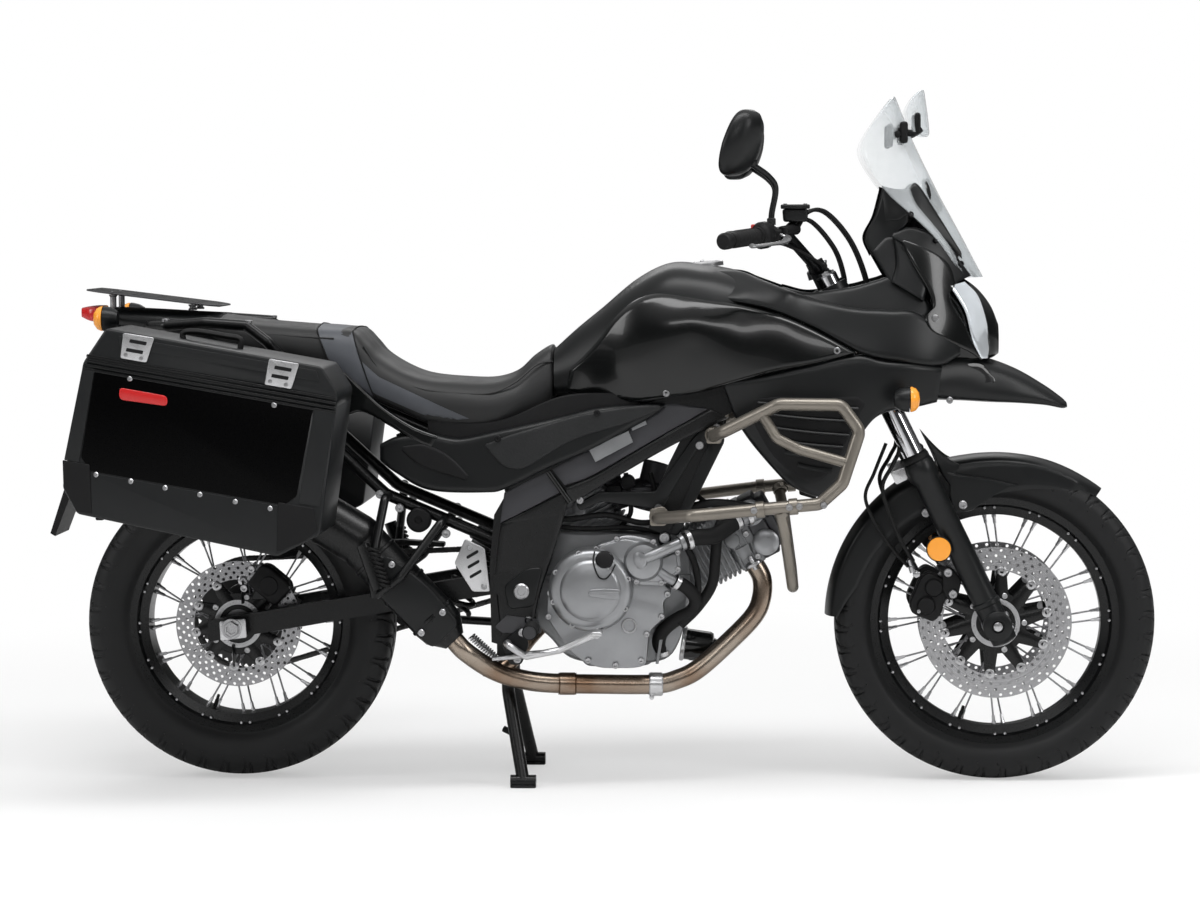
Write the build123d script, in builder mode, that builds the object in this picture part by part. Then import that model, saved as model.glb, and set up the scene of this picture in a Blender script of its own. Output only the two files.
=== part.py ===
"""Adventure motorcycle on its centre stand, with spoked wheels, crash bars, a rear rack and two panniers.

Units are millimetres. X runs forward, Y to the rider's left and Z up. The origin lies on the floor,
half way along the machine, in its middle plane. Right-hand pieces have negative Y, and pairs are mirrored.
"""

import os
from math import atan2, cos, degrees, hypot, radians, sin, sqrt

from build123d import *

os.makedirs("parts", exist_ok=True)

# --------------------------------------------------------------------------- driving dimensions

WHEELBASE = 1560.0
TAIL_REACH = 400.0  # rear axle to the end of the tail, to the nearest 10 mm
REAR_LIFT = 5.0  # rear tyre off the floor, on the centre stand

FRONT_TYRE_R = 329.3  # 110/80-19
FRONT_TYRE_HALF = 55.0
FRONT_SEAT_R = 241.3  # bead seat of a 19 inch rim
REAR_TYRE_R = 320.9  # 150/70-17
REAR_TYRE_HALF = 75.0
REAR_SEAT_R = 215.9  # bead seat of a 17 inch rim

RAKE = 26.0
FORK_OFFSET = 45.5  # fork legs ahead of the steering axis
FORK_HALF = 102.0
AXLE_R = 10.0
RUNNING = 0.05  # radial clearance of a shaft that turns
SEATED = 0.3  # gap of a piece that rests on its neighbour
SWING = 5.0  # gap beside a piece that moves
CLAMPED = 0.1  # radial gap of a clamp round its tube

SPAR_INNER = 130.0
SPAR_OUTER = 164.0
PANEL_WALL = 5.0

# --------------------------------------------------------------------------- places worked out from them

X_REAR = -(WHEELBASE + FRONT_TYRE_R - TAIL_REACH) / 2
X_FRONT = X_REAR + WHEELBASE
Z_REAR = REAR_TYRE_R + REAR_LIFT
Z_FRONT = FRONT_TYRE_R
HEAD_BACK = 345.35  # front axle to the rear of the steering head
X_HEAD = X_FRONT - HEAD_BACK

SIN_RAKE, COS_RAKE = sin(radians(RAKE)), cos(radians(RAKE))
# Fork frame: local x points forward across the fork, y to the left and z up along the legs; origin on the axle.
FORK = Plane(origin=(X_FRONT, 0, Z_FRONT), x_dir=(COS_RAKE, 0, SIN_RAKE), z_dir=(-SIN_RAKE, 0, COS_RAKE))


# --------------------------------------------------------------------------- shared forms


def from_head(points):
    """Points whose X is measured from the rear of the steering head."""
    return [(X_HEAD + x, *rest) for x, *rest in points]


def write(piece, name):
    """Labels a finished piece and writes it as one STEP file."""
    piece.part.label = name
    export_step(piece.part, f"parts/{name}.step")


def at_y(y):
    """A sketch plane square to Y: local x is +X and local y is +Z. Extruding goes towards -Y."""
    return Plane.XZ.offset(-y)


def side_prism(outline, y_low, y_high, corner=0.0):
    """A slab with an (x, z) outline, between two values of Y, its corners rounded if asked."""
    with BuildPart() as slab:
        with BuildSketch(at_y(y_high)) as face:
            with BuildLine():
                Polyline(*outline, close=True)
            make_face()
            if corner:
                fillet(face.vertices(), corner)
        extrude(amount=y_high - y_low)
    return slab.part


def tube(route, radius, bend=0.0):
    """A round bar or pipe along straight runs joined by tangent bends."""
    with BuildPart() as run:
        with BuildLine() as path:
            if bend:
                FilletPolyline(*route, radius=bend)
            else:
                Polyline(*route)
        with BuildSketch(Plane(origin=path.line @ 0, z_dir=path.line % 0)):
            Circle(radius)
        sweep(path=path.line)
    return run.part


def rod(start, end, radius, hole=0.0):
    """A straight round bar between two points, bored through if asked."""
    ends = Vector(*end) - Vector(*start)
    with BuildPart() as bar:
        with BuildSketch(Plane(origin=start, z_dir=ends)):
            Circle(radius)
            if hole:
                Circle(hole, mode=Mode.SUBTRACT)
        extrude(amount=ends.length)
    return bar.part


def cross_rod(x, z, y_low, y_high, radius, hole=0.0):
    """A round bar along Y."""
    return rod((x, y_low, z), (x, y_high, z), radius, hole)


def hull_of(stations, corner, centre_y=0.0):
    """A body lofted along X. A station is x, then (half width, z) at each level from the bottom up."""
    with BuildPart() as body:
        for x, *levels in stations:
            low_side = [(centre_y - half, z) for half, z in reversed(levels)]
            high_side = [(centre_y + half, z) for half, z in levels]
            with BuildSketch(Plane.YZ.offset(x)) as section:
                with BuildLine():
                    Polyline(*low_side, *high_side, close=True)
                make_face()
                rounding = min(corner, 0.3 * (levels[-1][1] - levels[0][1]), 0.5 * levels[-1][0])
                fillet(section.vertices(), rounding)
        loft(ruled=True)
    return body.part


def level_at(stations, x, level):
    """Height of one level of a hull at a place between its stations."""
    for (x0, *levels0), (x1, *levels1) in zip(stations, stations[1:]):
        if min(x0, x1) <= x <= max(x0, x1):
            share = (x - x0) / (x1 - x0)
            return levels0[level][1] + share * (levels1[level][1] - levels0[level][1])
    raise ValueError(x)


def skin(levels, stations, wall):
    """A right-hand shell. Columns of a station: x, then the half width at each level of z."""
    with BuildPart() as shell:
        for x, *halves in stations:
            outer = [(-half, z) for half, z in zip(halves, levels)]
            inner = [(-half + wall, z) for half, z in zip(halves, levels)]
            with BuildSketch(Plane.YZ.offset(x)):
                with BuildLine():
                    Polyline(*outer, *reversed(inner), close=True)
                make_face()
        loft(ruled=True)
    return shell.part


def both_sides(form):
    """A right-hand form and its mirror image on the left."""
    return [form, mirror(form, about=Plane.XZ)]


def flipped(route):
    """A right-hand route carried to the left."""
    return [(x, -y, z) for x, y, z in route]


# --------------------------------------------------------------------------- wheels

TYRE_WALL = 9.0
RIM_DROP = 20.0  # bead seat down to the floor of the rim well
RIM_WALL = 3.5
RIM_LIP = 14.0
SPOKE_R = 1.9
SPOKE_COUNT = 16  # on each side of a wheel
SPOKE_GAP = 0.7  # spoke end to the rim, in the middle of the slanted end
DISC_T = 5.0

# Columns: name, axle x, axle z, tyre radius, tyre half width, bead seat radius, rim half width,
# hub radius, hub half width, spoke flange radius
WHEELS = [
    ("front", X_FRONT, Z_FRONT, FRONT_TYRE_R, FRONT_TYRE_HALF, FRONT_SEAT_R, 32.0, 24.0, 60.0, 44.0),
    ("rear", X_REAR, Z_REAR, REAR_TYRE_R, REAR_TYRE_HALF, REAR_SEAT_R, 50.0, 28.0, 62.0, 52.0),
]


def wheel_plane(x, z):
    """Section plane through a wheel's axle: local x is the radius, upwards, and local y runs along +Y."""
    return Plane(origin=(x, 0, z), x_dir=(0, 0, 1), z_dir=(-1, 0, 0))


def ring_of(x, z, outline):
    """Turns a (radius, y) outline about a wheel's axle."""
    with BuildPart() as ring:
        with BuildSketch(wheel_plane(x, z)):
            with BuildLine():
                Polyline(*outline, close=True)
            make_face()
        revolve(axis=Axis((x, 0, z), (0, 1, 0)))
    return ring.part


def disc_of(x, z, y_low, outer_r, band, inner_r, bore_r, arms):
    """A brake disc with its carrier: a band at the rim, arms, and an inner ring on the hub."""
    with BuildPart() as disc:
        with BuildSketch(at_y(y_low + DISC_T)):
            with Locations((x, z)):
                Circle(outer_r)
                Circle(outer_r - band, mode=Mode.SUBTRACT)
                with PolarLocations(0, arms):
                    with Locations(((inner_r + outer_r - band) / 2, 0)):
                        Rectangle(outer_r - band - inner_r + 12, 16)
                Circle(inner_r)
                Circle(bore_r, mode=Mode.SUBTRACT)
        extrude(amount=DISC_T)
    return disc.part


for name, x, z, tyre_r, tyre_half, seat_r, rim_half, hub_r, hub_half, flange_r in WHEELS:
    bead = seat_r + SEATED
    shoulder = tyre_r - 0.28 * tyre_half
    belly = 0.55 * tyre_r + 0.45 * seat_r
    lip_top = seat_r + RIM_LIP + SEATED
    with BuildPart() as tyre:
        with BuildSketch(wheel_plane(x, z)):
            with BuildLine():
                Line((lip_top, rim_half - SEATED), (bead, rim_half - SEATED))
                Line((bead, rim_half - SEATED), (bead, rim_half - TYRE_WALL))
                Line((bead, rim_half - TYRE_WALL), (lip_top, rim_half - TYRE_WALL))
                ThreePointArc(
                    (lip_top, rim_half - TYRE_WALL), (tyre_r - 1.6 * TYRE_WALL, 0), (lip_top, -rim_half + TYRE_WALL)
                )
                Line((lip_top, -rim_half + TYRE_WALL), (bead, -rim_half + TYRE_WALL))
                Line((bead, -rim_half + TYRE_WALL), (bead, -rim_half + SEATED))
                Line((bead, -rim_half + SEATED), (lip_top, -rim_half + SEATED))
                ThreePointArc((lip_top, -rim_half + SEATED), (belly, -tyre_half), (shoulder, -0.88 * tyre_half))
                ThreePointArc((shoulder, -0.88 * tyre_half), (tyre_r, 0), (shoulder, 0.88 * tyre_half))
                ThreePointArc((shoulder, 0.88 * tyre_half), (belly, tyre_half), (lip_top, rim_half - SEATED))
            make_face()
        revolve(axis=Axis((x, 0, z), (0, 1, 0)))
    write(tyre, f"{name}_tyre")

    well = seat_r - RIM_DROP
    rim_section = [
        (seat_r + RIM_LIP, rim_half + RIM_WALL),
        (seat_r + RIM_LIP, rim_half),
        (seat_r, rim_half),
        (seat_r, 0.62 * rim_half),
        (well, 0.42 * rim_half),
        (well, -0.42 * rim_half),
        (seat_r, -0.62 * rim_half),
        (seat_r, -rim_half),
        (seat_r + RIM_LIP, -rim_half),
        (seat_r + RIM_LIP, -rim_half - RIM_WALL),
        (seat_r - RIM_WALL, -rim_half - RIM_WALL),
        (seat_r - RIM_WALL, -0.62 * rim_half),
        (well - RIM_WALL, -0.42 * rim_half),
        (well - RIM_WALL, 0.42 * rim_half),
        (seat_r - RIM_WALL, 0.62 * rim_half),
        (seat_r - RIM_WALL, rim_half + RIM_WALL),
    ]
    with BuildPart() as rim:
        add(ring_of(x, z, rim_section))
    write(rim, f"{name}_rim")

    # Hub with a bolting flange at each end and two spoke flanges between them, and the laced spokes.
    half_hub = [
        (AXLE_R + RUNNING, hub_half),
        (hub_r + 22, hub_half),
        (hub_r + 22, hub_half - 7),
        (hub_r, hub_half - 7),
        (hub_r, hub_half - 16),
        (flange_r, hub_half - 20),
        (flange_r, hub_half - 27),
        (hub_r, hub_half - 31),
    ]
    spoke_foot_y = hub_half - 23.5
    spoke_end = well - RIM_WALL - SPOKE_GAP
    spokes = []
    for side in (-1, 1):
        for k in range(SPOKE_COUNT):
            leads = 1 if k % 2 else -1  # laced forwards and backwards in turn
            foot = radians(360.0 / SPOKE_COUNT * (k - k % 2 + 0.5) + 4 * leads + (5 if side > 0 else 0))
            head = foot + radians(30.0 * leads)
            start = (x + (flange_r - 5) * cos(foot), side * spoke_foot_y, z + (flange_r - 5) * sin(foot))
            end = (x + spoke_end * cos(head), side * 0.16 * rim_half, z + spoke_end * sin(head))
            spokes.append(rod(start, end, SPOKE_R))
    with BuildPart() as hub:
        add(ring_of(x, z, half_hub + [(r, -y) for r, y in reversed(half_hub)]))
        add(spokes)
    write(hub, f"{name}_hub_and_spokes")

FRONT_HUB_HALF, REAR_HUB_HALF = WHEELS[0][8], WHEELS[1][8]
FRONT_DISC_R = 155.0
REAR_DISC_R = 130.0

with BuildPart() as front_discs:
    add(both_sides(disc_of(X_FRONT, Z_FRONT, -FRONT_HUB_HALF - DISC_T, FRONT_DISC_R, 34.0, 50.0, 30.0, 6)))
write(front_discs, "front_discs")

with BuildPart() as rear_disc:
    add(disc_of(X_REAR, Z_REAR, -REAR_HUB_HALF - DISC_T, REAR_DISC_R, 32.0, 54.0, 34.0, 6))
write(rear_disc, "rear_disc")

# --------------------------------------------------------------------------- final drive

CHAIN_Y = 104.0
CHAIN_WIDTH = 20.0
CHAIN_HALF = 7.2  # half the height of a side plate
REAR_PITCH_R = 118.9  # 47 teeth
FRONT_PITCH_R = 38.2  # 15 teeth
X_DRIVE, Z_DRIVE = -105.0, 434.0  # gearbox output shaft
SPROCKET_T = 6.0
CUSH_R = 70.0

with BuildPart() as sprocket:
    sprocket_r = REAR_PITCH_R - CHAIN_HALF - SWING
    sprocket_low = CHAIN_Y - SPROCKET_T / 2
    add(cross_rod(X_REAR, Z_REAR, sprocket_low, sprocket_low + SPROCKET_T, sprocket_r, AXLE_R + RUNNING))
    with BuildSketch(at_y(sprocket_low + SPROCKET_T)):
        with Locations((X_REAR, Z_REAR)):
            with PolarLocations(88.0, 6):
                Circle(11.0)
    extrude(amount=SPROCKET_T, mode=Mode.SUBTRACT)
    add(cross_rod(X_REAR, Z_REAR, REAR_HUB_HALF, sprocket_low, CUSH_R, AXLE_R + RUNNING))
write(sprocket, "rear_sprocket")

span_x, span_z = X_DRIVE - X_REAR, Z_DRIVE - Z_REAR
span = hypot(span_x, span_z)
tilt = atan2(span_z, span_x)
wrap = (REAR_PITCH_R - FRONT_PITCH_R) / span  # sine of the angle between a run and the line of centres


def chain_outline(grow):
    """The chain's loop as a sketch outline, grown or shrunk from its pitch line."""
    points = []
    for side in (1, -1):
        lean = tilt + side * (radians(90) - asin_of(wrap))
        for centre_x, centre_z, r in ((X_REAR, Z_REAR, REAR_PITCH_R), (X_DRIVE, Z_DRIVE, FRONT_PITCH_R)):
            points.append((centre_x + (r + grow) * cos(lean), centre_z + (r + grow) * sin(lean)))
    back = (X_REAR - (REAR_PITCH_R + grow) * cos(tilt), Z_REAR - (REAR_PITCH_R + grow) * sin(tilt))
    front = (X_DRIVE + (FRONT_PITCH_R + grow) * cos(tilt), Z_DRIVE + (FRONT_PITCH_R + grow) * sin(tilt))
    rear_top, drive_top, rear_low, drive_low = points
    Line(rear_top, drive_top)
    ThreePointArc(drive_top, front, drive_low)
    Line(drive_low, rear_low)
    ThreePointArc(rear_low, back, rear_top)


def asin_of(value):
    """Arc sine from the right triangle with this sine."""
    return atan2(value, sqrt(1 - value * value))


with BuildPart() as chain:
    with BuildSketch(at_y(CHAIN_Y + CHAIN_WIDTH / 2)):
        with BuildLine():
            chain_outline(CHAIN_HALF)
        make_face()
        with BuildLine(mode=Mode.PRIVATE) as inside:
            chain_outline(-CHAIN_HALF)
        make_face(inside.edges(), mode=Mode.SUBTRACT)
    extrude(amount=CHAIN_WIDTH)
write(chain, "drive_chain")

# --------------------------------------------------------------------------- bodywork levels that carry other pieces

# Seat, tank and tail: x, then (half width, z) from the bottom up.
SEAT = [
    (-796, (118, 925), (122, 945), (100, 966)),
    (-690, (138, 880), (146, 915), (126, 950)),
    (-560, (146, 866), (154, 900), (136, 937)),
    (-492, (148, 812), (156, 880), (136, 935)),
    (-440, (148, 786), (158, 840), (138, 884)),
    (-346, (150, 745), (160, 800), (138, 840)),
    (-212, (144, 732), (152, 790), (110, 833)),
    (-131, (118, 752), (118, 830), (80, 876)),
    (-88, (96, 790), (96, 850), (60, 893)),
]
TANK = [
    (-84, (90, 800), (98, 850), (50, 893)),
    (3, (122, 790), (146, 880), (72, 968)),
    (84, (150, 785), (184, 900), (86, 1034)),
    (140, (168, 800.3), (200, 905), (90, 1062)),
    (293, (180, 885), (206, 935), (92, 1049)),
    (372, (118, 932), (150, 970), (80, 1016)),
]
TAIL = [
    (-800, (104, 905), (96, 962)),
    (-900, (92, 930), (84, 968)),
    (-1030, (66, 948), (58, 980)),
]


# --------------------------------------------------------------------------- swingarm and rear brake

X_PIVOT, Z_PIVOT = -185.0, 420.0  # swingarm pivot
ARM_INNER, ARM_OUTER = 97.0, 124.0
CHAIN_SIDE_INNER, CHAIN_SIDE_OUTER = 118.0, 141.0  # the left arm's rear part runs outside the chain
ARM_HALF = 22.0
ARM_REAR = X_REAR - 55.0
ARM_FRONT = X_PIVOT + 24.0
X_BRIDGE = -378.0
arm_slope = (Z_PIVOT - Z_REAR) / (X_PIVOT - X_REAR)


def arm_z(x):
    """Height of the swingarm's centre line."""
    return Z_REAR + (x - X_REAR) * arm_slope


def arm_side(rear_x, front_x, y_low, y_high):
    """A length of swingarm beam."""
    outline = [
        (rear_x, arm_z(rear_x) - ARM_HALF),
        (front_x, arm_z(front_x) - ARM_HALF),
        (front_x, arm_z(front_x) + ARM_HALF),
        (rear_x, arm_z(rear_x) + ARM_HALF),
    ]
    return side_prism(outline, y_low, y_high, 9)


REAR_DISC_LOW = -REAR_HUB_HALF - DISC_T
with BuildPart() as swingarm:
    add(arm_side(ARM_REAR, ARM_FRONT, -ARM_OUTER, -ARM_INNER))
    add(arm_side(-600, ARM_FRONT, ARM_INNER, ARM_OUTER))
    add(arm_side(ARM_REAR, -560, CHAIN_SIDE_INNER, CHAIN_SIDE_OUTER))
    pivot_half = SPAR_INNER - SEATED
    add(cross_rod(X_PIVOT, Z_PIVOT, -pivot_half, pivot_half, 20))
    add(cross_rod(X_BRIDGE, arm_z(X_BRIDGE), -ARM_INNER - 5, ARM_INNER + 5, ARM_HALF))
    add(cross_rod(X_REAR, Z_REAR, -ARM_OUTER - 10, CHAIN_SIDE_OUTER + 10, AXLE_R))
    # Spacers between the wheel's hub and the two arms.
    add(cross_rod(X_REAR, Z_REAR, -ARM_INNER - 1, REAR_DISC_LOW - 0.5, 17))
    add(cross_rod(X_REAR, Z_REAR, CHAIN_Y + SPROCKET_T / 2 + 0.5, CHAIN_SIDE_INNER + 1, 17))
write(swingarm, "swingarm")


def caliper_of(centre, axle, disc_low, disc_r, pad_half, low, high):
    """A brake caliper bridging a disc. Low and high are how far it reaches past the disc's middle along Y."""
    away = Vector(centre[0] - axle[0], 0, centre[1] - axle[1])
    frame = Plane(origin=(centre[0], disc_low + DISC_T / 2, centre[1]), x_dir=away, z_dir=(0, 1, 0))
    reach = disc_r - away.length
    with BuildPart() as body:
        with BuildSketch(frame.offset(-low)):
            RectangleRounded(64, 2 * pad_half, 14)
        extrude(amount=low + high)
        with BuildSketch(frame.offset(-DISC_T / 2 - SWING)):
            with Locations(((reach + SWING) / 2 - 50, 0)):
                Rectangle(reach + SWING + 100, 4 * pad_half)
        extrude(amount=DISC_T + 2 * SWING, mode=Mode.SUBTRACT)
    return body.part


REAR_CALIPER = (X_REAR + 68.65, Z_REAR + 82.1)
with BuildPart() as rear_caliper:
    add(caliper_of(REAR_CALIPER, (X_REAR, Z_REAR), REAR_DISC_LOW, REAR_DISC_R, 40, 38, 20))
    foot = [(x, arm_z(x) + ARM_HALF + SEATED) for x in (X_REAR + 104.65, X_REAR + 32.65)]
    add(side_prism(foot + [(X_REAR + 40.65, Z_REAR + 78.1), (X_REAR + 88.65, Z_REAR + 102.1)], -ARM_INNER - 8, -ARM_INNER + 4))
write(rear_caliper, "rear_caliper")

# --------------------------------------------------------------------------- frame

HEAD_R = 34.0
HEAD_LOW, HEAD_HIGH = 592.0, 738.0  # along the fork frame's z
STEM_X = -FORK_OFFSET
STEM_R = 17.0
STAND_X, STAND_Z = -185.0, 275.0  # centre stand pivot
STAND_BOLT_R = 9.0
LUG_IN, LUG_OUT = 102.0, 114.0
SIDE_STAND_AXIS = Vector(0.094, 0.89, 0.44).normalized()
SIDE_STAND = Vector(-172, 176, 292)
SIDE_BOLT_R = 6.0
HANGER_OUT = 144.0
LAMP_BACK = 220.0  # rear of the steering head to the back of the headlamp

spar_outline = [
    (330, 905),
    (140, 800),
    (-60, 700),
    (-150, 655),
    (-205, 560),
    (-215, 455),
    (-212, 300),
    (-160, 284),
    (-132, 330),
    (-128, 420),
    (-108, 544),
    (-60, 585),
    (71, 668),
    (267, 762),
    (330, 800),
]
hanger_outline = [(262, 775), (258, 702), (175, 560), (150, 515), (108, 530), (120, 600), (190, 740)]

with BuildPart() as main_frame:
    add(both_sides(side_prism(spar_outline, -SPAR_OUTER, -SPAR_INNER)))
    add(both_sides(side_prism(hanger_outline, -HANGER_OUT, -SPAR_INNER + 4)))
    # Each spar closes in on the steering head.
    with BuildPart(mode=Mode.PRIVATE) as cheek:
        for x, y_mid, width, z_low, z_high in ((329, -SPAR_INNER - 17, 34, 800, 905), (X_HEAD, -19, 32, 850, 962)):
            with BuildSketch(Plane.YZ.offset(x)):
                with Locations((y_mid, (z_low + z_high) / 2)):
                    Rectangle(width, z_high - z_low)
        loft(ruled=True)
    add(both_sides(cheek.part))
    with BuildSketch(FORK.offset(HEAD_LOW)):
        with Locations((STEM_X, 0)):
            Circle(HEAD_R)
    extrude(amount=HEAD_HIGH - HEAD_LOW)
    add(cross_rod(-170, 610, -SPAR_INNER - 2, SPAR_INNER + 2, 16))
    add(cross_rod(STAND_X, 332, -SPAR_INNER - 2, SPAR_INNER + 2, 14))
    add(cross_rod(100, 720, -SPAR_INNER - 2, SPAR_INNER + 2, 14))
    # Stay that carries the headlamp.
    stay = [(X_HEAD + 35, 0, 918), (X_HEAD + LAMP_BACK - 30, 0, 960), (X_HEAD + LAMP_BACK - SEATED, 0, 960)]
    add(tube(stay, 10, 12))
    # The bore for the steering stem, with room above and below the head.
    with BuildSketch(FORK.offset(HEAD_LOW - 120)):
        with Locations((STEM_X, 0)):
            Circle(STEM_R + RUNNING)
    extrude(amount=HEAD_HIGH - HEAD_LOW + 240, mode=Mode.SUBTRACT)
    # Swingarm spindle caps, and bosses that reach in to the engine's case.
    add(both_sides(cross_rod(X_PIVOT, Z_PIVOT, -SPAR_OUTER - 6, -SPAR_INNER - 1, 26)))
    for x, z in ((-136, 345), (140, 505)):
        add(both_sides(cross_rod(x, z, -SPAR_INNER - 2, -88.0 - SEATED, 13)))
    # Lugs and bolt of the centre stand.
    lug = [(-205, 332), (-165, 332), (-165, 268), (-185, 256), (-205, 268)]
    add(both_sides(side_prism(lug, -LUG_OUT, -LUG_IN)))
    add(cross_rod(STAND_X, STAND_Z, -LUG_OUT, LUG_OUT, STAND_BOLT_R))
    # Boss and bolt of the side stand.
    boss_root = SIDE_STAND - SIDE_STAND_AXIS * 26
    add(rod(tuple(boss_root), tuple(SIDE_STAND), 13))
    add(rod(tuple(SIDE_STAND - SIDE_STAND_AXIS), tuple(SIDE_STAND + SIDE_STAND_AXIS * 24), SIDE_BOLT_R))
write(main_frame, "main_frame")

RAIL_R = 12.0
RAIL_Y = -(SPAR_INNER - SEATED - RAIL_R)
under_seat = RAIL_R / 0.9 + SEATED
rail_upper = [
    (-110, RAIL_Y, 655),
    (-200, RAIL_Y, 676),
    (-346, RAIL_Y, level_at(SEAT, -346, 0) - under_seat),
    (-492, RAIL_Y, 794.0),
    (-690, RAIL_Y, level_at(SEAT, -690, 0) - under_seat),
    (-790, -105, 889),
    (-900, -70, level_at(TAIL, -900, 0) - under_seat),
]
rail_lower = [(-172, RAIL_Y, 490), (-430, RAIL_Y, 599), (-560, RAIL_Y, 720), (-672, RAIL_Y, 858)]
with BuildPart() as subframe:
    for turned in (list, flipped):
        add(tube(turned(rail_upper), RAIL_R, 40))
        add(tube(turned(rail_lower), RAIL_R, 40))
    for x, z in ((-492, 794.0), (-690, 866.4)):
        add(cross_rod(x, z, RAIL_Y, -RAIL_Y, 10))
write(subframe, "subframe")

# --------------------------------------------------------------------------- engine

CRANK_X, CRANK_Z = 60.0, 385.0
CASE_HALF = 88.0
COVER_OUT = 172.0
CYLINDER_TILT = 27.8
CYLINDER_HALF = 72.0
CYLINDER_THICK = 124.0
HEAD_REACH = 385.0
HEAD_THICK = CYLINDER_THICK + 14.0

case_outline = [
    (-150, 470),
    (-150, 335),
    (-90, 300),
    (-60, 232),
    (150, 232),
    (176, 262),
    (196, 400),
    (190, 500),
    (150, 520),
    (-100, 520),
]
with BuildPart() as engine:
    add(side_prism(case_outline, -CASE_HALF, CASE_HALF, 12))
    add(cross_rod(-9, 402, -COVER_OUT - 22, -CASE_HALF + 4, 86))
    add(cross_rod(95, 372, -COVER_OUT + 14, -CASE_HALF + 4, 74))
    add(cross_rod(62, 380, CASE_HALF - 4, COVER_OUT - 6, 92))
    # Output shaft and drive sprocket, inside the chain's front bend.
    add(cross_rod(X_DRIVE, Z_DRIVE, CASE_HALF - 4, CHAIN_Y + 8, 14))
    drive_r = FRONT_PITCH_R - CHAIN_HALF - SEATED
    add(cross_rod(X_DRIVE, Z_DRIVE, CHAIN_Y - SPROCKET_T / 2, CHAIN_Y + SPROCKET_T / 2, drive_r))
    for turn in (CYLINDER_TILT, CYLINDER_TILT + 90):
        ahead = Vector(cos(radians(turn)), 0, sin(radians(turn)))
        seat_plane = Plane(origin=(CRANK_X, 0, CRANK_Z), x_dir=(0, 1, 0), z_dir=ahead)
        reach = HEAD_REACH - (40 if turn > 90 else 0)
        with BuildSketch(seat_plane.offset(60)):
            RectangleRounded(2 * CYLINDER_HALF, CYLINDER_THICK, 20)
        extrude(amount=reach - 150)
        with BuildSketch(seat_plane.offset(reach - 150)):
            RectangleRounded(2 * CYLINDER_HALF + 26, HEAD_THICK, 16)
        extrude(amount=110)
        # Cooling ribs above the crankcase.
        for rib in range(4):
            with BuildSketch(seat_plane.offset(132 + 20 * rib)):
                RectangleRounded(2 * CYLINDER_HALF + 16, HEAD_THICK, 16)
            extrude(amount=6)
write(engine, "engine")

HANGER_IN = 151.0
with BuildPart() as oil_filter:
    add(rod((178.6, -20, 279), (240, -20, 270.2), 32))
write(oil_filter, "oil_filter")

# --------------------------------------------------------------------------- exhaust

PIPE_R = 20.0
MUFFLER_ENTRY = (-285.0, -181.0, 305.0)
MUFFLER_KNEE = (-480.0, -172.0, 510.0)
MUFFLER_TIP = (-820.0, -166.0, 716.0)
FRONT_MUFFLER_R, REAR_MUFFLER_R = 50.0, 52.0
entry_run = (Vector(*MUFFLER_KNEE) - Vector(*MUFFLER_ENTRY)).normalized()
pipe_bend = Vector(*MUFFLER_ENTRY) - entry_run * 34

head_down = Vector(sin(radians(CYLINDER_TILT)), 0, -cos(radians(CYLINDER_TILT)))
port = Vector(CRANK_X, -58, CRANK_Z) + Vector(cos(radians(CYLINDER_TILT)), 0, sin(radians(CYLINDER_TILT))) * 276
port_face = port + head_down * (HEAD_THICK / 2 + SEATED)
front_route = [
    tuple(port_face),
    tuple(port_face + head_down * 40),
    (322, -64, 345),
    (206, -88, 228),
    (130, -112, 208),
    (-100, -134, 212),
    (-212, -152, 236),
    tuple(pipe_bend),
    MUFFLER_ENTRY,
]
with BuildPart() as exhaust_pipe:
    add(tube(front_route, PIPE_R, 26))
write(exhaust_pipe, "exhaust_pipe")

with BuildPart() as muffler:
    entry_plane = Plane(origin=MUFFLER_ENTRY, x_dir=(0, 1, 0), z_dir=entry_run)
    for along, radius in ((SEATED, 24), (34, FRONT_MUFFLER_R - 3), (60, FRONT_MUFFLER_R)):
        with BuildSketch(entry_plane.offset(along)):
            Circle(radius)
    loft(ruled=True)
    add(rod(tuple(Vector(*MUFFLER_ENTRY) + entry_run * 59), MUFFLER_KNEE, FRONT_MUFFLER_R))
    with Locations(MUFFLER_KNEE):
        Sphere(REAR_MUFFLER_R - 0.5)
    add(rod(MUFFLER_KNEE, MUFFLER_TIP, REAR_MUFFLER_R))
    tail_run = (Vector(*MUFFLER_TIP) - Vector(*MUFFLER_KNEE)).normalized()
    with BuildSketch(Plane(origin=tuple(Vector(*MUFFLER_TIP) - tail_run * 40), z_dir=tail_run)):
        Circle(18)
    extrude(amount=60, mode=Mode.SUBTRACT)
write(muffler, "muffler")

# --------------------------------------------------------------------------- tank, seat and bodywork

for stations, corner, name in ((TANK, 24, "fuel_tank"), (SEAT, 20, "seat"), (TAIL, 12, "tail_cover")):
    with BuildPart() as shell:
        add(hull_of(stations, corner))
    write(shell, name)

panel_levels = (794, 850, 905, 960, 1006)
tank_panel_outline = [(135, 1003), (314, 974), (415.5, 945.9), (521.5, 889.9), (476, 878), (359, 850), (263, 822), (150, 796), (128, 880)]
with BuildPart() as tank_panel:
    add(
        skin(
            panel_levels,
            [
                (120, 176, 194, 207, 194, 168),
                (260, 190, 208, 214, 206, 182),
                (420, 198, 210, 214, 206, 190),
                (530, 190, 200, 204, 196, 180),
            ],
            PANEL_WALL,
        )
    )
    add(side_prism(tank_panel_outline, -240, 0), mode=Mode.INTERSECT)
with BuildPart() as tank_panels:
    add(both_sides(tank_panel.part))
write(tank_panels, "tank_panels")

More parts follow.
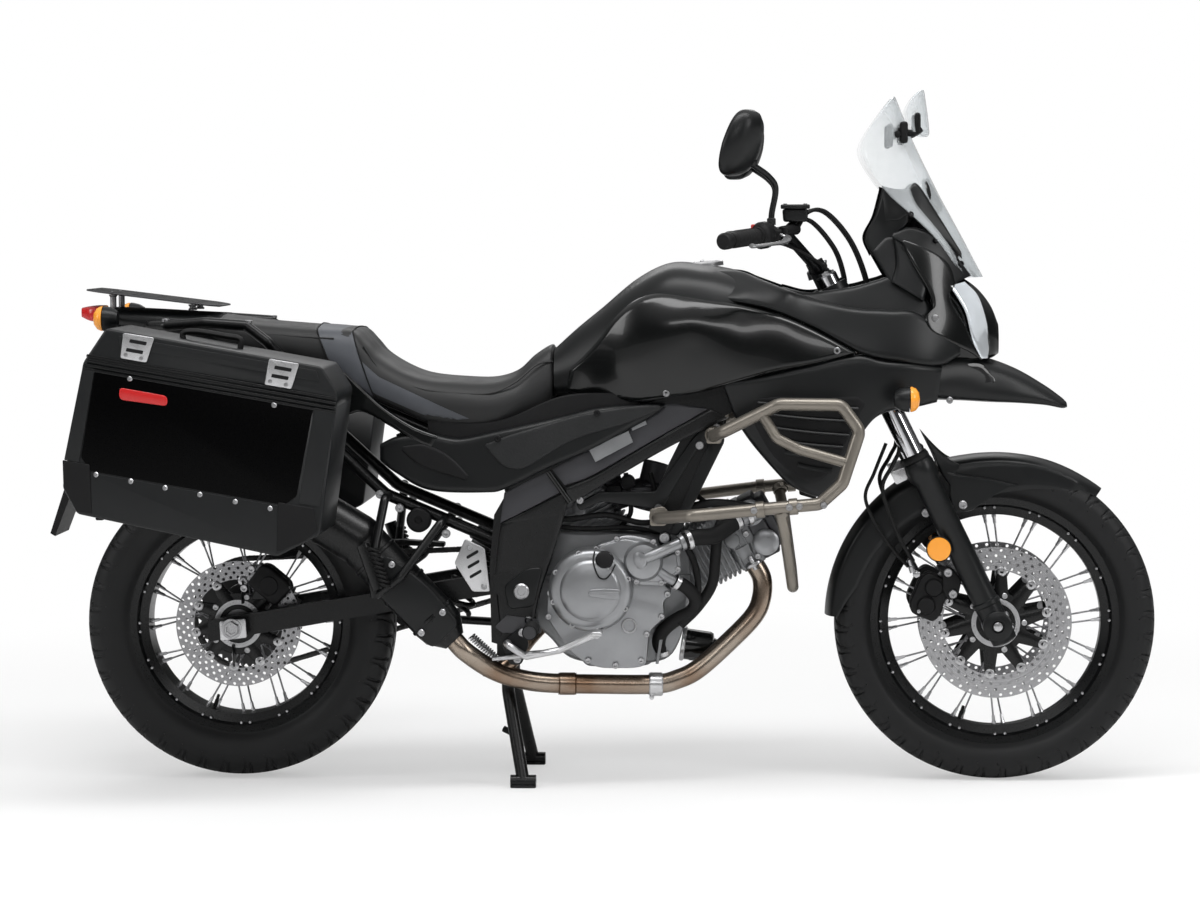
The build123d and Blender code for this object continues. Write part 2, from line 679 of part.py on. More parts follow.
fairing_levels = (590, 700, 790, 880, 960, 1036)
FAIRING = [
    (255, 196, 208, 212, 210, 198, 172),
    (420, 190, 212, 222, 220, 204, 180),
    (560, 188, 206, 216, 214, 200, 172),
    (X_HEAD + 190, 176, 190, 196, 192, 180, 160),
    (X_HEAD + 275, 140, 150, 156, 154, 146, 130),
]
fairing_outline = [
    (266, 821),
    (302, 732),
    (381, 625),
    (448, 597),
    (471, 602),
    (546, 738),
    (583, 768),
    (X_HEAD + 152, 777),
    (X_HEAD + 268, 880),
    (X_HEAD + 268, 909),
    (X_HEAD + 218, 954),
    (X_HEAD + 195, 988),
    (X_HEAD + 148, 1034),
    (X_HEAD + 120, 1017),
    (483, 1006),
    (400, 1010),
    (416, 946),
    (523, 889.5),
    (476, 877),
    (360, 849),
]


def fairing_half(x, z):
    """Half width of the fairing's outer face at a point in side view."""
    for (x0, *halves0), (x1, *halves1) in zip(FAIRING, FAIRING[1:]):
        if x0 <= x <= x1:
            across = (x - x0) / (x1 - x0)
            halves = [a + across * (b - a) for a, b in zip(halves0, halves1)]
            for level in range(len(halves) - 1):
                z0, z1 = fairing_levels[level], fairing_levels[level + 1]
                if z0 <= z <= z1:
                    return halves[level] + (z - z0) / (z1 - z0) * (halves[level + 1] - halves[level])
    raise ValueError((x, z))


with BuildPart() as fairing_side:
    add(skin(fairing_levels, FAIRING, PANEL_WALL))
    add(side_prism(fairing_outline, -240, 0), mode=Mode.INTERSECT)
with BuildPart() as fairing_sides:
    add(both_sides(fairing_side.part))
write(fairing_sides, "fairing_sides")


with BuildPart() as radiator:
    add(side_prism([(412, 600), (446, 590), (500, 742), (466, 752)], -HANGER_IN + 1, HANGER_IN - 1, 4))
    # Side tabs that meet the fairing's inner faces.
    tab = [(440, 640), (462, 632), (478, 680), (456, 688)]
    tab_reach = min(fairing_half(x, z) for x, z in tab) - PANEL_WALL - SEATED
    add(side_prism(tab, -tab_reach, tab_reach))
write(radiator, "radiator")


def rounded_loft(sections, share):
    """A body lofted along X through rounded rectangles. Columns: x, z_low, z_high, half width."""
    with BuildPart() as body:
        for x, z_low, z_high, half in sections:
            with BuildSketch(Plane.YZ.offset(x)):
                with Locations((0, (z_low + z_high) / 2)):
                    RectangleRounded(2 * half, z_high - z_low, share * (z_high - z_low))
        loft(ruled=True)
    return body.part


BEAK_TOP = 866.0
with BuildPart() as beak:
    beak_sections = [(230, 800, 856, 112), (315, 779, BEAK_TOP, 96), (410, 775, 834, 74), (480, 768, 796, 46), (493, 772, 780, 30)]
    add(rounded_loft(from_head(beak_sections), 0.35))
write(beak, "beak")

LAMP_TOP = 1030.0
with BuildPart() as headlamp:
    lamp_low = BEAK_TOP + SEATED
    lamp_sections = [(LAMP_BACK, lamp_low, LAMP_TOP, 128), (265, lamp_low, 1032, 120), (320, lamp_low, 1000, 96), (352, 880, 930, 58)]
    add(rounded_loft(from_head(lamp_sections), 0.12))
write(headlamp, "headlamp")

SCREEN_T = 4.0


def screen_of(levels, thick=SCREEN_T, back=0.0):
    """A clear curved sheet lofted upwards. Columns: z, x at the middle, half width, x at the edge, both from the head."""
    with BuildPart() as sheet:
        for z, from_mid, half, from_edge in levels:
            mid_x, edge_x = X_HEAD + from_mid - back, X_HEAD + from_edge - back
            with BuildSketch(Plane.XY.offset(z)):
                with BuildLine():
                    ThreePointArc((edge_x, -half), (mid_x, 0), (edge_x, half))
                    Line((edge_x, half), (edge_x - thick, half))
                    ThreePointArc((edge_x - thick, half), (mid_x - thick, 0), (edge_x - thick, -half))
                    Line((edge_x - thick, -half), (edge_x, -half))
                make_face()
        loft(ruled=True)
    return sheet.part


screen_levels = [
    (1032.5, 322, 118, 272),
    (1110, 288, 150, 220),
    (1178, 259, 165, 164),
    (1262, 204, 168, 110),
    (1340, 164, 160, 104),
    (1400, 140, 118, 120),
]
with BuildPart() as windshield:
    add(screen_of(screen_levels))
write(windshield, "windshield")

DEFLECTOR_BACK = 2.0  # lower edge drawn back until it rests on the screen
with BuildPart() as wind_deflector:
    add(screen_of([(1322, 194 - DEFLECTOR_BACK, 88, 162 - DEFLECTOR_BACK), (1372, 206, 100, 174), (1418, 210, 84, 190)]))
write(wind_deflector, "wind_deflector")

with BuildPart() as instruments:
    low = LAMP_TOP + 0.5 + SEATED
    add(side_prism(from_head([(170, low), (230, low), (230, 1060), (198, 1150), (170, 1168), (140, 1127)]), -84, 84, 6))
    # Posts that hold the screen.
    with BuildPart(mode=Mode.PRIVATE) as posts:
        for y in (-60, 60):
            add(rod((X_HEAD + 200, y, 1088), (X_HEAD + 330, y, 1088), 7))
        add(screen_of(screen_levels, 160, SCREEN_T + SEATED - 160), mode=Mode.SUBTRACT)
    add(posts.part)
write(instruments, "instruments")

COVER_T = 12.0
cover_outline = [(-400, 655), (-320, 716), (-222, 706), (-80, 668), (-110, 640), (-238, 612)]
with BuildPart() as side_covers:
    cover_out = -SPAR_OUTER - SEATED
    add(both_sides(side_prism(cover_outline, cover_out - COVER_T, cover_out, 4)))
write(side_covers, "side_covers")

with BuildPart() as tail_lamp:
    lamp_stations = [
        (-1030.3, (62, 950), (54, 984)),
        (-1058, (52, 954), (46, 984)),
        (-1072, (36, 964), (32, 982)),
    ]
    add(hull_of(lamp_stations, 6))
write(tail_lamp, "tail_lamp")

# --------------------------------------------------------------------------- rack, grab rail and rear fender

RACK_TOP_FRONT, RACK_TOP_REAR = 985.0, 1019.0
with BuildPart() as luggage_rack:
    add(side_prism([(-776, 981), (-776, 985), (-1048, 1019), (-1048, 1015)], -100, 100))
    for x, z in ((-1000, 1010), (-835, 989)):
        for y in (-46, 46):
            add(rod((x, y, z), (x, y, level_at(TAIL, x, 1) + 1.2), 9))
write(luggage_rack, "luggage_rack")

GRAB_R = 11.0
grab_y = RAIL_Y - RAIL_R - SEATED - GRAB_R
grab_route = [
    (-622, grab_y, level_at([(a, (0, b)) for a, _, b in rail_upper], -622, 0)),
    (-630, -152, 872),
    (-662, -176, 912),
    (-706, -178, 946),
    (-790, -178, 952),
    (-870, -172, 946),
    (-905, -150, 945),
    (-905, -90.3, 945),
]
with BuildPart() as grab_rail:
    for turned in (list, flipped):
        add(tube(turned(grab_route), GRAB_R, 13))
write(grab_rail, "grab_rail")

with BuildPart() as rear_fender:
    top_edge = [(x, level_at(TAIL, x, 0) - SEATED) for x in (-920, -990)]
    add(side_prism(top_edge + [(-1012, 890), (-1092, 640), (-1134, 514), (-1124, 508), (-1072, 640), (-950, 880)], -70, 70))
write(rear_fender, "rear_fender")

SIGNAL_FRONT = (X_HEAD + 162.0, 797.0)
with BuildPart() as turn_signals:
    tail_side = 64.8
    for x, z, y, stalk_from in ((-1001, 960, 150, 70.5), (*SIGNAL_FRONT, 246, fairing_half(SIGNAL_FRONT[0] - 8, SIGNAL_FRONT[1]) + 1.0)):
        for side in (-1, 1):
            lamp = [(x - 22, (30, z - 18), (30, z + 18)), (x + 22, (26, z - 16), (26, z + 16))]
            add(hull_of(lamp, 10, side * y))
            add(rod((x, side * stalk_from, z), (x, side * (y - 20), z), 7))
write(turn_signals, "turn_signals")

# --------------------------------------------------------------------------- crash bars

BAR_R = 12.7
crash_route = [
    (127, -HANGER_OUT - SEATED, 556),
    (127, -200, 556),
    (200, -268, 567),
    (330, -290, 581),
    (452, -290, 592),
    (497, -286, 632),
    (532, -280, 737),
    (495, -280, 788),
    (372, -285, 790),
    (262, -235, 733),
    (240, -205, 722),
    (240, -HANGER_OUT - SEATED, 722),
]
with BuildPart() as crash_bars:
    inner_route = [(510, -284, 672), (412, -284, 700), (368, -285, 722), (338, -268, 770)]
    brace_route = [(372, -289, 585), (384, -262, 530), (400, -170, 413), (400, 170, 413), (384, 262, 530), (372, 289, 585)]
    for turned in (list, flipped):
        add(tube(turned(crash_route), BAR_R, 24))
        add(tube(turned(inner_route), BAR_R - 2, 20))
    add(tube(brace_route, BAR_R - 1, 30))
write(crash_bars, "crash_bars")

# --------------------------------------------------------------------------- panniers

PANNIER_INNER, PANNIER_OUTER = 240.0, 480.0
CASE_WALL = 2.5
pannier_outline = [
    (-933, 951),
    (-979, 884),
    (-1023, 641),
    (-995, 589),
    (-603, 506),
    (-519, 548),
    (-481, 824),
    (-513, 875),
]
SPLIT_REAR, SPLIT_FRONT = (-979.0, 886.0), (-483.0, 798.0)
split_slope = (SPLIT_FRONT[1] - SPLIT_REAR[1]) / (SPLIT_FRONT[0] - SPLIT_REAR[0])


def case_half(above, side):
    """One half of a pannier's shell, above or below the lid's joint."""
    with BuildPart() as shell:
        with BuildSketch(at_y(-PANNIER_INNER)) as profile:
            with BuildLine():
                Polyline(*pannier_outline, close=True)
            make_face()
            fillet(profile.vertices(), 24)
        extrude(amount=PANNIER_OUTER - PANNIER_INNER)
        offset(amount=-CASE_WALL, mode=Mode.SUBTRACT)
        lift = SEATED / 2 if above else -SEATED / 2
        cut = Plane(
            origin=(SPLIT_REAR[0], 0, SPLIT_REAR[1] + lift),
            x_dir=(1, 0, split_slope),
            z_dir=(-split_slope, 0, 1),
        )
        split(bisect_by=cut, keep=Keep.TOP if above else Keep.BOTTOM)
    return shell.part if side < 0 else mirror(shell.part, about=Plane.XZ)


for side, hand in ((-1, "right"), (1, "left")):
    with BuildPart() as case:
        add(case_half(False, side))
    write(case, f"{hand}_pannier")
    with BuildPart() as lid:
        add(case_half(True, side))
    write(lid, f"{hand}_lid")

CARRIER_R = 8.0
carrier_y = -PANNIER_INNER + SEATED + CARRIER_R
rail_side = RAIL_Y - RAIL_R - SEATED
with BuildPart() as pannier_carriers:
    corners = [(-560, 700), (-585, 806), (-930, 862), (-955, 640), (-600, 560)]
    knees = [(x, carrier_y, z) for x, z in corners]
    for turned in (list, flipped):
        for start, end in zip(knees, knees[1:] + knees[:1]):
            add(rod(*turned([start, end]), CARRIER_R))
        for knee in knees:
            with Locations(turned([knee])[0]):
                Sphere(CARRIER_R)
        add(tube(turned([(-572, carrier_y, 764), (-560, -170, 790), (-560, -150, 818), (-560, rail_side, 818.7)]), CARRIER_R, 12))
        add(tube(turned([(-850, carrier_y, 849), (-845, -160, 848), (-800, -140, 880), (-800, -117.4, 890)]), CARRIER_R, 12))
write(pannier_carriers, "pannier_carriers")

# --------------------------------------------------------------------------- foot controls

with BuildPart() as rider_pegs:
    add(both_sides(cross_rod(-128, 331, -262, -SPAR_OUTER - SEATED, 13)))
    peg_bracket = [(-205, 332), (-190, 321), (-150, 318), (-108, 320), (-118, 348), (-180, 356)]
    add(both_sides(side_prism(peg_bracket, -SPAR_OUTER - 8, -SPAR_OUTER - SEATED, 4)))
write(rider_pegs, "rider_pegs")

PEG_Y = -238.0
with BuildPart() as passenger_pegs:
    strut_side = RAIL_Y - RAIL_R - SEATED
    rear_arm = [(-424, strut_side, 596.5), (-424, -190, 596.5), (-440, PEG_Y, 500), (-446, PEG_Y, 430)]
    front_arm = [(-310, strut_side, 548), (-310, -180, 548), (-390, PEG_Y, 440), (-440, PEG_Y, 404)]
    for turned in (list, flipped):
        add(tube(turned(rear_arm), 9, 16))
        add(tube(turned(front_arm), 9, 16))
        add(rod(*turned([(-446, PEG_Y - 2, 440), (-440, PEG_Y, 400)]), 9))
        add(rod(*turned([(-463, PEG_Y - 14, 508), (-432, PEG_Y - 14, 418)]), 13))
write(passenger_pegs, "passenger_pegs")

LEVER_R = 7.0
with BuildPart() as foot_levers:
    lever_side = SPAR_OUTER + SEATED
    brake_route = [(-178, -lever_side, 301), (-178, -204, 301), (-140, -206, 276), (-70, -210, 290), (6, -214, 324), (6, -246, 324)]
    gear_route = [(-100, CASE_HALF + SEATED, 326), (-100, 206, 326), (-60, 208, 306), (-12, 210, 304), (-12, 252, 304)]
    for route in (brake_route, gear_route):
        add(tube(route, LEVER_R, 12))
write(foot_levers, "foot_levers")

with BuildPart() as heel_guards:
    guard = [(-264, 510), (-224, 490), (-214, 406), (-250, 406), (-286, 464)]
    add(both_sides(side_prism(guard, -SPAR_OUTER - 5, -SPAR_OUTER - SEATED, 5)))
write(heel_guards, "heel_guards")

# --------------------------------------------------------------------------- stands

STAND_R = 13.0
STAND_TUBE_R = 17.0
STAND_LEG_Y = 84.0
FOOT_X = -150.0
FOOT_Y = 150.0
with BuildPart() as centre_stand:
    add(cross_rod(STAND_X, STAND_Z, -LUG_IN + 1, LUG_IN - 1, STAND_TUBE_R))
    for turned in (list, flipped):
        leg = [(STAND_X, -STAND_LEG_Y, STAND_Z), (STAND_X, -STAND_LEG_Y, 190), (FOOT_X, -FOOT_Y, STAND_R)]
        add(tube(turned(leg), STAND_R, 60))
        add(rod(*turned([(FOOT_X - 26, -FOOT_Y, STAND_R), (FOOT_X + 26, -FOOT_Y, STAND_R)]), STAND_R))
    add(cross_rod(STAND_X, 200, -STAND_LEG_Y, STAND_LEG_Y, 10))
    add(cross_rod(STAND_X, STAND_Z, -LUG_OUT, LUG_OUT, STAND_BOLT_R + RUNNING), mode=Mode.SUBTRACT)
write(centre_stand, "centre_stand")

SIDE_LEG = 262.0
with BuildPart() as side_stand:
    eye_start = SIDE_STAND + SIDE_STAND_AXIS * SEATED
    eye_end = SIDE_STAND + SIDE_STAND_AXIS * 21
    eye_middle = SIDE_STAND + SIDE_STAND_AXIS * 11
    folded = Vector(-0.99, 0.08, 0.05).normalized()
    add(rod(tuple(eye_start), tuple(eye_end), 15))
    add(rod(tuple(eye_middle), tuple(eye_middle + folded * SIDE_LEG), 9))
    foot_at = eye_middle + folded * (SIDE_LEG - 4)
    add(rod(tuple(foot_at - SIDE_STAND_AXIS * 8), tuple(foot_at + SIDE_STAND_AXIS * 16), 20))
    add(rod(tuple(SIDE_STAND), tuple(SIDE_STAND + SIDE_STAND_AXIS * 25), SIDE_BOLT_R + RUNNING), mode=Mode.SUBTRACT)
write(side_stand, "side_stand")

# --------------------------------------------------------------------------- fork and steering

STANCHION_R = 21.5
SLIDER_R = 28.0
SLIDER_TOP = 371.0
FORK_TOP = 790.0
CLAMP_LOW = (545.0, 585.0)
CLAMP_HIGH = (745.0, 770.0)
HANDLE_R = 11.0
HANDLE_MID = (X_HEAD - 17.0, 1052.0)


def fork_rod(x, y, low, high, radius):
    """A round bar along the fork legs, from the fork frame's coordinates."""
    with BuildPart() as bar:
        with BuildSketch(FORK.offset(low)):
            with Locations((x, y)):
                Circle(radius)
        extrude(amount=high - low)
    return bar.part


handle_dx, handle_dz = HANDLE_MID[0] - X_FRONT, HANDLE_MID[1] - Z_FRONT
handle_x = handle_dx * COS_RAKE + handle_dz * SIN_RAKE  # the bar's place in the fork frame
handle_z = handle_dz * COS_RAKE - handle_dx * SIN_RAKE
with BuildPart() as triple_clamps:
    for low, high in (CLAMP_LOW, CLAMP_HIGH):
        with BuildSketch(FORK.offset(low)):
            with Locations((0, -FORK_HALF), (0, FORK_HALF)):
                Circle(STANCHION_R + 11)
            with Locations((-8, 0)):
                Rectangle(38, 2 * FORK_HALF)
            with Locations((STEM_X + 16, 0)):
                Rectangle(50, 84)
            with Locations((STEM_X, 0)):
                Circle(30)
        extrude(amount=high - low)
    for y in (-FORK_HALF, FORK_HALF):
        add(fork_rod(0, y, CLAMP_LOW[0] - 1, CLAMP_HIGH[1] + 1, STANCHION_R + CLAMPED), mode=Mode.SUBTRACT)
    add(fork_rod(STEM_X, 0, CLAMP_LOW[1] - 1, CLAMP_HIGH[0] + 1, STEM_R))
    # Risers that hold the handlebar.
    for y in (-34, 34):
        with BuildSketch(FORK.offset(CLAMP_HIGH[1] - 1)):
            with Locations((handle_x, y)):
                Rectangle(36, 26)
        extrude(amount=handle_z + HANDLE_R + 8 - CLAMP_HIGH[1])
    add(cross_rod(*HANDLE_MID, -60, 60, HANDLE_R + CLAMPED), mode=Mode.SUBTRACT)
write(triple_clamps, "triple_clamps")

with BuildPart() as stanchions:
    for y in (-FORK_HALF, FORK_HALF):
        add(fork_rod(0, y, SLIDER_TOP, FORK_TOP, STANCHION_R))
write(stanchions, "fork_stanchions")

with BuildPart() as sliders:
    for y in (-FORK_HALF, FORK_HALF):
        add(fork_rod(0, y, -32, SLIDER_TOP, SLIDER_R))
    add(cross_rod(X_FRONT, Z_FRONT, -FORK_HALF - SLIDER_R - 6, FORK_HALF + SLIDER_R + 6, AXLE_R))
    for side in (-1, 1):
        spacer = sorted((side * (FORK_HALF - 10), side * (FRONT_HUB_HALF + 0.5)))
        add(cross_rod(X_FRONT, Z_FRONT, *spacer, 16))
write(sliders, "fork_sliders")

FRONT_CALIPER = (X_FRONT - 135.35, Z_FRONT + 56.7)
front_disc_low = -FRONT_HUB_HALF - DISC_T
with BuildPart() as front_calipers:
    right_caliper = caliper_of(FRONT_CALIPER, (X_FRONT, Z_FRONT), front_disc_low, FRONT_DISC_R, 46, 40, 22)
    with BuildPart(mode=Mode.PRIVATE) as lug:
        with BuildSketch(FORK.offset(75)):
            with Locations((-56, -FORK_HALF + 6)):
                Rectangle(76, 14)
        extrude(amount=80)
        add(fork_rod(0, -FORK_HALF, 60, 170, SLIDER_R + SEATED), mode=Mode.SUBTRACT)
    add(both_sides(right_caliper))
    add(both_sides(lug.part))
write(front_calipers, "front_calipers")

FENDER_GAP = 16.0
FENDER_HALF = 66.0
with BuildPart() as front_fender:
    outer, inner = FRONT_TYRE_R + FENDER_GAP + 4, FRONT_TYRE_R + FENDER_GAP
    with BuildSketch(at_y(FENDER_HALF)):
        with Locations((X_FRONT, Z_FRONT)):
            Circle(outer)
            Circle(inner, mode=Mode.SUBTRACT)
        with BuildLine():
            Polyline(
                (X_FRONT, Z_FRONT),
                (X_FRONT + 600, Z_FRONT + 730),
                (X_FRONT, Z_FRONT + 900),
                (X_FRONT - 700, Z_FRONT + 40),
                close=True,
            )
        make_face(mode=Mode.INTERSECT)
    extrude(amount=2 * FENDER_HALF)
    for y in (-FENDER_HALF, FENDER_HALF - 4):
        with BuildSketch(at_y(y + 4)):
            with Locations((X_FRONT, Z_FRONT)):
                Circle(outer)
                Circle(inner - 45, mode=Mode.SUBTRACT)
            with BuildLine():
                Polyline(
                    (X_FRONT, Z_FRONT),
                    (X_FRONT + 420, Z_FRONT + 620),
                    (X_FRONT, Z_FRONT + 900),
                    (X_FRONT - 600, Z_FRONT + 340),
                    close=True,
                )
            make_face(mode=Mode.INTERSECT)
        extrude(amount=4)
    # Arms that bolt to the fork legs.
    for side in (-1, 1):
        arm = sorted((side * (FENDER_HALF - 2), side * (FORK_HALF - SLIDER_R - SEATED)))
        add(cross_rod(X_FRONT - 138.35, Z_FRONT + 283.7, *arm, 14))
write(front_fender, "front_fender")

# --------------------------------------------------------------------------- handlebar

GRIP_R = 16.5
bar_route = from_head([(-17, 0, 1052), (-17, -75, 1052), (-86, -190, 1130), (-193, -417, 1115)])
with BuildPart() as handlebar:
    for turned in (list, flipped):
        add(tube(turned(bar_route), HANDLE_R, 45))
write(handlebar, "handlebar")

grip_end, grip_from = Vector(*bar_route[-1]), Vector(*bar_route[-2])
outward = (grip_end - grip_from).normalized()


def along_bar(inward, *shift):
    """A point beside the right-hand bar, measured inwards from its end."""
    return tuple(grip_end - outward * inward + Vector(*shift))


with BuildPart() as grips:
    for turned in (list, flipped):
        add(rod(*turned([along_bar(125), along_bar(-4)]), GRIP_R, HANDLE_R + CLAMPED))
write(grips, "grips")

with BuildPart() as hand_controls:
    for turned in (list, flipped):
        add(rod(*turned([along_bar(178), along_bar(126)]), 22, HANDLE_R + CLAMPED))
        add(rod(*turned([along_bar(164, 20, 0, -4), along_bar(164, 42, 0, -8)]), 9))
        lever = [along_bar(164, 40, 0, -8), along_bar(118, 54, 0, -16), along_bar(4, 46, 0, -12)]
        add(tube(turned(lever), 6, 20))
    reservoir = from_head([(-70, -212, 1152), (-60, -212, 1186), (-70, -214, 1154)])
    add(rod(*reservoir[:2], 20))
    add(rod(reservoir[2], along_bar(164, 30, 4, -1), 7))
write(hand_controls, "hand_controls")

MIRROR_Y = -352.0
with BuildPart() as mirrors:
    for side, turned in ((-1, list), (1, flipped)):
        add(rod(*turned([along_bar(196), along_bar(182)]), 17, HANDLE_R + CLAMPED))
        stem = [along_bar(189, 0, 0, 13), *from_head([(-104, -262, 1225), (-152, -330, 1268)])]
        add(tube(turned(stem), 6, 20))
        glass = from_head([(-182, (62, 1238), (62, 1344)), (-148, (54, 1262), (54, 1366))])
        add(hull_of(glass, 20, -side * MIRROR_Y))
write(mirrors, "mirrors")

with BuildPart() as fork_reflectors:
    leg_side = -FORK_HALF - SLIDER_R
    add(both_sides(cross_rod(X_FRONT - 119.35, Z_FRONT + 157.7, leg_side - 8, leg_side + 4, 18)))
    # Tabs that hold them to the fork legs.
    with BuildPart(mode=Mode.PRIVATE) as tab_piece:
        with BuildSketch(FORK.offset(186)):
            with Locations((-26, leg_side + 6)):
                Rectangle(40, 6)
        extrude(amount=16)
        add(fork_rod(0, -FORK_HALF, 180, 210, SLIDER_R + SEATED), mode=Mode.SUBTRACT)
    add(both_sides(tab_piece.part))
write(fork_reflectors, "fork_reflectors")
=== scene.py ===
"""Adventure motorcycle: the visible surfaces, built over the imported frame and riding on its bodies."""

from __future__ import annotations

import logging
import math
from dataclasses import dataclass, field
from enum import Enum

import bmesh
import bpy
import numpy as np
from mathutils import Matrix


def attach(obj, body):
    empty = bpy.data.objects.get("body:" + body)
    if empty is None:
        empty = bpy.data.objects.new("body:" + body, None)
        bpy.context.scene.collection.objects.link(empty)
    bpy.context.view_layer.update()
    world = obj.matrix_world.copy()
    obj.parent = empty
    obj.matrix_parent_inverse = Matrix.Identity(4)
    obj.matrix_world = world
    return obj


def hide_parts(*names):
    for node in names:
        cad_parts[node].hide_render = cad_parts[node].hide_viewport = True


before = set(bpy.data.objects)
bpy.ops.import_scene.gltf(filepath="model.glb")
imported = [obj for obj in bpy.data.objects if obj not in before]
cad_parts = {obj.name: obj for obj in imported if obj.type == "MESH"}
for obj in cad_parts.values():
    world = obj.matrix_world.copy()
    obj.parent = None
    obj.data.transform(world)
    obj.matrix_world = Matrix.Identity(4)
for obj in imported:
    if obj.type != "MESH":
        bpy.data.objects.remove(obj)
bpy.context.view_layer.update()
LOG = logging.getLogger("motorcycle")
MM = 0.001
TURN = 2 * math.pi
TO_RIGHT, TO_LEFT, UP = (0, -1, 0), (0, 1, 0), (0, 0, 1)
FRONT_AXLE = (815.35, 329.3)  # x and z, in millimetres
REAR_AXLE = (-744.65, 325.9)
ENGINE_TILT = 27.8  # degrees that the front cylinder leans up from level
Points = list[tuple[float, ...]]
Vec = tuple[float, ...] | np.ndarray


class Body(Enum):
    """The moving bodies that pieces ride on."""

    CHASSIS = "chassis"
    STEERING = "steering_group"
    FRONT_WHEEL = "front_wheel"
    REAR_WHEEL = "rear_wheel"
    CENTRE_STAND = "centre_stand_leg"
    SIDE_STAND = "side_stand_leg"
    RIGHT_LID = "right_case_lid"
    LEFT_LID = "left_case_lid"


class Sides(Enum):
    """Which side of the motorcycle a shape is made on."""

    RIGHT = (-1,)
    LEFT = (1,)
    BOTH = (-1, 1)


# ---------------------------------------------------------------- shapes


@dataclass
class Shell:
    """A closed skin: points in millimetres, and faces as lists of point numbers."""

    points: np.ndarray
    faces: list[list[int]]

    def __add__(self, other: Shell) -> Shell:
        """Both skins in one.

        Args:
            other: the skin that is joined to this one.

        Returns:
            A new skin with the faces of both.
        """
        shift = len(self.points)
        faces = self.faces + [[i + shift for i in face] for face in other.faces]
        return Shell(np.vstack([self.points, other.points]), faces)

    def mirrored(self) -> Shell:
        """The skin on the other side of the motorcycle."""
        return Shell(self.points * (1, -1, 1), [face[::-1] for face in self.faces])

    def on(self, sides: Sides) -> Shell:
        """The skin, drawn on the right, placed on the sides asked for.

        Args:
            sides: right, left or both.

        Returns:
            One skin holding the copies.
        """
        copies = [self if side < 0 else self.mirrored() for side in sides.value]
        return together(copies)


def together(shells: list[Shell]) -> Shell:
    """Joins skins into one, as arrays.

    Args:
        shells: the skins.

    Returns:
        One skin with every face.
    """
    starts = np.cumsum([0] + [len(shell.points) for shell in shells[:-1]]).tolist()
    faces = [[i + start for i in face] for shell, start in zip(shells, starts) for face in shell.faces]
    return Shell(np.vstack([shell.points for shell in shells]), faces)


def unit(vectors: np.ndarray) -> np.ndarray:
    """Vectors divided by their lengths."""
    return vectors / np.maximum(np.linalg.norm(vectors, axis=-1, keepdims=True), 1e-9)


def angles(count: int, start: float = 0.0) -> np.ndarray:
    """Even angles round a circle: a whole turn shared by the count, from a start."""
    return np.linspace(0, TURN, count, endpoint=False) + start


def grid(points: np.ndarray, wrap_u: bool = False, wrap_v: bool = False, caps: bool = False) -> Shell:
    """A skin over a grid of points: each cell between neighbours in u and v is one face.

    Args:
        points: array (u, v, 3).
        wrap_u: the last row joins the first.
        wrap_v: the last column joins the first.
        caps: the first and last rows are closed with one face each.

    Returns:
        The skin.
    """
    n, m = points.shape[:2]
    u = np.arange(n if wrap_u else n - 1)[:, None]
    v = np.arange(m if wrap_v else m - 1)[None, :]
    u2, v2 = (u + 1) % n, (v + 1) % m
    corners = [u * m + v, u2 * m + v, u2 * m + v2, u * m + v2]
    faces = np.stack([np.broadcast_to(c, (u.size, v.size)).ravel() for c in corners], axis=1).tolist()
    if caps:
        faces += [list(range(m))[::-1], list(range((n - 1) * m, n * m))]
    return Shell(points.reshape(-1, 3).astype(float), faces)


def smooth(points: Points | np.ndarray, count: int, even: bool = True) -> np.ndarray:
    """A Catmull-Rom curve: each span is the cubic whose end slopes are half the chord between its neighbours.

    Args:
        points: the points that the curve passes through.
        count: how many points to return.
        even: the points are spaced evenly along the curve's length.

    Returns:
        Array (count, dimensions).
    """
    p = np.asarray(points, float)
    q = np.vstack([2 * p[0] - p[1], p, 2 * p[-1] - p[-2]])
    spans = len(q) - 3
    t = np.linspace(0, spans, max(count, spans * 12) + 1)
    k = np.minimum(t.astype(int), spans - 1)
    f = (t - k)[:, None]
    a, b, c, d = q[k], q[k + 1], q[k + 2], q[k + 3]
    curve = 0.5 * (2 * b + (c - a) * f + (2 * a - 5 * b + 4 * c - d) * f**2 + (3 * b - a - 3 * c + d) * f**3)
    run = np.concatenate([[0], np.cumsum(np.linalg.norm(np.diff(curve, axis=0), axis=1))]) if even else t
    want = np.linspace(0, run[-1], count)
    return np.stack([np.interp(want, run, curve[:, i]) for i in range(p.shape[1])], axis=1)


def corners(points: Points | np.ndarray, count: int) -> np.ndarray:
    """Points spaced evenly along the straight runs of a closed outline, with every corner kept.

    Args:
        points: the corners.
        count: about how many points to return.

    Returns:
        Array (about count, dimensions).
    """
    p = np.asarray(points, float)
    ends = np.vstack([p[1:], p[:1]])
    lengths = np.linalg.norm(ends - p, axis=1)
    shares = np.maximum(1, np.round(count * lengths / lengths.sum()).astype(int))
    return np.vstack([a + (b - a) * np.arange(k)[:, None] / k for a, b, k in zip(p, ends, shares)])


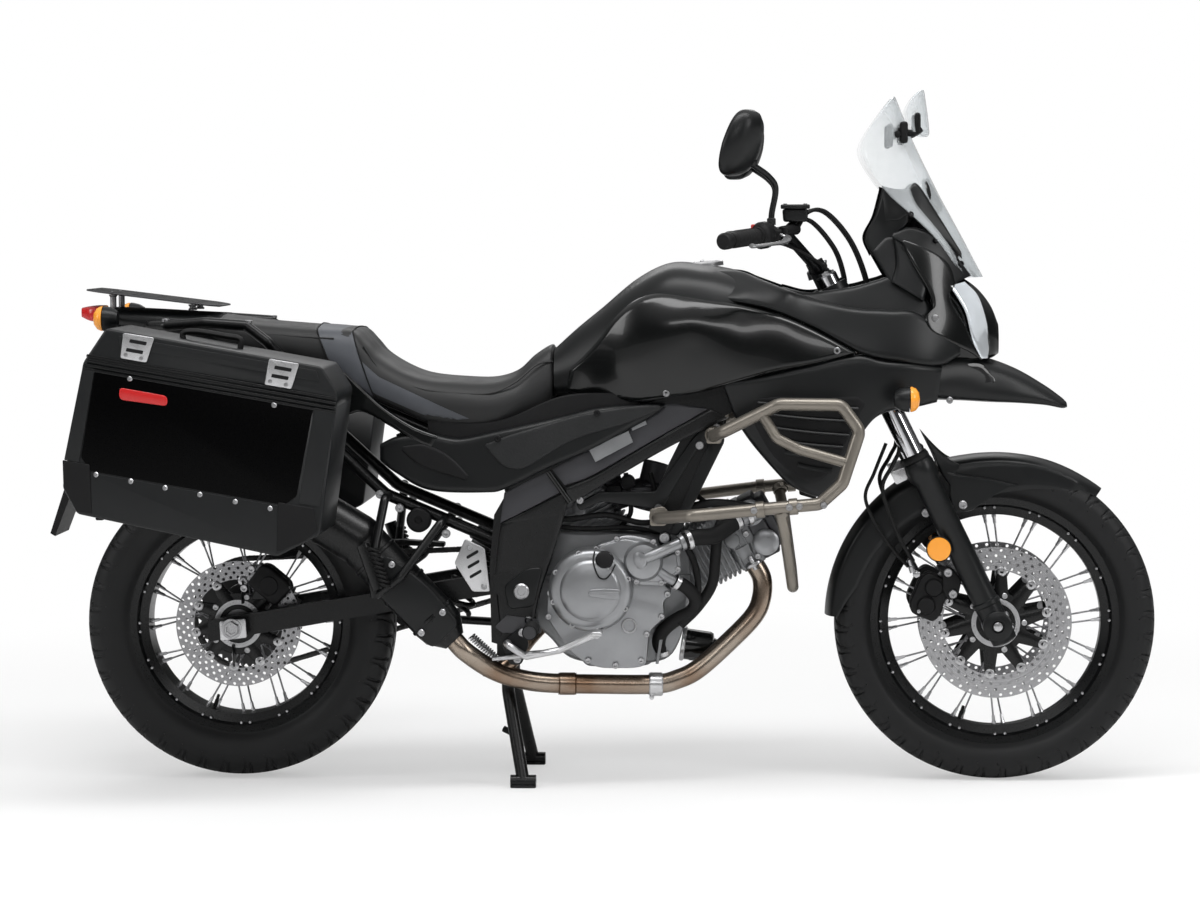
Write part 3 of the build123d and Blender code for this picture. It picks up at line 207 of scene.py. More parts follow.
def rounded(points: Points | np.ndarray, radius: float, steps: int = 5) -> np.ndarray:
    """A closed outline whose corners are rounded: each corner becomes a curve of two blended chords.

    Args:
        points: the corners.
        radius: how far along each side the rounding starts, at most half the side.
        steps: points on each corner.

    Returns:
        Array (corners times steps, 2).
    """
    p = np.asarray(points, float)
    before, after = np.roll(p, 1, axis=0), np.roll(p, -1, axis=0)
    la, lb = np.linalg.norm(before - p, axis=1), np.linalg.norm(after - p, axis=1)
    reach = np.minimum(radius, 0.48 * np.minimum(la, lb))[:, None]
    a, b = p + unit(before - p) * reach, p + unit(after - p) * reach
    t = np.linspace(0, 1, steps)[None, :, None]
    arc = (1 - t) ** 2 * a[:, None] + 2 * t * (1 - t) * p[:, None] + t**2 * b[:, None]
    return arc.reshape(-1, 2)


def inset(outline: np.ndarray, amount: float) -> np.ndarray:
    """A closed outline moved inwards: each point goes along the mean of its two sides' normals.

    Args:
        outline: array (n, 2).
        amount: how far, in millimetres.

    Returns:
        Array (n, 2).
    """
    x, z = outline[:, 0], outline[:, 1]
    turn = np.sign(np.sum(x * np.roll(z, -1) - np.roll(x, -1) * z))
    ahead, behind = unit(np.roll(outline, -1, axis=0) - outline), unit(outline - np.roll(outline, 1, axis=0))
    normal = unit(np.stack([-(ahead + behind)[:, 1], (ahead + behind)[:, 0]], axis=1)) * turn
    lean = np.clip(np.abs(np.sum(normal * np.stack([-ahead[:, 1], ahead[:, 0]], axis=1), axis=1)), 0.5, 1)
    return outline + normal * (amount / lean)[:, None]


def slab(outline: Points | np.ndarray, y0: float, y1: float, bevel: float, corner: float = 0.0) -> Shell:
    """A plate: an outline in side view carried across Y, with quarter-round edges on both faces.

    Args:
        outline: x and z of its corners.
        y0: one face.
        y1: the other face.
        bevel: the edges' radius.
        corner: how much its corners are rounded in side view.

    Returns:
        The skin.
    """
    flat = rounded(outline, corner) if corner else np.asarray(outline, float)
    low, high = min(y0, y1), max(y0, y1)
    bevel = min(bevel, (high - low) * 0.49)
    angle = np.linspace(0, math.pi / 2, 4)
    depth = np.concatenate([low + bevel * (1 - np.cos(angle)), high - bevel * (1 - np.cos(angle[::-1]))])
    inward = np.concatenate([bevel * (1 - np.sin(angle)), bevel * (1 - np.sin(angle[::-1]))])
    rings = [
        np.column_stack([r[:, 0], np.full(len(r), y), r[:, 1]])
        for r, y in ((inset(flat, i), d) for i, d in zip(inward, depth))
    ]
    return grid(np.stack(rings), wrap_v=True, caps=True)


def across(shell: Shell, origin: Vec, x_dir: Vec, y_dir: Vec) -> Shell:
    """A skin placed in a plane of its own: x and z are carried to two directions, and y to their cross product.

    Args:
        shell: the skin, drawn about the origin.
        origin: where its own origin goes.
        x_dir: where its x points.
        y_dir: where its y points.

    Returns:
        The placed skin.
    """
    x = unit(np.array(x_dir, float))
    y = np.array(y_dir, float)
    y = unit(y - x * np.dot(x, y))
    z = np.cross(x, y)
    return Shell(shell.points @ np.stack([x, y, z]) + np.array(origin, float), shell.faces)


def sweep(path: np.ndarray, radius: float | np.ndarray, sides: int, closed: bool = False, flat: float = 1.0) -> Shell:
    """A round section along a path: each ring is the path's point plus the radius times two directions square to it.

    Args:
        path: array (n, 3).
        radius: one radius, or one for each point.
        sides: points in each ring.
        closed: the path is a loop.
        flat: the section's second half axis as a share of its first.

    Returns:
        The skin, with its ends closed.
    """
    tangent = unit(np.roll(path, -1, axis=0) - np.roll(path, 1, axis=0)) if closed else unit(np.gradient(path, axis=0))
    axes = np.eye(3)
    guide = axes[np.argmin(np.abs(tangent @ axes).max(axis=0))]
    first = unit(np.cross(tangent, guide))
    second = np.cross(tangent, first)
    angle = angles(sides)[None, :, None]
    size = np.broadcast_to(np.asarray(radius, float), (len(path),))[:, None, None]
    ring = path[:, None] + size * (np.cos(angle) * first[:, None] + flat * np.sin(angle) * second[:, None])
    return grid(ring, wrap_u=closed, wrap_v=True, caps=not closed)


def hose(points: Points, radius: float, count: int = 40, sides: int = 12) -> Shell:
    """A flexible pipe: a round section along a smooth curve through the points."""
    return sweep(smooth(points, count), radius, sides)


def turned(
    profile: Points | np.ndarray, centre: Vec, axis: Vec = TO_LEFT, sides: int = 48, loop: bool = False
) -> Shell:
    """A turned shape: a profile of radius and distance along the axis, carried round the axis.

    Args:
        profile: (radius, distance) pairs, from one end to the other.
        centre: where distance is 0.
        axis: the direction of the axis.
        sides: how many steps in a turn.
        loop: the profile closes on itself, as a ring's does.

    Returns:
        The skin.
    """
    p = np.asarray(profile, float)
    a = unit(np.array(axis, float))
    first = unit(np.cross(a, np.eye(3)[np.argmin(np.abs(a))]))
    second = np.cross(a, first)
    angle = angles(sides)[None, :, None]
    ring = np.array(centre, float) + p[:, 1, None, None] * a + p[:, 0, None, None] * (
        np.cos(angle) * first + np.sin(angle) * second
    )
    return grid(ring, wrap_u=loop, wrap_v=True, caps=not loop)


def rod(start: Vec, end: Vec, radius: float, edge: float = 1.0, sides: int = 20) -> Shell:
    """A round bar with softened ends.

    Args:
        start: the middle of one end.
        end: the middle of the other.
        radius: the bar's radius.
        edge: how far its end edges are taken off.
        sides: steps round it.

    Returns:
        The skin.
    """
    a, b = np.array(start, float), np.array(end, float)
    length = float(np.linalg.norm(b - a))
    edge = min(edge, 0.4 * radius, 0.4 * length)
    profile = [(radius - edge, 0), (radius - edge * 0.3, edge * 0.3), (radius, edge), (radius, length - edge)]
    profile += [(radius - edge * 0.3, length - edge * 0.3), (radius - edge, length)]
    return turned(profile, a, b - a, sides)


def ring(centre: Vec, axis: Vec, inner: float, outer: float, low: float, high: float, edge: float, sides: int) -> Shell:
    """A flat ring with softened edges, from low to high along its axis.

    Args:
        centre: where its axis is 0.
        axis: the axis's direction.
        inner: the hole's radius.
        outer: the ring's radius.
        low: one face, along the axis.
        high: the other face.
        edge: how far the edges are taken off.
        sides: steps round it.

    Returns:
        The skin.
    """
    profile = [(inner, low + edge), (inner, high - edge), (inner + edge, high), (outer - edge, high)]
    profile += [(outer, high - edge), (outer, low + edge), (outer - edge, low), (inner + edge, low)]
    return turned(profile, centre, axis, sides, loop=True)


def around(centre: Vec, radius: float, count: int, start: float = 0.0) -> Points:
    """Places at even angles round a line across the motorcycle."""
    x, y, z = centre
    return [(x + radius * math.cos(a), y, z + radius * math.sin(a)) for a in angles(count, start)]


def bolts(places: Points, axis: Vec, radius: float, height: float) -> Shell:
    """Socket-headed bolts: a turned head with a hollow in its middle, one at each place.

    Args:
        places: the middle of each head's seat.
        axis: the way that the heads point.
        radius: a head's radius.
        height: how far a head stands up.

    Returns:
        One skin of all the heads.
    """
    profile = [
        (radius, -2), (radius, height * 0.75), (radius * 0.86, height), (radius * 0.5, height),
        (radius * 0.44, height * 0.4), (0.3, height * 0.35)
    ]
    return together([turned(profile, place, axis, 14) for place in places])


class Flank:
    """A smooth side face: half width as a thin-plate spline over side view, the stiffest surface through its points."""

    def __init__(self, points: Points) -> None:
        """Solves for the weights.

        Args:
            points: (x, z, half width) triples.
        """
        data = np.asarray(points, float)
        self.at, n = data[:, :2] / 100.0, len(data)
        kernel = self._bend(self.at[:, None] - self.at[None])
        flat = np.column_stack([np.ones(n), self.at])
        system = np.block([[kernel + 0.02 * np.eye(n), flat], [flat.T, np.zeros((3, 3))]])
        self.weights = np.linalg.solve(system, np.concatenate([data[:, 2], np.zeros(3)]))

    @staticmethod
    def _bend(offset: np.ndarray) -> np.ndarray:
        """The spline's kernel: distance squared times its logarithm."""
        squared = np.sum(offset**2, axis=-1)
        return 0.5 * squared * np.log(np.maximum(squared, 1e-12))

    def __call__(self, xz: np.ndarray) -> np.ndarray:
        """Half width at points of side view, as an array.

        Args:
            xz: array (..., 2) of x and z.

        Returns:
            The half width at each point.
        """
        p = np.asarray(xz, float) / 100.0
        bend = self._bend(p[..., None, :] - self.at)
        return bend @ self.weights[:-3] + self.weights[-3] + p @ self.weights[-2:]

    def spots(self, places: Points, lift: float) -> list[Vec]:
        """The points at these x and z on the right, lifted off the flank."""
        return [(x, -float(self(np.array([x, z]))) - lift, z) for x, z in places]


def panel(
    lower: Points, upper: Points, flank: Flank, thick: float, edge: float, proud: float, nu: int, nv: int
) -> Shell:
    """A crowned panel on the right: rows from a lower to an upper curve follow the flank and roll in near every edge.

    Args:
        lower: x and z along the lower edge, from rear to front.
        upper: x and z along the upper edge, from rear to front.
        flank: the face that it follows.
        thick: its wall.
        edge: how wide its rolled edge is.
        proud: how far it stands out from the flank.
        nu: points along it.
        nv: points across it.

    Returns:
        The closed skin.
    """
    low, high = smooth(lower, nu), smooth(upper, nu)
    v = 0.5 - 0.5 * np.cos(np.linspace(0, math.pi, nv))
    xz = low[:, None] + (high - low)[:, None] * v[None, :, None]
    height = np.linalg.norm(high - low, axis=1)[:, None]
    run = np.concatenate([[0], np.cumsum(np.linalg.norm(np.diff((low + high) / 2, axis=0), axis=1))])[:, None]
    near = np.minimum(np.minimum(v * height, (1 - v) * height), np.minimum(run, run[-1] - run) + 0.4 * edge)
    roll = edge * (1 - np.sqrt(1 - (1 - np.clip(near / edge, 0, 1)) ** 2))
    half = flank(xz) + proud - roll
    outer = np.stack([xz[..., 0], -half, xz[..., 1]], axis=-1)
    inner = outer + np.array([0, thick, 0])
    rim = np.concatenate([outer, inner[:, ::-1]], axis=1)
    return grid(rim, wrap_v=True, caps=True)


def hull(stations: list[tuple[float, list[tuple[float, float]]]], nu: int, nv: int, blunt: float) -> Shell:
    """A body lofted along X: smooth half sections, mirrored to closed rings, joined by smooth lines between stations.

    Args:
        stations: x and the (half width, z) levels from the bottom to the top at that x.
        nu: rings along it.
        nv: points in each half ring.
        blunt: how far, as a share of a ring, the end rings close in.

    Returns:
        The closed skin.
    """
    xs = np.array([s[0] for s in stations], float)
    halves = np.stack([smooth(s[1], nv) for s in stations])
    flat = np.concatenate([xs[:, None], halves.reshape(len(xs), -1)], axis=1)
    lines = smooth(flat, nu, even=False)
    x, half = lines[:, 0], lines[:, 1:].reshape(-1, nv, 2)
    right = np.stack([np.broadcast_to(x[:, None], half.shape[:2]), -half[..., 0], half[..., 1]], axis=-1)
    left = (right * (1, -1, 1))[:, ::-1]
    rings = np.concatenate([right, left], axis=1)
    first, last = rings[0].mean(axis=0), rings[-1].mean(axis=0)
    ends = [rings[0] + (first - rings[0]) * blunt, rings[-1] + (last - rings[-1]) * blunt]
    return grid(np.concatenate([ends[0][None], rings, ends[1][None]]), wrap_v=True, caps=True)


def box_shell(low: Vec, high: Vec, bevel: float) -> Shell:
    """A block with rounded edges, from its lowest to its highest corner."""
    outline = [(low[0], low[2]), (high[0], low[2]), (high[0], high[2]), (low[0], high[2])]
    return slab(rounded(outline, bevel * 1.5, 3), low[1], high[1], bevel)


def perforated(
    centre: Vec, inner: float, outer: float, low: float, high: float, rows: int, columns: int, hole: float
) -> Shell:
    """A brake disc: rings of cells, each a square in radius and angle with a round hole, staggered from row to row.

    Args:
        centre: the disc's centre.
        inner: its inner radius.
        outer: its outer radius.
        low: one face's y.
        high: the other face's y.
        rows: rings of cells.
        columns: cells in a ring.
        hole: the holes' radius.

    Returns:
        The closed skin.
    """
    sides = 16
    angle = angles(sides)
    c, s = np.cos(angle), np.sin(angle)
    square = np.stack([c, s], axis=1) / np.maximum(np.abs(c), np.abs(s))[:, None]
    row, column = np.meshgrid(np.arange(rows), np.arange(columns), indexing="ij")
    step = (outer - inner) / rows
    middle_r = inner + (row + 0.5) * step
    middle_a = (column + 0.5 * (row % 2)) * TURN / columns
    edge_r = middle_r[..., None] + square[:, 0] * step / 2
    edge_a = middle_a[..., None] + square[:, 1] * math.pi / columns
    hole_r = middle_r[..., None] + hole * c
    hole_a = middle_a[..., None] + hole * s / middle_r[..., None]

    def place(r: np.ndarray, a: np.ndarray, y: float) -> np.ndarray:
        """Points at a radius and angle about the centre."""
        return np.stack(
            [centre[0] + r * np.cos(a), np.full(r.shape, centre[1] + y), centre[2] + r * np.sin(a)], axis=-1
        )

    loops = [
        place(hole_r, hole_a, low), place(edge_r, edge_a, low), place(edge_r, edge_a, high), place(hole_r, hole_a, high)
    ]
    cells = np.stack(loops, axis=2).reshape(-1, 4, sides, 3)
    shells = [grid(cell, wrap_u=True, wrap_v=True) for cell in cells]
    return together(shells)


# ---------------------------------------------------------------- finishes


def feed(tree: bpy.types.NodeTree, made: bpy.types.Node, inputs: dict) -> None:
    """Gives a node's inputs their values.

    Args:
        tree: the node's tree.
        made: the node.
        inputs: input name or number to a value, or to the socket that it is linked to.
    """
    for key, value in inputs.items():
        if isinstance(value, bpy.types.NodeSocket):
            tree.links.new(value, made.inputs[key])
        else:
            made.inputs[key].default_value = value


def add_node(tree: bpy.types.NodeTree, kind: str, inputs: dict | None = None, **settings: str) -> bpy.types.Node:
    """Adds a shader node.

    Args:
        tree: the tree that it joins.
        kind: its type, without the prefix that they share.
        inputs: what its inputs are given.
        settings: its own properties.

    Returns:
        The node.
    """
    made = tree.nodes.new(f"ShaderNode{kind}")
    for name, value in settings.items():
        setattr(made, name, value)
    feed(tree, made, inputs or {})
    return made


@dataclass(frozen=True)
class Finish:
    """A surface finish: colour, gloss, and a fine grain whose size is in millimetres."""

    name: str
    colour: tuple[float, float, float]
    roughness: float = 0.5
    metallic: float = 0.0
    coat: float = 0.0
    grain: float = 0.8
    height: float = 0.05
    mottle: float = 0.15
    specular: float = 0.5
    stretch: tuple[float, float, float] = (1.0, 1.0, 1.0)

    def material(self) -> bpy.types.Material:
        """The finish as a material, made once.

        Returns:
            The material, the same one each time.
        """
        found = bpy.data.materials.get(self.name)
        if found:
            return found
        made = bpy.data.materials.new(self.name)
        made.use_nodes = True
        tree = made.node_tree
        shader = tree.nodes["Principled BSDF"]
        gloss = {
            "Metallic": self.metallic, "Coat Weight": self.coat, "Coat Roughness": 0.04,
            "Specular IOR Level": self.specular
        }
        feed(tree, shader, gloss)
        self.dress(tree, shader)
        return made

    def noise(
        self, tree: bpy.types.NodeTree, size: float, detail: float = 3.0, stretch: tuple | None = None
    ) -> bpy.types.Node:
        """A noise texture on object coordinates.

        Args:
            tree: the material's nodes.
            size: the pattern's size in millimetres.
            detail: octaves.
            stretch: how much each axis is stretched.

        Returns:
            The noise node.
        """
        where = add_node(tree, "TexCoord")
        stretched = [1.0 / s for s in (stretch or self.stretch)]
        scale = add_node(tree, "Mapping", {"Scale": stretched, "Vector": where.outputs["Object"]})
        return add_node(tree, "TexNoise", {"Scale": 1000.0 / size, "Detail": detail, "Vector": scale.outputs["Vector"]})

    def spread(
        self, tree: bpy.types.NodeTree, value: bpy.types.NodeSocket, low: float, high: float
    ) -> bpy.types.NodeSocket:
        """Carries a pattern from its middle range to low and high."""
        levels = {"Value": value, "From Min": 0.3, "From Max": 0.7, "To Min": low, "To Max": high}
        return add_node(tree, "MapRange", levels).outputs["Result"]

    def tint(
        self, tree: bpy.types.NodeTree, shader: bpy.types.Node, pattern: bpy.types.NodeSocket,
        other: tuple[float, float, float]
    ) -> None:
        """Mixes the colour with another by a pattern."""
        mix = add_node(tree, "Mix", {0: pattern, 6: (*self.colour, 1), 7: (*other, 1)}, data_type="RGBA")
        feed(tree, shader, {"Base Color": mix.outputs[2]})

    def relief(
        self, tree: bpy.types.NodeTree, shader: bpy.types.Node, pattern: bpy.types.NodeSocket, depth: float
    ) -> None:
        """Raises the surface by a pattern, by a depth in millimetres."""
        bump = add_node(tree, "Bump", {"Distance": depth * MM, "Strength": 1.0, "Height": pattern})
        feed(tree, shader, {"Normal": bump.outputs["Normal"]})

    def dress(self, tree: bpy.types.NodeTree, shader: bpy.types.Node) -> None:
        """Adds the mottle, the gloss variation and the grain.

        Args:
            tree: the material's nodes.
            shader: its main node.
        """
        broad = self.noise(tree, 60.0, 4.0, (1, 1, 1)).outputs["Fac"]
        fine = self.noise(tree, self.grain).outputs["Fac"]
        darker = tuple(c * (1 - self.mottle) for c in self.colour)
        lighter = tuple(min(1.0, c * (1 + self.mottle)) for c in self.colour)
        self.tint(tree, shader, self.spread(tree, broad, 0, 1), lighter if sum(self.colour) < 0.3 else darker)
        low, high = self.roughness * 0.85, min(1.0, self.roughness * 1.15)
        feed(tree, shader, {"Roughness": self.spread(tree, fine, low, high)})
        if self.height:
            self.relief(tree, shader, fine, self.height)


@dataclass(frozen=True)
class Vinyl(Finish):
    """Seat cover: rounded cells of leather grain with creases between them."""

    def dress(self, tree: bpy.types.NodeTree, shader: bpy.types.Node) -> None:
        """Relief from the distance to a Voronoi cell's edge, with noise in colour and gloss.

        Args:
            tree: the material's nodes.
            shader: its main node.
        """
        where = add_node(tree, "TexCoord")
        cells = add_node(
            tree, "TexVoronoi", {"Scale": 1000.0 / self.grain, "Vector": where.outputs["Object"]},
            feature="DISTANCE_TO_EDGE"
        )
        self.relief(tree, shader, self.spread(tree, cells.outputs["Distance"], 0, 1), self.height)
        broad = self.noise(tree, 45.0, 4.0, (1, 1, 1)).outputs["Fac"]
        self.tint(tree, shader, self.spread(tree, broad, 0, 1), tuple(c * (1 + self.mottle) for c in self.colour))
        feed(tree, shader, {"Roughness": self.spread(tree, broad, self.roughness * 0.9, self.roughness * 1.1)})


@dataclass(frozen=True)
class Heated(Finish):
    """Exhaust steel: straw and brown bands where it has been hot."""

    def dress(self, tree: bpy.types.NodeTree, shader: bpy.types.Node) -> None:
        """Broad noise picks between bare steel and the heat colour.

        Args:
            tree: the material's nodes.
            shader: its main node.
        """
        broad = self.noise(tree, 110.0, 5.0, (1, 1, 1)).outputs["Fac"]
        fine = self.noise(tree, self.grain).outputs["Fac"]
        self.tint(tree, shader, self.spread(tree, broad, 0, 1), (0.20, 0.125, 0.08))
        feed(tree, shader, {"Roughness": self.spread(tree, fine, self.roughness * 0.8, self.roughness * 1.3)})
        self.relief(tree, shader, fine, self.height)


@dataclass(frozen=True)
class Clear(Finish):
    """Clear plastic or glass: light passes through, with a slight tint."""

    ior: float = 1.45

    def dress(self, tree: bpy.types.NodeTree, shader: bpy.types.Node) -> None:
        """Transmission, with faint gloss variation.

        Args:
            tree: the material's nodes.
            shader: its main node.
        """
        feed(tree, shader, {"Transmission Weight": 1.0, "IOR": self.ior, "Base Color": (*self.colour, 1)})
        fine = self.noise(tree, self.grain).outputs["Fac"]
        feed(tree, shader, {"Roughness": self.spread(tree, fine, self.roughness * 0.5, self.roughness)})


@dataclass(frozen=True)
class Pane(Finish):
    """Thin clear sheet: mostly see-through with a glossy face, so nothing behind it is bent."""

    see: float = 0.85

    def dress(self, tree: bpy.types.NodeTree, shader: bpy.types.Node) -> None:
        """Alpha from the facing angle: denser near grazing.

        Args:
            tree: the material's nodes.
            shader: its main node.
        """
        facing = add_node(tree, "LayerWeight", {"Blend": 0.35})
        dense = add_node(tree, "MapRange", {"To Min": 1 - self.see, "To Max": 0.75, "Value": facing.outputs["Facing"]})
        feed(tree, shader, {"Alpha": dense.outputs["Result"], "Base Color": (*self.colour, 1)})
        fine = self.noise(tree, self.grain).outputs["Fac"]
        feed(tree, shader, {"Roughness": self.spread(tree, fine, self.roughness * 0.5, self.roughness)})


@dataclass(frozen=True)
class Turned(Finish):
    """Ground steel, with fine scratches round the wheel's axle."""

    axle: tuple[float, float] = (0.0, 0.0)

    def dress(self, tree: bpy.types.NodeTree, shader: bpy.types.Node) -> None:
        """Noise over the distance from the axle gives rings.

        Args:
            tree: the material's nodes.
            shader: its main node.
        """
        where = add_node(tree, "TexCoord")
        away = (-self.axle[0] * MM, 0, -self.axle[1] * MM)
        shift = add_node(tree, "Mapping", {"Location": away, "Vector": where.outputs["Object"]})
        length = add_node(tree, "VectorMath", {0: shift.outputs["Vector"]}, operation="LENGTH")
        scale = 1000.0 / self.grain
        rings = add_node(tree, "TexNoise", {"Scale": scale, "W": length.outputs["Value"]}, noise_dimensions="1D")
        pattern = rings.outputs["Fac"]
        self.relief(tree, shader, pattern, self.height)
        self.tint(tree, shader, self.spread(tree, pattern, 0, 1), tuple(c * 0.75 for c in self.colour))
        feed(tree, shader, {"Roughness": self.spread(tree, pattern, self.roughness * 0.8, self.roughness * 1.2)})


GLOSS_BLACK = Finish("gloss_black_lacquer", (0.0030, 0.0034, 0.0034), 0.2, coat=0.25, grain=3, height=0.0, specular=0.3)
SATIN_BLACK = Finish("satin_black_moulding", (0.0042, 0.0047, 0.0050), 0.36, grain=0.7, height=0.02, specular=0.28)
MATT_BLACK = Finish("matt_black_plastic", (0.0040, 0.0040, 0.0044), 0.55, grain=0.6, height=0.04, specular=0.22)
BLACK_PAINT = Finish("black_chassis_paint", (0.0028, 0.0030, 0.0032), 0.3, grain=2.0, height=0.01, specular=0.3)
# A lighter grey for the spars' upward facets: a painted highlight where they catch the light. The frame itself is
# black.
SPAR_HIGHLIGHT_GREY = Finish(
    "spar_painted_highlight_grey", (0.040, 0.040, 0.044), 0.4, metallic=0.2, grain=1.5, height=0.01, specular=0.3
)
POWDER_BLACK = Finish("black_powder_coat", (0.0050, 0.0056, 0.0061), 0.42, grain=0.9, height=0.03, specular=0.3)
CASE_PANEL = Finish("black_case_panel", (0.0005, 0.0005, 0.0006), 0.3, grain=2, height=0.0, specular=0.06)
CASTING = Finish("sand_cast_alloy", (0.25, 0.255, 0.262), 0.46, metallic=0.8, grain=1.1, height=0.10, mottle=0.22)
COVER_ALLOY = Finish(
    "painted_engine_cover", (0.31, 0.315, 0.325), 0.36, metallic=0.8, grain=0.9, height=0.03, mottle=0.15
)
DARK_ALLOY = Finish("oiled_dark_casting", (0.05, 0.05, 0.053), 0.48, metallic=0.7, grain=1.2, height=0.08, mottle=0.3)
BRIGHT_ALLOY = Finish(
    "brushed_bright_alloy", (0.60, 0.60, 0.61), 0.3, metallic=0.9, grain=0.5, height=0.01, stretch=(8, 1, 1)
)
BAR_METAL = Finish("warm_grey_bar_coat", (0.22, 0.20, 0.172), 0.34, metallic=0.7, grain=1.2, height=0.01, mottle=0.12)
CHROME = Finish("chrome_plate", (0.6, 0.6, 0.62), 0.1, metallic=1.0, grain=4, height=0.0, mottle=0.05)
ZINC = Finish("zinc_plated_steel", (0.46, 0.46, 0.47), 0.3, metallic=1.0, grain=0.8, height=0.02)
EXHAUST_STEEL = Heated("heat_tinted_steel", (0.36, 0.315, 0.265), 0.26, metallic=1.0, grain=0.8, height=0.01)
SPOKE_STEEL = Finish("polished_spoke_steel", (0.30, 0.30, 0.31), 0.3, metallic=1.0, grain=0.8, height=0.01)
CHAIN_STEEL = Finish("oiled_chain_steel", (0.06, 0.06, 0.06), 0.35, metallic=0.9, grain=0.8, height=0.03)
RUBBER = Finish("black_rubber", (0.0042, 0.0042, 0.0044), 0.62, grain=0.9, height=0.05, specular=0.25)
TYRE_RUBBER = Finish("tyre_rubber", (0.0045, 0.0047, 0.0050), 0.56, grain=1.2, height=0.05, specular=0.3, mottle=0.25)
SEAT_VINYL = Vinyl("black_seat_vinyl", (0.0135, 0.0137, 0.014), 0.52, grain=1.6, height=0.08, specular=0.3)
GREY_VINYL = Vinyl("grey_seat_vinyl", (0.062, 0.066, 0.075), 0.5, grain=1.6, height=0.08, specular=0.3)
SCREEN = Pane("clear_screen_sheet", (0.72, 0.76, 0.78), 0.06, grain=6, height=0.0, see=0.93)
LENS = Clear("clear_lamp_lens", (0.93, 0.95, 0.96), 0.04, grain=6, height=0.0)
REFLECTOR = Finish("lamp_reflector", (0.80, 0.81, 0.83), 0.12, metallic=1.0, grain=5, height=0.02)
AMBER = Finish("amber_lens", (0.24, 0.040, 0.0015), 0.25, coat=0.1, grain=2.5, height=0.12)
RED = Finish("red_lens", (0.055, 0.001, 0.0015), 0.25, coat=0.1, grain=2.5, height=0.12)
RED_SWITCH = Finish("red_switch", (0.6, 0.03, 0.02), 0.35, grain=1, height=0.02)
DISPLAY = Finish("dial_glass", (0.004, 0.0045, 0.005), 0.08, coat=0.8, grain=5, height=0.0)
FRONT_DISC = Turned(
    "ground_disc_front", (0.40, 0.40, 0.41), 0.28, metallic=1.0, grain=1.0, height=0.02, axle=FRONT_AXLE
)
REAR_DISC = Turned("ground_disc_rear", (0.34, 0.34, 0.35), 0.28, metallic=1.0, grain=1.0, height=0.02, axle=REAR_AXLE)


def fit(
    name: str, shells: Shell | list[Shell], finish: Finish, body: Body = Body.CHASSIS, replaces: tuple[str, ...] = (),
    crease: float = 38.0
) -> bpy.types.Object:
    """Makes a skin an object that rides on a body, with its faces outwards and its edges creased.

    Args:
        name: the piece's name.
        shells: the skins, in millimetres.
        finish: its finish.
        body: what it rides on.
        replaces: the frame's nodes that it stands for.
        crease: faces that meet at more than this many degrees keep a sharp edge.

    Returns:
        The object.
    """
    whole = together(shells) if isinstance(shells, list) else shells
    mesh = bpy.data.meshes.new(name)
    mesh.from_pydata(whole.points * MM, [], whole.faces)
    work = bmesh.new()
    work.from_mesh(mesh)
    bmesh.ops.recalc_face_normals(work, faces=work.faces)
    work.to_mesh(mesh)
    work.free()
    mesh.polygons.foreach_set("use_smooth", np.ones(len(mesh.polygons), bool))
    mesh.set_sharp_from_angle(angle=math.radians(crease))
    mesh.materials.append(finish.material())
    made = bpy.data.objects.new(name, mesh)
    bpy.context.scene.collection.objects.link(made)
    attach(made, body.value)
    if replaces:
        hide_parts(*replaces)
    LOG.info("%s: %d faces", name, len(mesh.polygons))
    return made


def pair(name: str, shells: Shell | list[Shell], finish: Finish, body: Body = Body.CHASSIS, **settings: object) -> None:
    """Makes one object of skins drawn on the right and their copies on the left.

    Args:
        name: the piece's name.
        shells: the skins, in millimetres.
        finish: its finish.
        body: what it rides on.
        settings: what else fit takes.
    """
    whole = together(shells) if isinstance(shells, list) else shells
    fit(name, whole.on(Sides.BOTH), finish, body, **settings)


def dress_nodes(finishes: dict[str, Finish]) -> None:
    """Gives each node that still shows its finish.

    Args:
        finishes: node name to finish.
    """
    for node, finish in finishes.items():
        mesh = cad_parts[node].data
        mesh.materials.clear()
        mesh.materials.append(finish.material())


# ---------------------------------------------------------------- studio


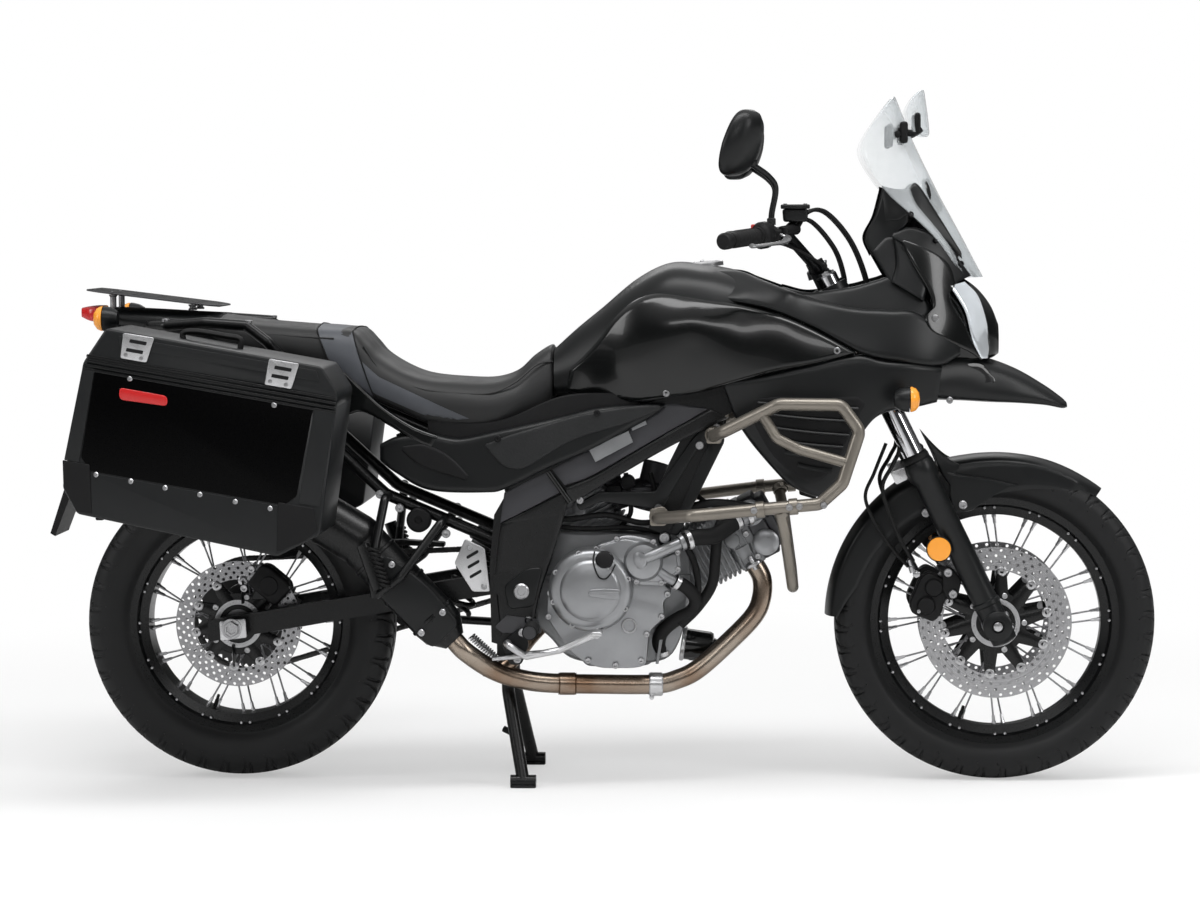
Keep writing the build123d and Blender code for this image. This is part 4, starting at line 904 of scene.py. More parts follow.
@dataclass
class Studio:
    """Floor, lights, world and camera."""

    eye: tuple[float, float, float] = (345.9, -7039.9, 1157.0)
    yaw: float = -2.791
    pitch: float = 3.868
    roll: float = -0.270
    lens: float = 102.33

    def build(self) -> None:
        """Makes the whole studio."""
        self.floor()
        self.world()
        self.lamp("lamp_overhead", (0.3, -1.2, 4.2), (0, 0, 0.6), (4.2, 1.2), 120)
        self.lamp("lamp_front", (4.2, -2.6, 2.6), (0.3, 0, 0.7), (1.2, 2.0), 55)
        self.lamp("lamp_rear", (-4.2, -2.2, 2.4), (-0.3, 0, 0.7), (1.2, 2.0), 45)
        self.lamp("lamp_side", (0.2, -5.2, 2.8), (0, 0, 0.6), (3.4, 0.5), 34)
        self.lamp("lamp_far", (0.0, 4.2, 3.0), (0, 0, 0.7), (3.2, 1.0), 26)
        self.camera()

    def floor(self) -> None:
        """A wide pale floor, which grows white to the camera with the distance from the middle."""
        made = bpy.data.meshes.new("floor")
        made.from_pydata([(-30, -30, 0), (30, -30, 0), (30, 30, 0), (-30, 30, 0)], [], [(0, 1, 2, 3)])
        floor = bpy.data.objects.new("floor", made)
        bpy.context.scene.collection.objects.link(floor)
        pale = Finish("pale_floor", (0.86, 0.86, 0.86), 0.75, grain=30, height=0, mottle=0.0, specular=0.1).material()
        made.materials.append(pale)
        tree = pale.node_tree
        where, path, white = (add_node(tree, kind) for kind in ("TexCoord", "LightPath", "Emission"))
        length = add_node(tree, "VectorMath", {0: where.outputs["Object"]}, operation="LENGTH")
        levels = {"Value": length.outputs["Value"], "From Min": 1.3, "From Max": 3.2, "To Min": 0.45, "To Max": 1.0}
        far = add_node(tree, "MapRange", levels, interpolation_type="SMOOTHSTEP")
        share = add_node(
            tree, "Math", {0: far.outputs["Result"], 1: path.outputs["Is Camera Ray"]}, operation="MULTIPLY"
        )
        plain = tree.nodes["Principled BSDF"].outputs["BSDF"]
        blend = add_node(tree, "MixShader", {"Fac": share.outputs["Value"], 1: plain, 2: white.outputs["Emission"]})
        feed(tree, tree.nodes["Material Output"], {"Surface": blend.outputs["Shader"]})

    def world(self) -> None:
        """White to the camera, and to gloss a soft dome that darkens towards the horizon."""
        world = bpy.data.worlds.new("studio")
        bpy.context.scene.world = world
        world.use_nodes = True
        tree = world.node_tree
        tree.nodes.clear()
        where, path = add_node(tree, "TexCoord"), add_node(tree, "LightPath")
        split = add_node(tree, "SeparateXYZ", {"Vector": where.outputs["Generated"]})
        levels = {"Value": split.outputs["Z"], "From Min": 0.15, "From Max": 0.85, "To Min": 0.05, "To Max": 0.80}
        dome = add_node(tree, "MapRange", levels, interpolation_type="SMOOTHSTEP")
        rays = {0: path.outputs["Is Camera Ray"], 1: path.outputs["Is Transmission Ray"]}
        seen = add_node(tree, "Math", rays, operation="MAXIMUM")
        level = add_node(tree, "Mix", {"B": 1.0, "A": dome.outputs["Result"], "Factor": seen.outputs["Value"]})
        light = add_node(tree, "Background", {"Color": (1, 1, 1, 1), "Strength": level.outputs["Result"]})
        add_node(tree, "OutputWorld", {"Surface": light.outputs["Background"]})

    def lamp(self, name: str, place: Vec, aim: Vec, size: tuple[float, float], power: float) -> None:
        """A soft rectangular lamp.

        Args:
            name: its name.
            place: where it hangs, in metres.
            aim: what it points at.
            size: its width and height in metres.
            power: its power in watts.
        """
        data = bpy.data.lights.new(name, "AREA")
        data.shape = "RECTANGLE"
        data.size, data.size_y, data.energy = size[0], size[1], power
        made = bpy.data.objects.new(name, data)
        bpy.context.scene.collection.objects.link(made)
        self.turn(made, np.array(place, float), unit(np.array(aim, float) - place), np.array([0, 0, 1.0]))

    def turn(self, made: bpy.types.Object, place: np.ndarray, ahead: np.ndarray, up: np.ndarray) -> None:
        """Puts a lamp or camera somewhere, looking ahead with its top up.

        Args:
            made: the lamp or camera.
            place: where it goes, in metres.
            ahead: the way that it looks.
            up: the way that its top points, roughly.
        """
        right = unit(np.cross(ahead, up))
        top = np.cross(right, ahead)
        rows = np.eye(4)
        rows[:3, 0], rows[:3, 1], rows[:3, 2], rows[:3, 3] = right, top, -ahead, place
        made.matrix_world = Matrix(rows.tolist())

    def camera(self) -> None:
        """The camera, at the side and a little above the middle."""
        yaw, pitch, roll = (math.radians(v) for v in (self.yaw, self.pitch, self.roll))
        ahead = np.array([math.sin(yaw) * math.cos(pitch), math.cos(yaw) * math.cos(pitch), -math.sin(pitch)])
        right = np.array([math.cos(yaw), -math.sin(yaw), 0.0])
        top = np.cross(right, ahead)
        leant = -right * math.sin(roll) + top * math.cos(roll)
        data = bpy.data.cameras.new("camera")
        data.lens, data.sensor_width, data.sensor_fit = self.lens, 36.0, "HORIZONTAL"
        data.clip_start, data.clip_end = 0.05, 100
        made = bpy.data.objects.new("camera", data)
        bpy.context.scene.collection.objects.link(made)
        self.turn(made, np.array(self.eye) * MM, ahead, leant)
        bpy.context.scene.camera = made
        bpy.context.scene.view_settings.view_transform = "Standard"


# ---------------------------------------------------------------- bodywork


@dataclass
class FuelTank:
    """The tank: a satin shell and its filler cap."""

    cap: tuple[float, float, float] = (215.0, 0.0, 1063.0)
    stations: list = field(
        default_factory=lambda: [
            (-86, [(84, 800), (100, 815), (102, 850), (84, 884), (40, 893), (0, 893)]),
            (-40, [(96, 794), (120, 815), (124, 868), (98, 922), (48, 934), (0, 934)]),
            (10, [(112, 790), (140, 815), (148, 885), (118, 955), (60, 974), (0, 974)]),
            (84, [(140, 788), (172, 820), (184, 900), (150, 1004), (80, 1033), (0, 1036)]),
            (150, [(160, 800), (196, 840), (202, 920), (168, 1034), (90, 1064), (0, 1066)]),
            (220, [(170, 840), (206, 870), (210, 935), (172, 1032), (92, 1060), (0, 1064)]),
            (293, [(168, 885), (200, 900), (206, 945), (166, 1018), (92, 1046), (0, 1049)]),
            (372, [(110, 934), (146, 940), (150, 968), (130, 1002), (78, 1016), (0, 1018)]),
        ]
    )

    def build(self) -> None:
        """Makes the tank and its cap."""
        fit("tank_shell", hull(self.stations, 90, 48, 0.1), SATIN_BLACK, replaces=("fuel_tank",))
        x, _, z = self.cap
        flange = turned(
            [(44, -6), (44, 2), (42, 4), (38, 4.5), (37, 2.5), (33, 2.5), (32, 5), (12, 6.5), (0.4, 6.8)], self.cap,
            (-0.12, 0, 1)
        )
        fit("tank_cap", [flange, box_shell((x - 4, -18, z + 3), (x + 4, 18, z + 10), 2)], BRIGHT_ALLOY)
        places = [(x + 38 * math.cos(a), 38 * math.sin(a), z + 2) for a in angles(6)]
        fit("tank_cap_screws", bolts(places, (-0.12, 0, 1), 4, 3), ZINC)


@dataclass
class Fairing:
    """The half fairing: satin side cowls, gloss tank panels, gloss nose cowls, beak and headlamp."""

    flank: Flank = field(
        default_factory=lambda: Flank(
            [
                (-86, 800, 112), (-86, 880, 104), (0, 790, 132), (0, 900, 150), (100, 795, 186), (100, 900, 202),
                (100, 1010, 176), (40, 960, 168), (40, 850, 172),
                (200, 800, 200), (200, 900, 214), (200, 990, 198), (300, 740, 196), (300, 850, 216), (300, 960, 207),
                (300, 1010, 184),
                (400, 610, 190), (400, 720, 212), (400, 850, 221), (400, 950, 209), (400, 1005, 186), (480, 600, 186),
                (500, 720, 210),
                (500, 850, 219), (500, 950, 200), (500, 1010, 176), (570, 770, 208), (600, 860, 208), (600, 960, 186),
                (600, 1030, 158),
                (680, 780, 168), (680, 870, 180), (680, 950, 164), (740, 790, 128), (740, 880, 136), (740, 960, 128),
                (700, 1000, 146),
                (640, 1100, 140), (700, 1090, 122), (760, 1030, 96), (800, 960, 84), (815, 880, 70), (760, 870, 118),
                (290, 1050, 122), (200, 1052, 118), (340, 1034, 150), (410, 1008, 172), (-50, 820, 122), (0, 860, 148),
            ]
        )
    )

    def build(self) -> None:
        """Makes each cowl and its fasteners."""
        self.side_cowl()
        self.tank_panel()
        self.cockpit_panel()
        self.nose()
        self.beak()
        self.fasteners()

    def side_cowl(self) -> None:
        """The satin cowl beside the radiator, with its vents."""
        lower = [
            (262, 815), (283, 760), (312, 712), (364, 650), (398, 618), (448, 597), (474, 606), (500, 652), (546, 736),
            (583, 767), (640, 776), (690, 786)
        ]
        upper = [
            (268, 834), (300, 838), (350, 846), (400, 858), (440, 867), (478, 877), (515, 884), (545, 884), (580, 874),
            (640, 868), (680, 862), (700, 858)
        ]
        main = panel(lower, upper, self.flank, 4, 14, 0, 90, 34)
        upper_low = [
            (176, 1018), (254, 996), (351, 976), (439, 940), (507, 902), (545, 884), (600, 872), (690, 860), (738, 880)
        ]
        upper_high = [
            (190, 1053), (289, 1051), (334, 1035), (410, 1007), (473, 988), (527, 977), (594, 973), (650, 966),
            (738, 906)
        ]
        top = panel(upper_low, upper_high, self.flank, 4, 10, 0.5, 90, 20)
        pair("side_cowls", main + top, SATIN_BLACK, replaces=("fairing_sides",))
        recess_low = [(322, 742), (350, 690), (392, 645), (440, 622), (470, 640), (500, 690)]
        recess_high = [(318, 800), (360, 806), (420, 806), (480, 806), (530, 806), (548, 790)]
        recess = panel(recess_low, recess_high, self.flank, 3, 10, 1.2, 40, 16)
        pair("cowl_recesses", recess, MATT_BLACK)
        slats = []
        for x0, z0, x1, z1 in (
            (330, 790, 530, 778), (338, 768, 524, 752), (345, 742, 512, 724), (362, 716, 500, 700),
            (384, 690, 488, 676), (410, 664, 478, 652)
        ):
            xz = smooth([(x0, z0), ((x0 + x1) / 2, (z0 + z1) / 2 - 2), (x1, z1)], 24)
            path = np.column_stack([xz[:, 0], -self.flank(xz) - 3.5, xz[:, 1]])
            slats.append(sweep(path, 5.0, 8, flat=0.6))
        pair("cowl_slats", slats, SATIN_BLACK)

    def tank_panel(self) -> None:
        """The gloss panel that runs from the tank to a point over the cowl, with a crease below it."""
        lower = [
            (-60, 806), (0, 792), (70, 790), (132, 798), (200, 806), (263, 822), (359, 848), (448, 866), (523, 886)
        ]
        upper = [
            (-52, 856), (-20, 884), (14, 922), (44, 962), (90, 998), (150, 1012), (228, 1000), (330, 978), (400, 956),
            (470, 922), (526, 890)
        ]
        pair("tank_panels", panel(lower, upper, self.flank, 4, 13, 5.0, 90, 36), GLOSS_BLACK, replaces=("tank_panels",))
        low = [(-60, 786), (-20, 785), (40, 786), (100, 790), (150, 798)]
        high = [(-50, 800), (-10, 801), (40, 802), (100, 806), (150, 815)]
        pair("tank_skirts", panel(low, high, self.flank, 3, 5, -2, 40, 8), SATIN_BLACK)

    def cockpit_panel(self) -> None:
        """The satin panel between the tank and the screen, and its inner step."""
        low = [(372, 1000), (430, 990), (503, 972), (594, 962), (640, 958), (684, 934)]
        high = [(380, 1020), (430, 1008), (474, 1013), (528, 1021), (571, 1033), (612, 1040), (664, 1000), (688, 960)]
        one = panel(low, high, self.flank, 4, 8, -16.0, 60, 16)
        low = [(598, 1030), (607, 1060), (606, 1093), (603, 1116)]
        high = [(664, 990), (672, 1024), (658, 1060), (640, 1110)]
        two = panel(low, high, self.flank, 4, 7, -5, 30, 12)
        neck_low = [(560, 1088), (574, 1064), (588, 1040), (600, 1024)]
        neck_high = [(590, 1120), (606, 1120), (612, 1088), (616, 1040)]
        pair("dash_necks", panel(neck_low, neck_high, self.flank, 4, 6, -14, 20, 10), SATIN_BLACK)
        folds = [
            sweep(smooth([(622, -136, 1100), (640, -140, 1064 - k), (652 - k / 2, -146, 1020 - k)], 20), 4, 8, flat=0.6)
            for k in (0, 12, 24)
        ]
        pair("cockpit_folds", folds, SATIN_BLACK)
        low = [(600, 1118), (640, 1094), (688, 1062), (726, 1024)]
        high = [(604, 1128), (646, 1138), (706, 1108), (762, 1040)]
        three = panel(low, high, self.flank, 4, 5, 1.0, 40, 12)
        pair("cockpit_panels", one + two + three, SATIN_BLACK)

    def nose(self) -> None:
        """Gloss cowls round the headlamp, the lamp's lenses and the centre strip."""
        low = [
            (618, 1108), (640, 1064), (672, 1010), (680, 974), (664, 956), (674, 930), (712, 908), (760, 884),
            (781, 868)
        ]
        high = [
            (626, 1116), (676, 1096), (716, 1068), (730, 1026), (718, 1006), (722, 986), (744, 950), (764, 910),
            (786, 872)
        ]
        cowl = panel(low, high, self.flank, 4, 7, 2.0, 80, 20)
        pair("nose_cowls", cowl, GLOSS_BLACK)
        stations = [
            (690, [(0, 868), (70, 868), (112, 874), (122, 950), (112, 1030), (60, 1040), (0, 1042)]),
            (735, [(0, 866), (70, 867), (104, 874), (114, 950), (100, 1020), (50, 1038), (0, 1040)]),
            (775, [(0, 866), (66, 867), (92, 876), (100, 940), (84, 996), (44, 1012), (0, 1016)]),
            (805, [(0, 870), (56, 872), (78, 882), (82, 930), (66, 966), (34, 976), (0, 980)]),
            (820, [(0, 878), (44, 880), (60, 888), (62, 915), (48, 936), (26, 942), (0, 944)]),
        ]
        fit("nose_core", hull(stations, 40, 40, 0.6), GLOSS_BLACK, replaces=("headlamp",))
        lens_low = [(716, 1020), (736, 990), (750, 962), (764, 908), (782, 872)]
        lens_high = [(748, 1028), (775, 1000), (792, 952), (800, 905), (796, 872)]
        pair("lamp_reflectors", panel(lens_low, lens_high, self.flank, 2, 4, 1.5, 30, 12), REFLECTOR)
        pair("lamp_lenses", panel(lens_low, lens_high, self.flank, 2, 6, 6.0, 30, 12), LENS)
        bulbs = turned([(0.4, 12), (10, 10), (18, 4), (20, -2), (17, -4)], (782, -80, 925), (0.9, -0.5, 0), 20)
        pair("lamp_bulbs", bulbs, BRIGHT_ALLOY)

    def beak(self) -> None:
        """The beak: a blade that tapers to the front, with an inlet on each side."""
        stations = [
            (690, [(0, 790), (90, 788), (136, 800), (140, 840), (120, 872), (60, 868), (0, 866)]),
            (745, [(0, 786), (80, 786), (112, 796), (116, 840), (98, 874), (50, 878), (0, 880)]),
            (800, [(0, 782), (66, 782), (92, 790), (94, 820), (82, 856), (44, 866), (0, 870)]),
            (860, [(0, 780), (52, 779), (74, 784), (76, 806), (64, 834), (34, 844), (0, 847)]),
            (915, [(0, 775), (38, 774), (54, 777), (56, 790), (46, 806), (24, 812), (0, 815)]),
            (950, [(0, 768), (26, 767), (38, 769), (40, 776), (32, 784), (17, 788), (0, 790)]),
            (962, [(0, 768), (16, 768), (26, 769), (28, 772), (22, 776), (10, 778), (0, 779)]),
        ]
        fit("beak_blade", hull(stations, 70, 40, 0.5), SATIN_BLACK, replaces=("beak",))
        side = Flank(
            [
                (700, 800, 138), (700, 860, 128), (760, 800, 108), (760, 860, 100), (820, 800, 88), (820, 850, 78),
                (880, 800, 68)
            ]
        )
        outline_low = [(728, 838), (742, 820), (775, 810), (815, 822)]
        outline_high = [(732, 846), (752, 862), (786, 860), (812, 832)]
        pair("beak_inlet_rims", panel(outline_low, outline_high, side, 3, 4, 3.5, 26, 10), GLOSS_BLACK)
        inner_low = [(735, 838), (748, 825), (775, 817), (804, 825)]
        inner_high = [(738, 843), (754, 855), (782, 854), (802, 832)]
        pair("beak_inlets", panel(inner_low, inner_high, side, 3, 2, 4.4, 26, 10), MATT_BLACK)

    def fasteners(self) -> None:
        """Bright bolts on the cowls."""
        spots = self.flank.spots([(488, 893), (686, 956), (146, 808), (716, 790)], 2.5)
        pair("cowl_bolts", bolts(spots, TO_RIGHT, 7, 4), ZINC)


@dataclass
class SidePanels:
    """Satin panels under the seat, grained infill panels over the frame, and the tail."""

    flank: Flank = field(
        default_factory=lambda: Flank(
            [
                (-640, 870, 140), (-437, 668, 158), (-560, 800, 150), (-520, 880, 152), (-480, 760, 158),
                (-400, 690, 164), (-400, 800, 160), (-312, 640, 172),
                (-312, 740, 166), (-240, 610, 182), (-240, 700, 172), (-150, 630, 184), (-150, 720, 178),
                (-60, 680, 184), (-60, 770, 176),
                (60, 730, 186), (140, 770, 188), (0, 790, 180), (-700, 900, 126),
            ]
        )
    )

    def build(self) -> None:
        """Makes the panels on both sides, and the tail."""
        low = [
            (-437, 668), (-405, 644), (-337, 610), (-224, 606), (-179, 614), (-96, 654), (-12, 690), (60, 728),
            (116, 759), (142, 778)
        ]
        high = [
            (-437, 704), (-400, 720), (-340, 726), (-277, 716), (-203, 730), (-120, 748), (-51, 764), (8, 778),
            (96, 786), (142, 786)
        ]
        main = panel(low, high, self.flank, 4, 12, 0, 90, 26)
        pair("side_panels", main, SATIN_BLACK, replaces=("side_covers",))
        low = [(-224, 700), (-190, 664), (-163, 654), (-133, 660), (-41, 713), (68, 747), (134, 774)]
        high = [(-218, 706), (-176, 722), (-110, 742), (-40, 762), (40, 777), (100, 784), (132, 785)]
        base_low = [(-340, 712), (-200, 706), (-60, 742), (90, 770)]
        base_high = [(-340, 752), (-200, 750), (-60, 802), (90, 806)]
        pair("seat_base_covers", panel(base_low, base_high, self.flank, 3, 4, -16.0, 40, 8), MATT_BLACK)
        grain = Finish("grained_infill_moulding", (0.010, 0.0105, 0.011), 0.5, grain=4.5, height=0.5, specular=0.3)
        pair("infill_panels", panel(low, high, self.flank, 3, 6, 3.0, 60, 18), grain)
        low = [(-600, 856), (-560, 800), (-512, 764), (-471, 768), (-420, 742), (-360, 706), (-330, 694)]
        high = [(-640, 880), (-580, 868), (-520, 862), (-480, 826), (-430, 780), (-370, 742), (-318, 722)]
        pair("tail_side_panels", panel(low, high, self.flank, 4, 8, 1.0, 60, 20), GLOSS_BLACK)
        low = [(-392, 690), (-360, 664), (-330, 652), (-290, 640), (-262, 632)]
        high = [(-388, 700), (-350, 704), (-310, 690), (-280, 668), (-256, 642)]
        pair("side_inlets", panel(low, high, self.flank, 3, 4, 3.5, 30, 12), MATT_BLACK)
        pair("side_panel_bolts", bolts(self.flank.spots([(6, 768), (-196, 716)], 4), TO_RIGHT, 7, 3), MATT_BLACK)
        stations = [
            (-770, [(0, 905), (80, 903), (112, 908), (118, 930), (106, 958), (60, 966), (0, 968)]),
            (-840, [(0, 915), (72, 914), (100, 920), (104, 940), (92, 962), (52, 970), (0, 972)]),
            (-920, [(0, 932), (62, 931), (86, 936), (90, 952), (80, 968), (44, 975), (0, 977)]),
            (-1000, [(0, 944), (52, 943), (70, 947), (74, 960), (64, 974), (36, 979), (0, 980)]),
            (-1030, [(0, 950), (46, 949), (62, 952), (65, 962), (56, 974), (30, 978), (0, 980)]),
        ]
        fit("tail_shell", hull(stations, 40, 36, 0.3), SATIN_BLACK, replaces=("tail_cover",))


@dataclass
class Saddle:
    """The seat: a stepped foam pad under stretched vinyl, with a pale band between rider and passenger."""

    stations: list = field(
        default_factory=lambda: [
            (-796, [(0, 928), (96, 926), (116, 930), (122, 945), (108, 960), (60, 967), (0, 970)]),
            (-740, [(0, 900), (110, 898), (134, 903), (140, 925), (124, 950), (68, 958), (0, 962)]),
            (-690, [(0, 884), (116, 882), (142, 888), (148, 915), (130, 943), (72, 951), (0, 954)]),
            (-600, [(0, 872), (118, 870), (146, 876), (152, 906), (134, 935), (74, 943), (0, 946)]),
            (-530, [(0, 858), (118, 852), (148, 858), (155, 895), (136, 930), (74, 938), (0, 941)]),
            (-492, [(0, 830), (120, 818), (150, 826), (157, 880), (136, 926), (74, 934), (0, 936)]),
            (-466, [(0, 812), (120, 802), (151, 812), (158, 860), (138, 900), (76, 912), (0, 914)]),
            (-440, [(0, 800), (120, 790), (152, 800), (159, 838), (138, 872), (76, 884), (0, 887)]),
            (-393, [(0, 780), (122, 770), (153, 780), (161, 816), (138, 846), (76, 855), (0, 858)]),
            (-346, [(0, 762), (122, 748), (154, 760), (161, 798), (136, 830), (74, 839), (0, 841)]),
            (-280, [(0, 752), (122, 738), (152, 750), (158, 790), (130, 823), (70, 832), (0, 834)]),
            (-212, [(0, 752), (118, 734), (146, 746), (151, 788), (118, 822), (62, 831), (0, 834)]),
            (-165, [(0, 760), (106, 742), (132, 756), (136, 800), (102, 835), (54, 845), (0, 848)]),
            (-131, [(0, 772), (96, 758), (116, 770), (118, 815), (92, 862), (48, 875), (0, 878)]),
            (-98, [(0, 790), (86, 782), (104, 792), (105, 835), (82, 884), (42, 897), (0, 899)]),
            (-89, [(0, 800), (80, 794), (98, 804), (98, 840), (78, 880), (40, 892), (0, 894)]),
        ]
    )
    half_points: int = 46
    band_edges: tuple[float, float] = (-570.0, -496.0)
    band_points: tuple[int, int] = (16, 76)
    band_lean: float = 0.45

    def build(self) -> None:
        """Makes the pad, and lays the band and the welts on it."""
        core = hull(self.stations, 150, self.half_points, 0.35)
        made = fit("seat_pad", core, SEAT_VINYL, replaces=("seat",), crease=60)
        self.band()
        self.welts()

    def outline_at(self, x: float | np.ndarray) -> np.ndarray:
        """Half of the pad's outline, from its bottom to its top, at one x or at an x for each of its points.

        Args:
            x: where along the seat, once or for each point.

        Returns:
            Array (points, 2) of half width and z.
        """
        xs = np.array([s[0] for s in self.stations], float)
        halves = np.stack([smooth(s[1], self.half_points) for s in self.stations])
        where = np.broadcast_to(x, (self.half_points,))
        return np.stack([[np.interp(at, xs, halves[:, i, k]) for k in (0, 1)] for i, at in enumerate(where)])

    def ring_at(self, x: float, proud: float) -> np.ndarray:
        """The band's line over the pad: the pad's outline, stood proud of it, leaning forwards below the top.

        Args:
            x: where along the seat its top is.
            proud: how far outside the pad.

        Returns:
            Array (points, 3).
        """
        at = self.outline_at(x)
        forward = x + self.band_lean * np.clip(at[-1, 1] - at[:, 1], 0, None)
        at = self.outline_at(forward)
        whole = np.vstack([np.column_stack([-at[:, 0], at[:, 1]]), np.column_stack([at[::-1, 0], at[::-1, 1]])])
        out = whole + unit(whole - whole.mean(axis=0)) * proud
        return np.column_stack([np.concatenate([forward, forward[::-1]]), out])[slice(*self.band_points)]

    def band(self) -> None:
        """The pale band over the step, and its arms that run forward along the lower edge."""
        places = np.linspace(*self.band_edges, 16)
        rows, inner = (np.stack([self.ring_at(x, proud) for x in places]) for proud in (1.3, -3.0))
        over = grid(np.concatenate([rows, inner[::-1]]), wrap_u=True, caps=False)
        ends, m = 2 * len(places), rows.shape[1]
        over.faces += [[i * m for i in range(ends)], [i * m + m - 1 for i in range(ends)][::-1]]
        xs = np.linspace(-512, -206, 70)
        low = np.interp(xs, [-512, -490, -438, -349, -251, -206], [830, 806, 785, 748, 726, 730])
        high = np.interp(xs, [-512, -478, -438, -319, -209], [912, 876, 840, 784, 734])
        share = np.linspace(0, 1, 14)[None, :]
        z = low[:, None] + (high - low)[:, None] * share
        half = np.stack(
            [
                np.interp(row, np.maximum.accumulate(self.outline_at(x)[:, 1]), self.outline_at(x)[:, 0])
                for x, row in zip(xs, z)
            ]
        )
        faces = [
            np.stack([np.broadcast_to(xs[:, None], z.shape), -(half + proud), z], axis=-1) for proud in (1.6, -3.0)
        ]
        arm = grid(np.concatenate([faces[0], faces[1][:, ::-1]], axis=1), wrap_v=True, caps=True)
        fit("seat_band", [over, arm.on(Sides.BOTH)], GREY_VINYL)

    def welts(self) -> None:
        """Sewn welts along the band's edges and round the pad."""
        lines = [sweep(self.ring_at(x, 1.6), 1.6, 8) for x in self.band_edges]
        front = smooth(
            [
                (-89, 868), (-120, 862), (-165, 826), (-212, 806), (-280, 806), (-346, 814), (-400, 832), (-440, 858),
                (-470, 902)
            ],
            60
        )
        rear = smooth([(-530, 918), (-600, 922), (-690, 930), (-760, 944), (-792, 954)], 40)
        front_widths = [-470, -440, -346, -212, -165, -120, -89], [146, 150, 154, 142, 128, 104, 92]
        rear_widths = [-792, -690, -600, -530], [114, 142, 146, 150]
        for line, widths in ((front, front_widths), (rear, rear_widths)):
            lines.append(sweep(np.column_stack([line[:, 0], -np.interp(line[:, 0], *widths), line[:, 1]]), 1.8, 8))
        pair("seat_welts", lines, SEAT_VINYL)


# ---------------------------------------------------------------- wheels


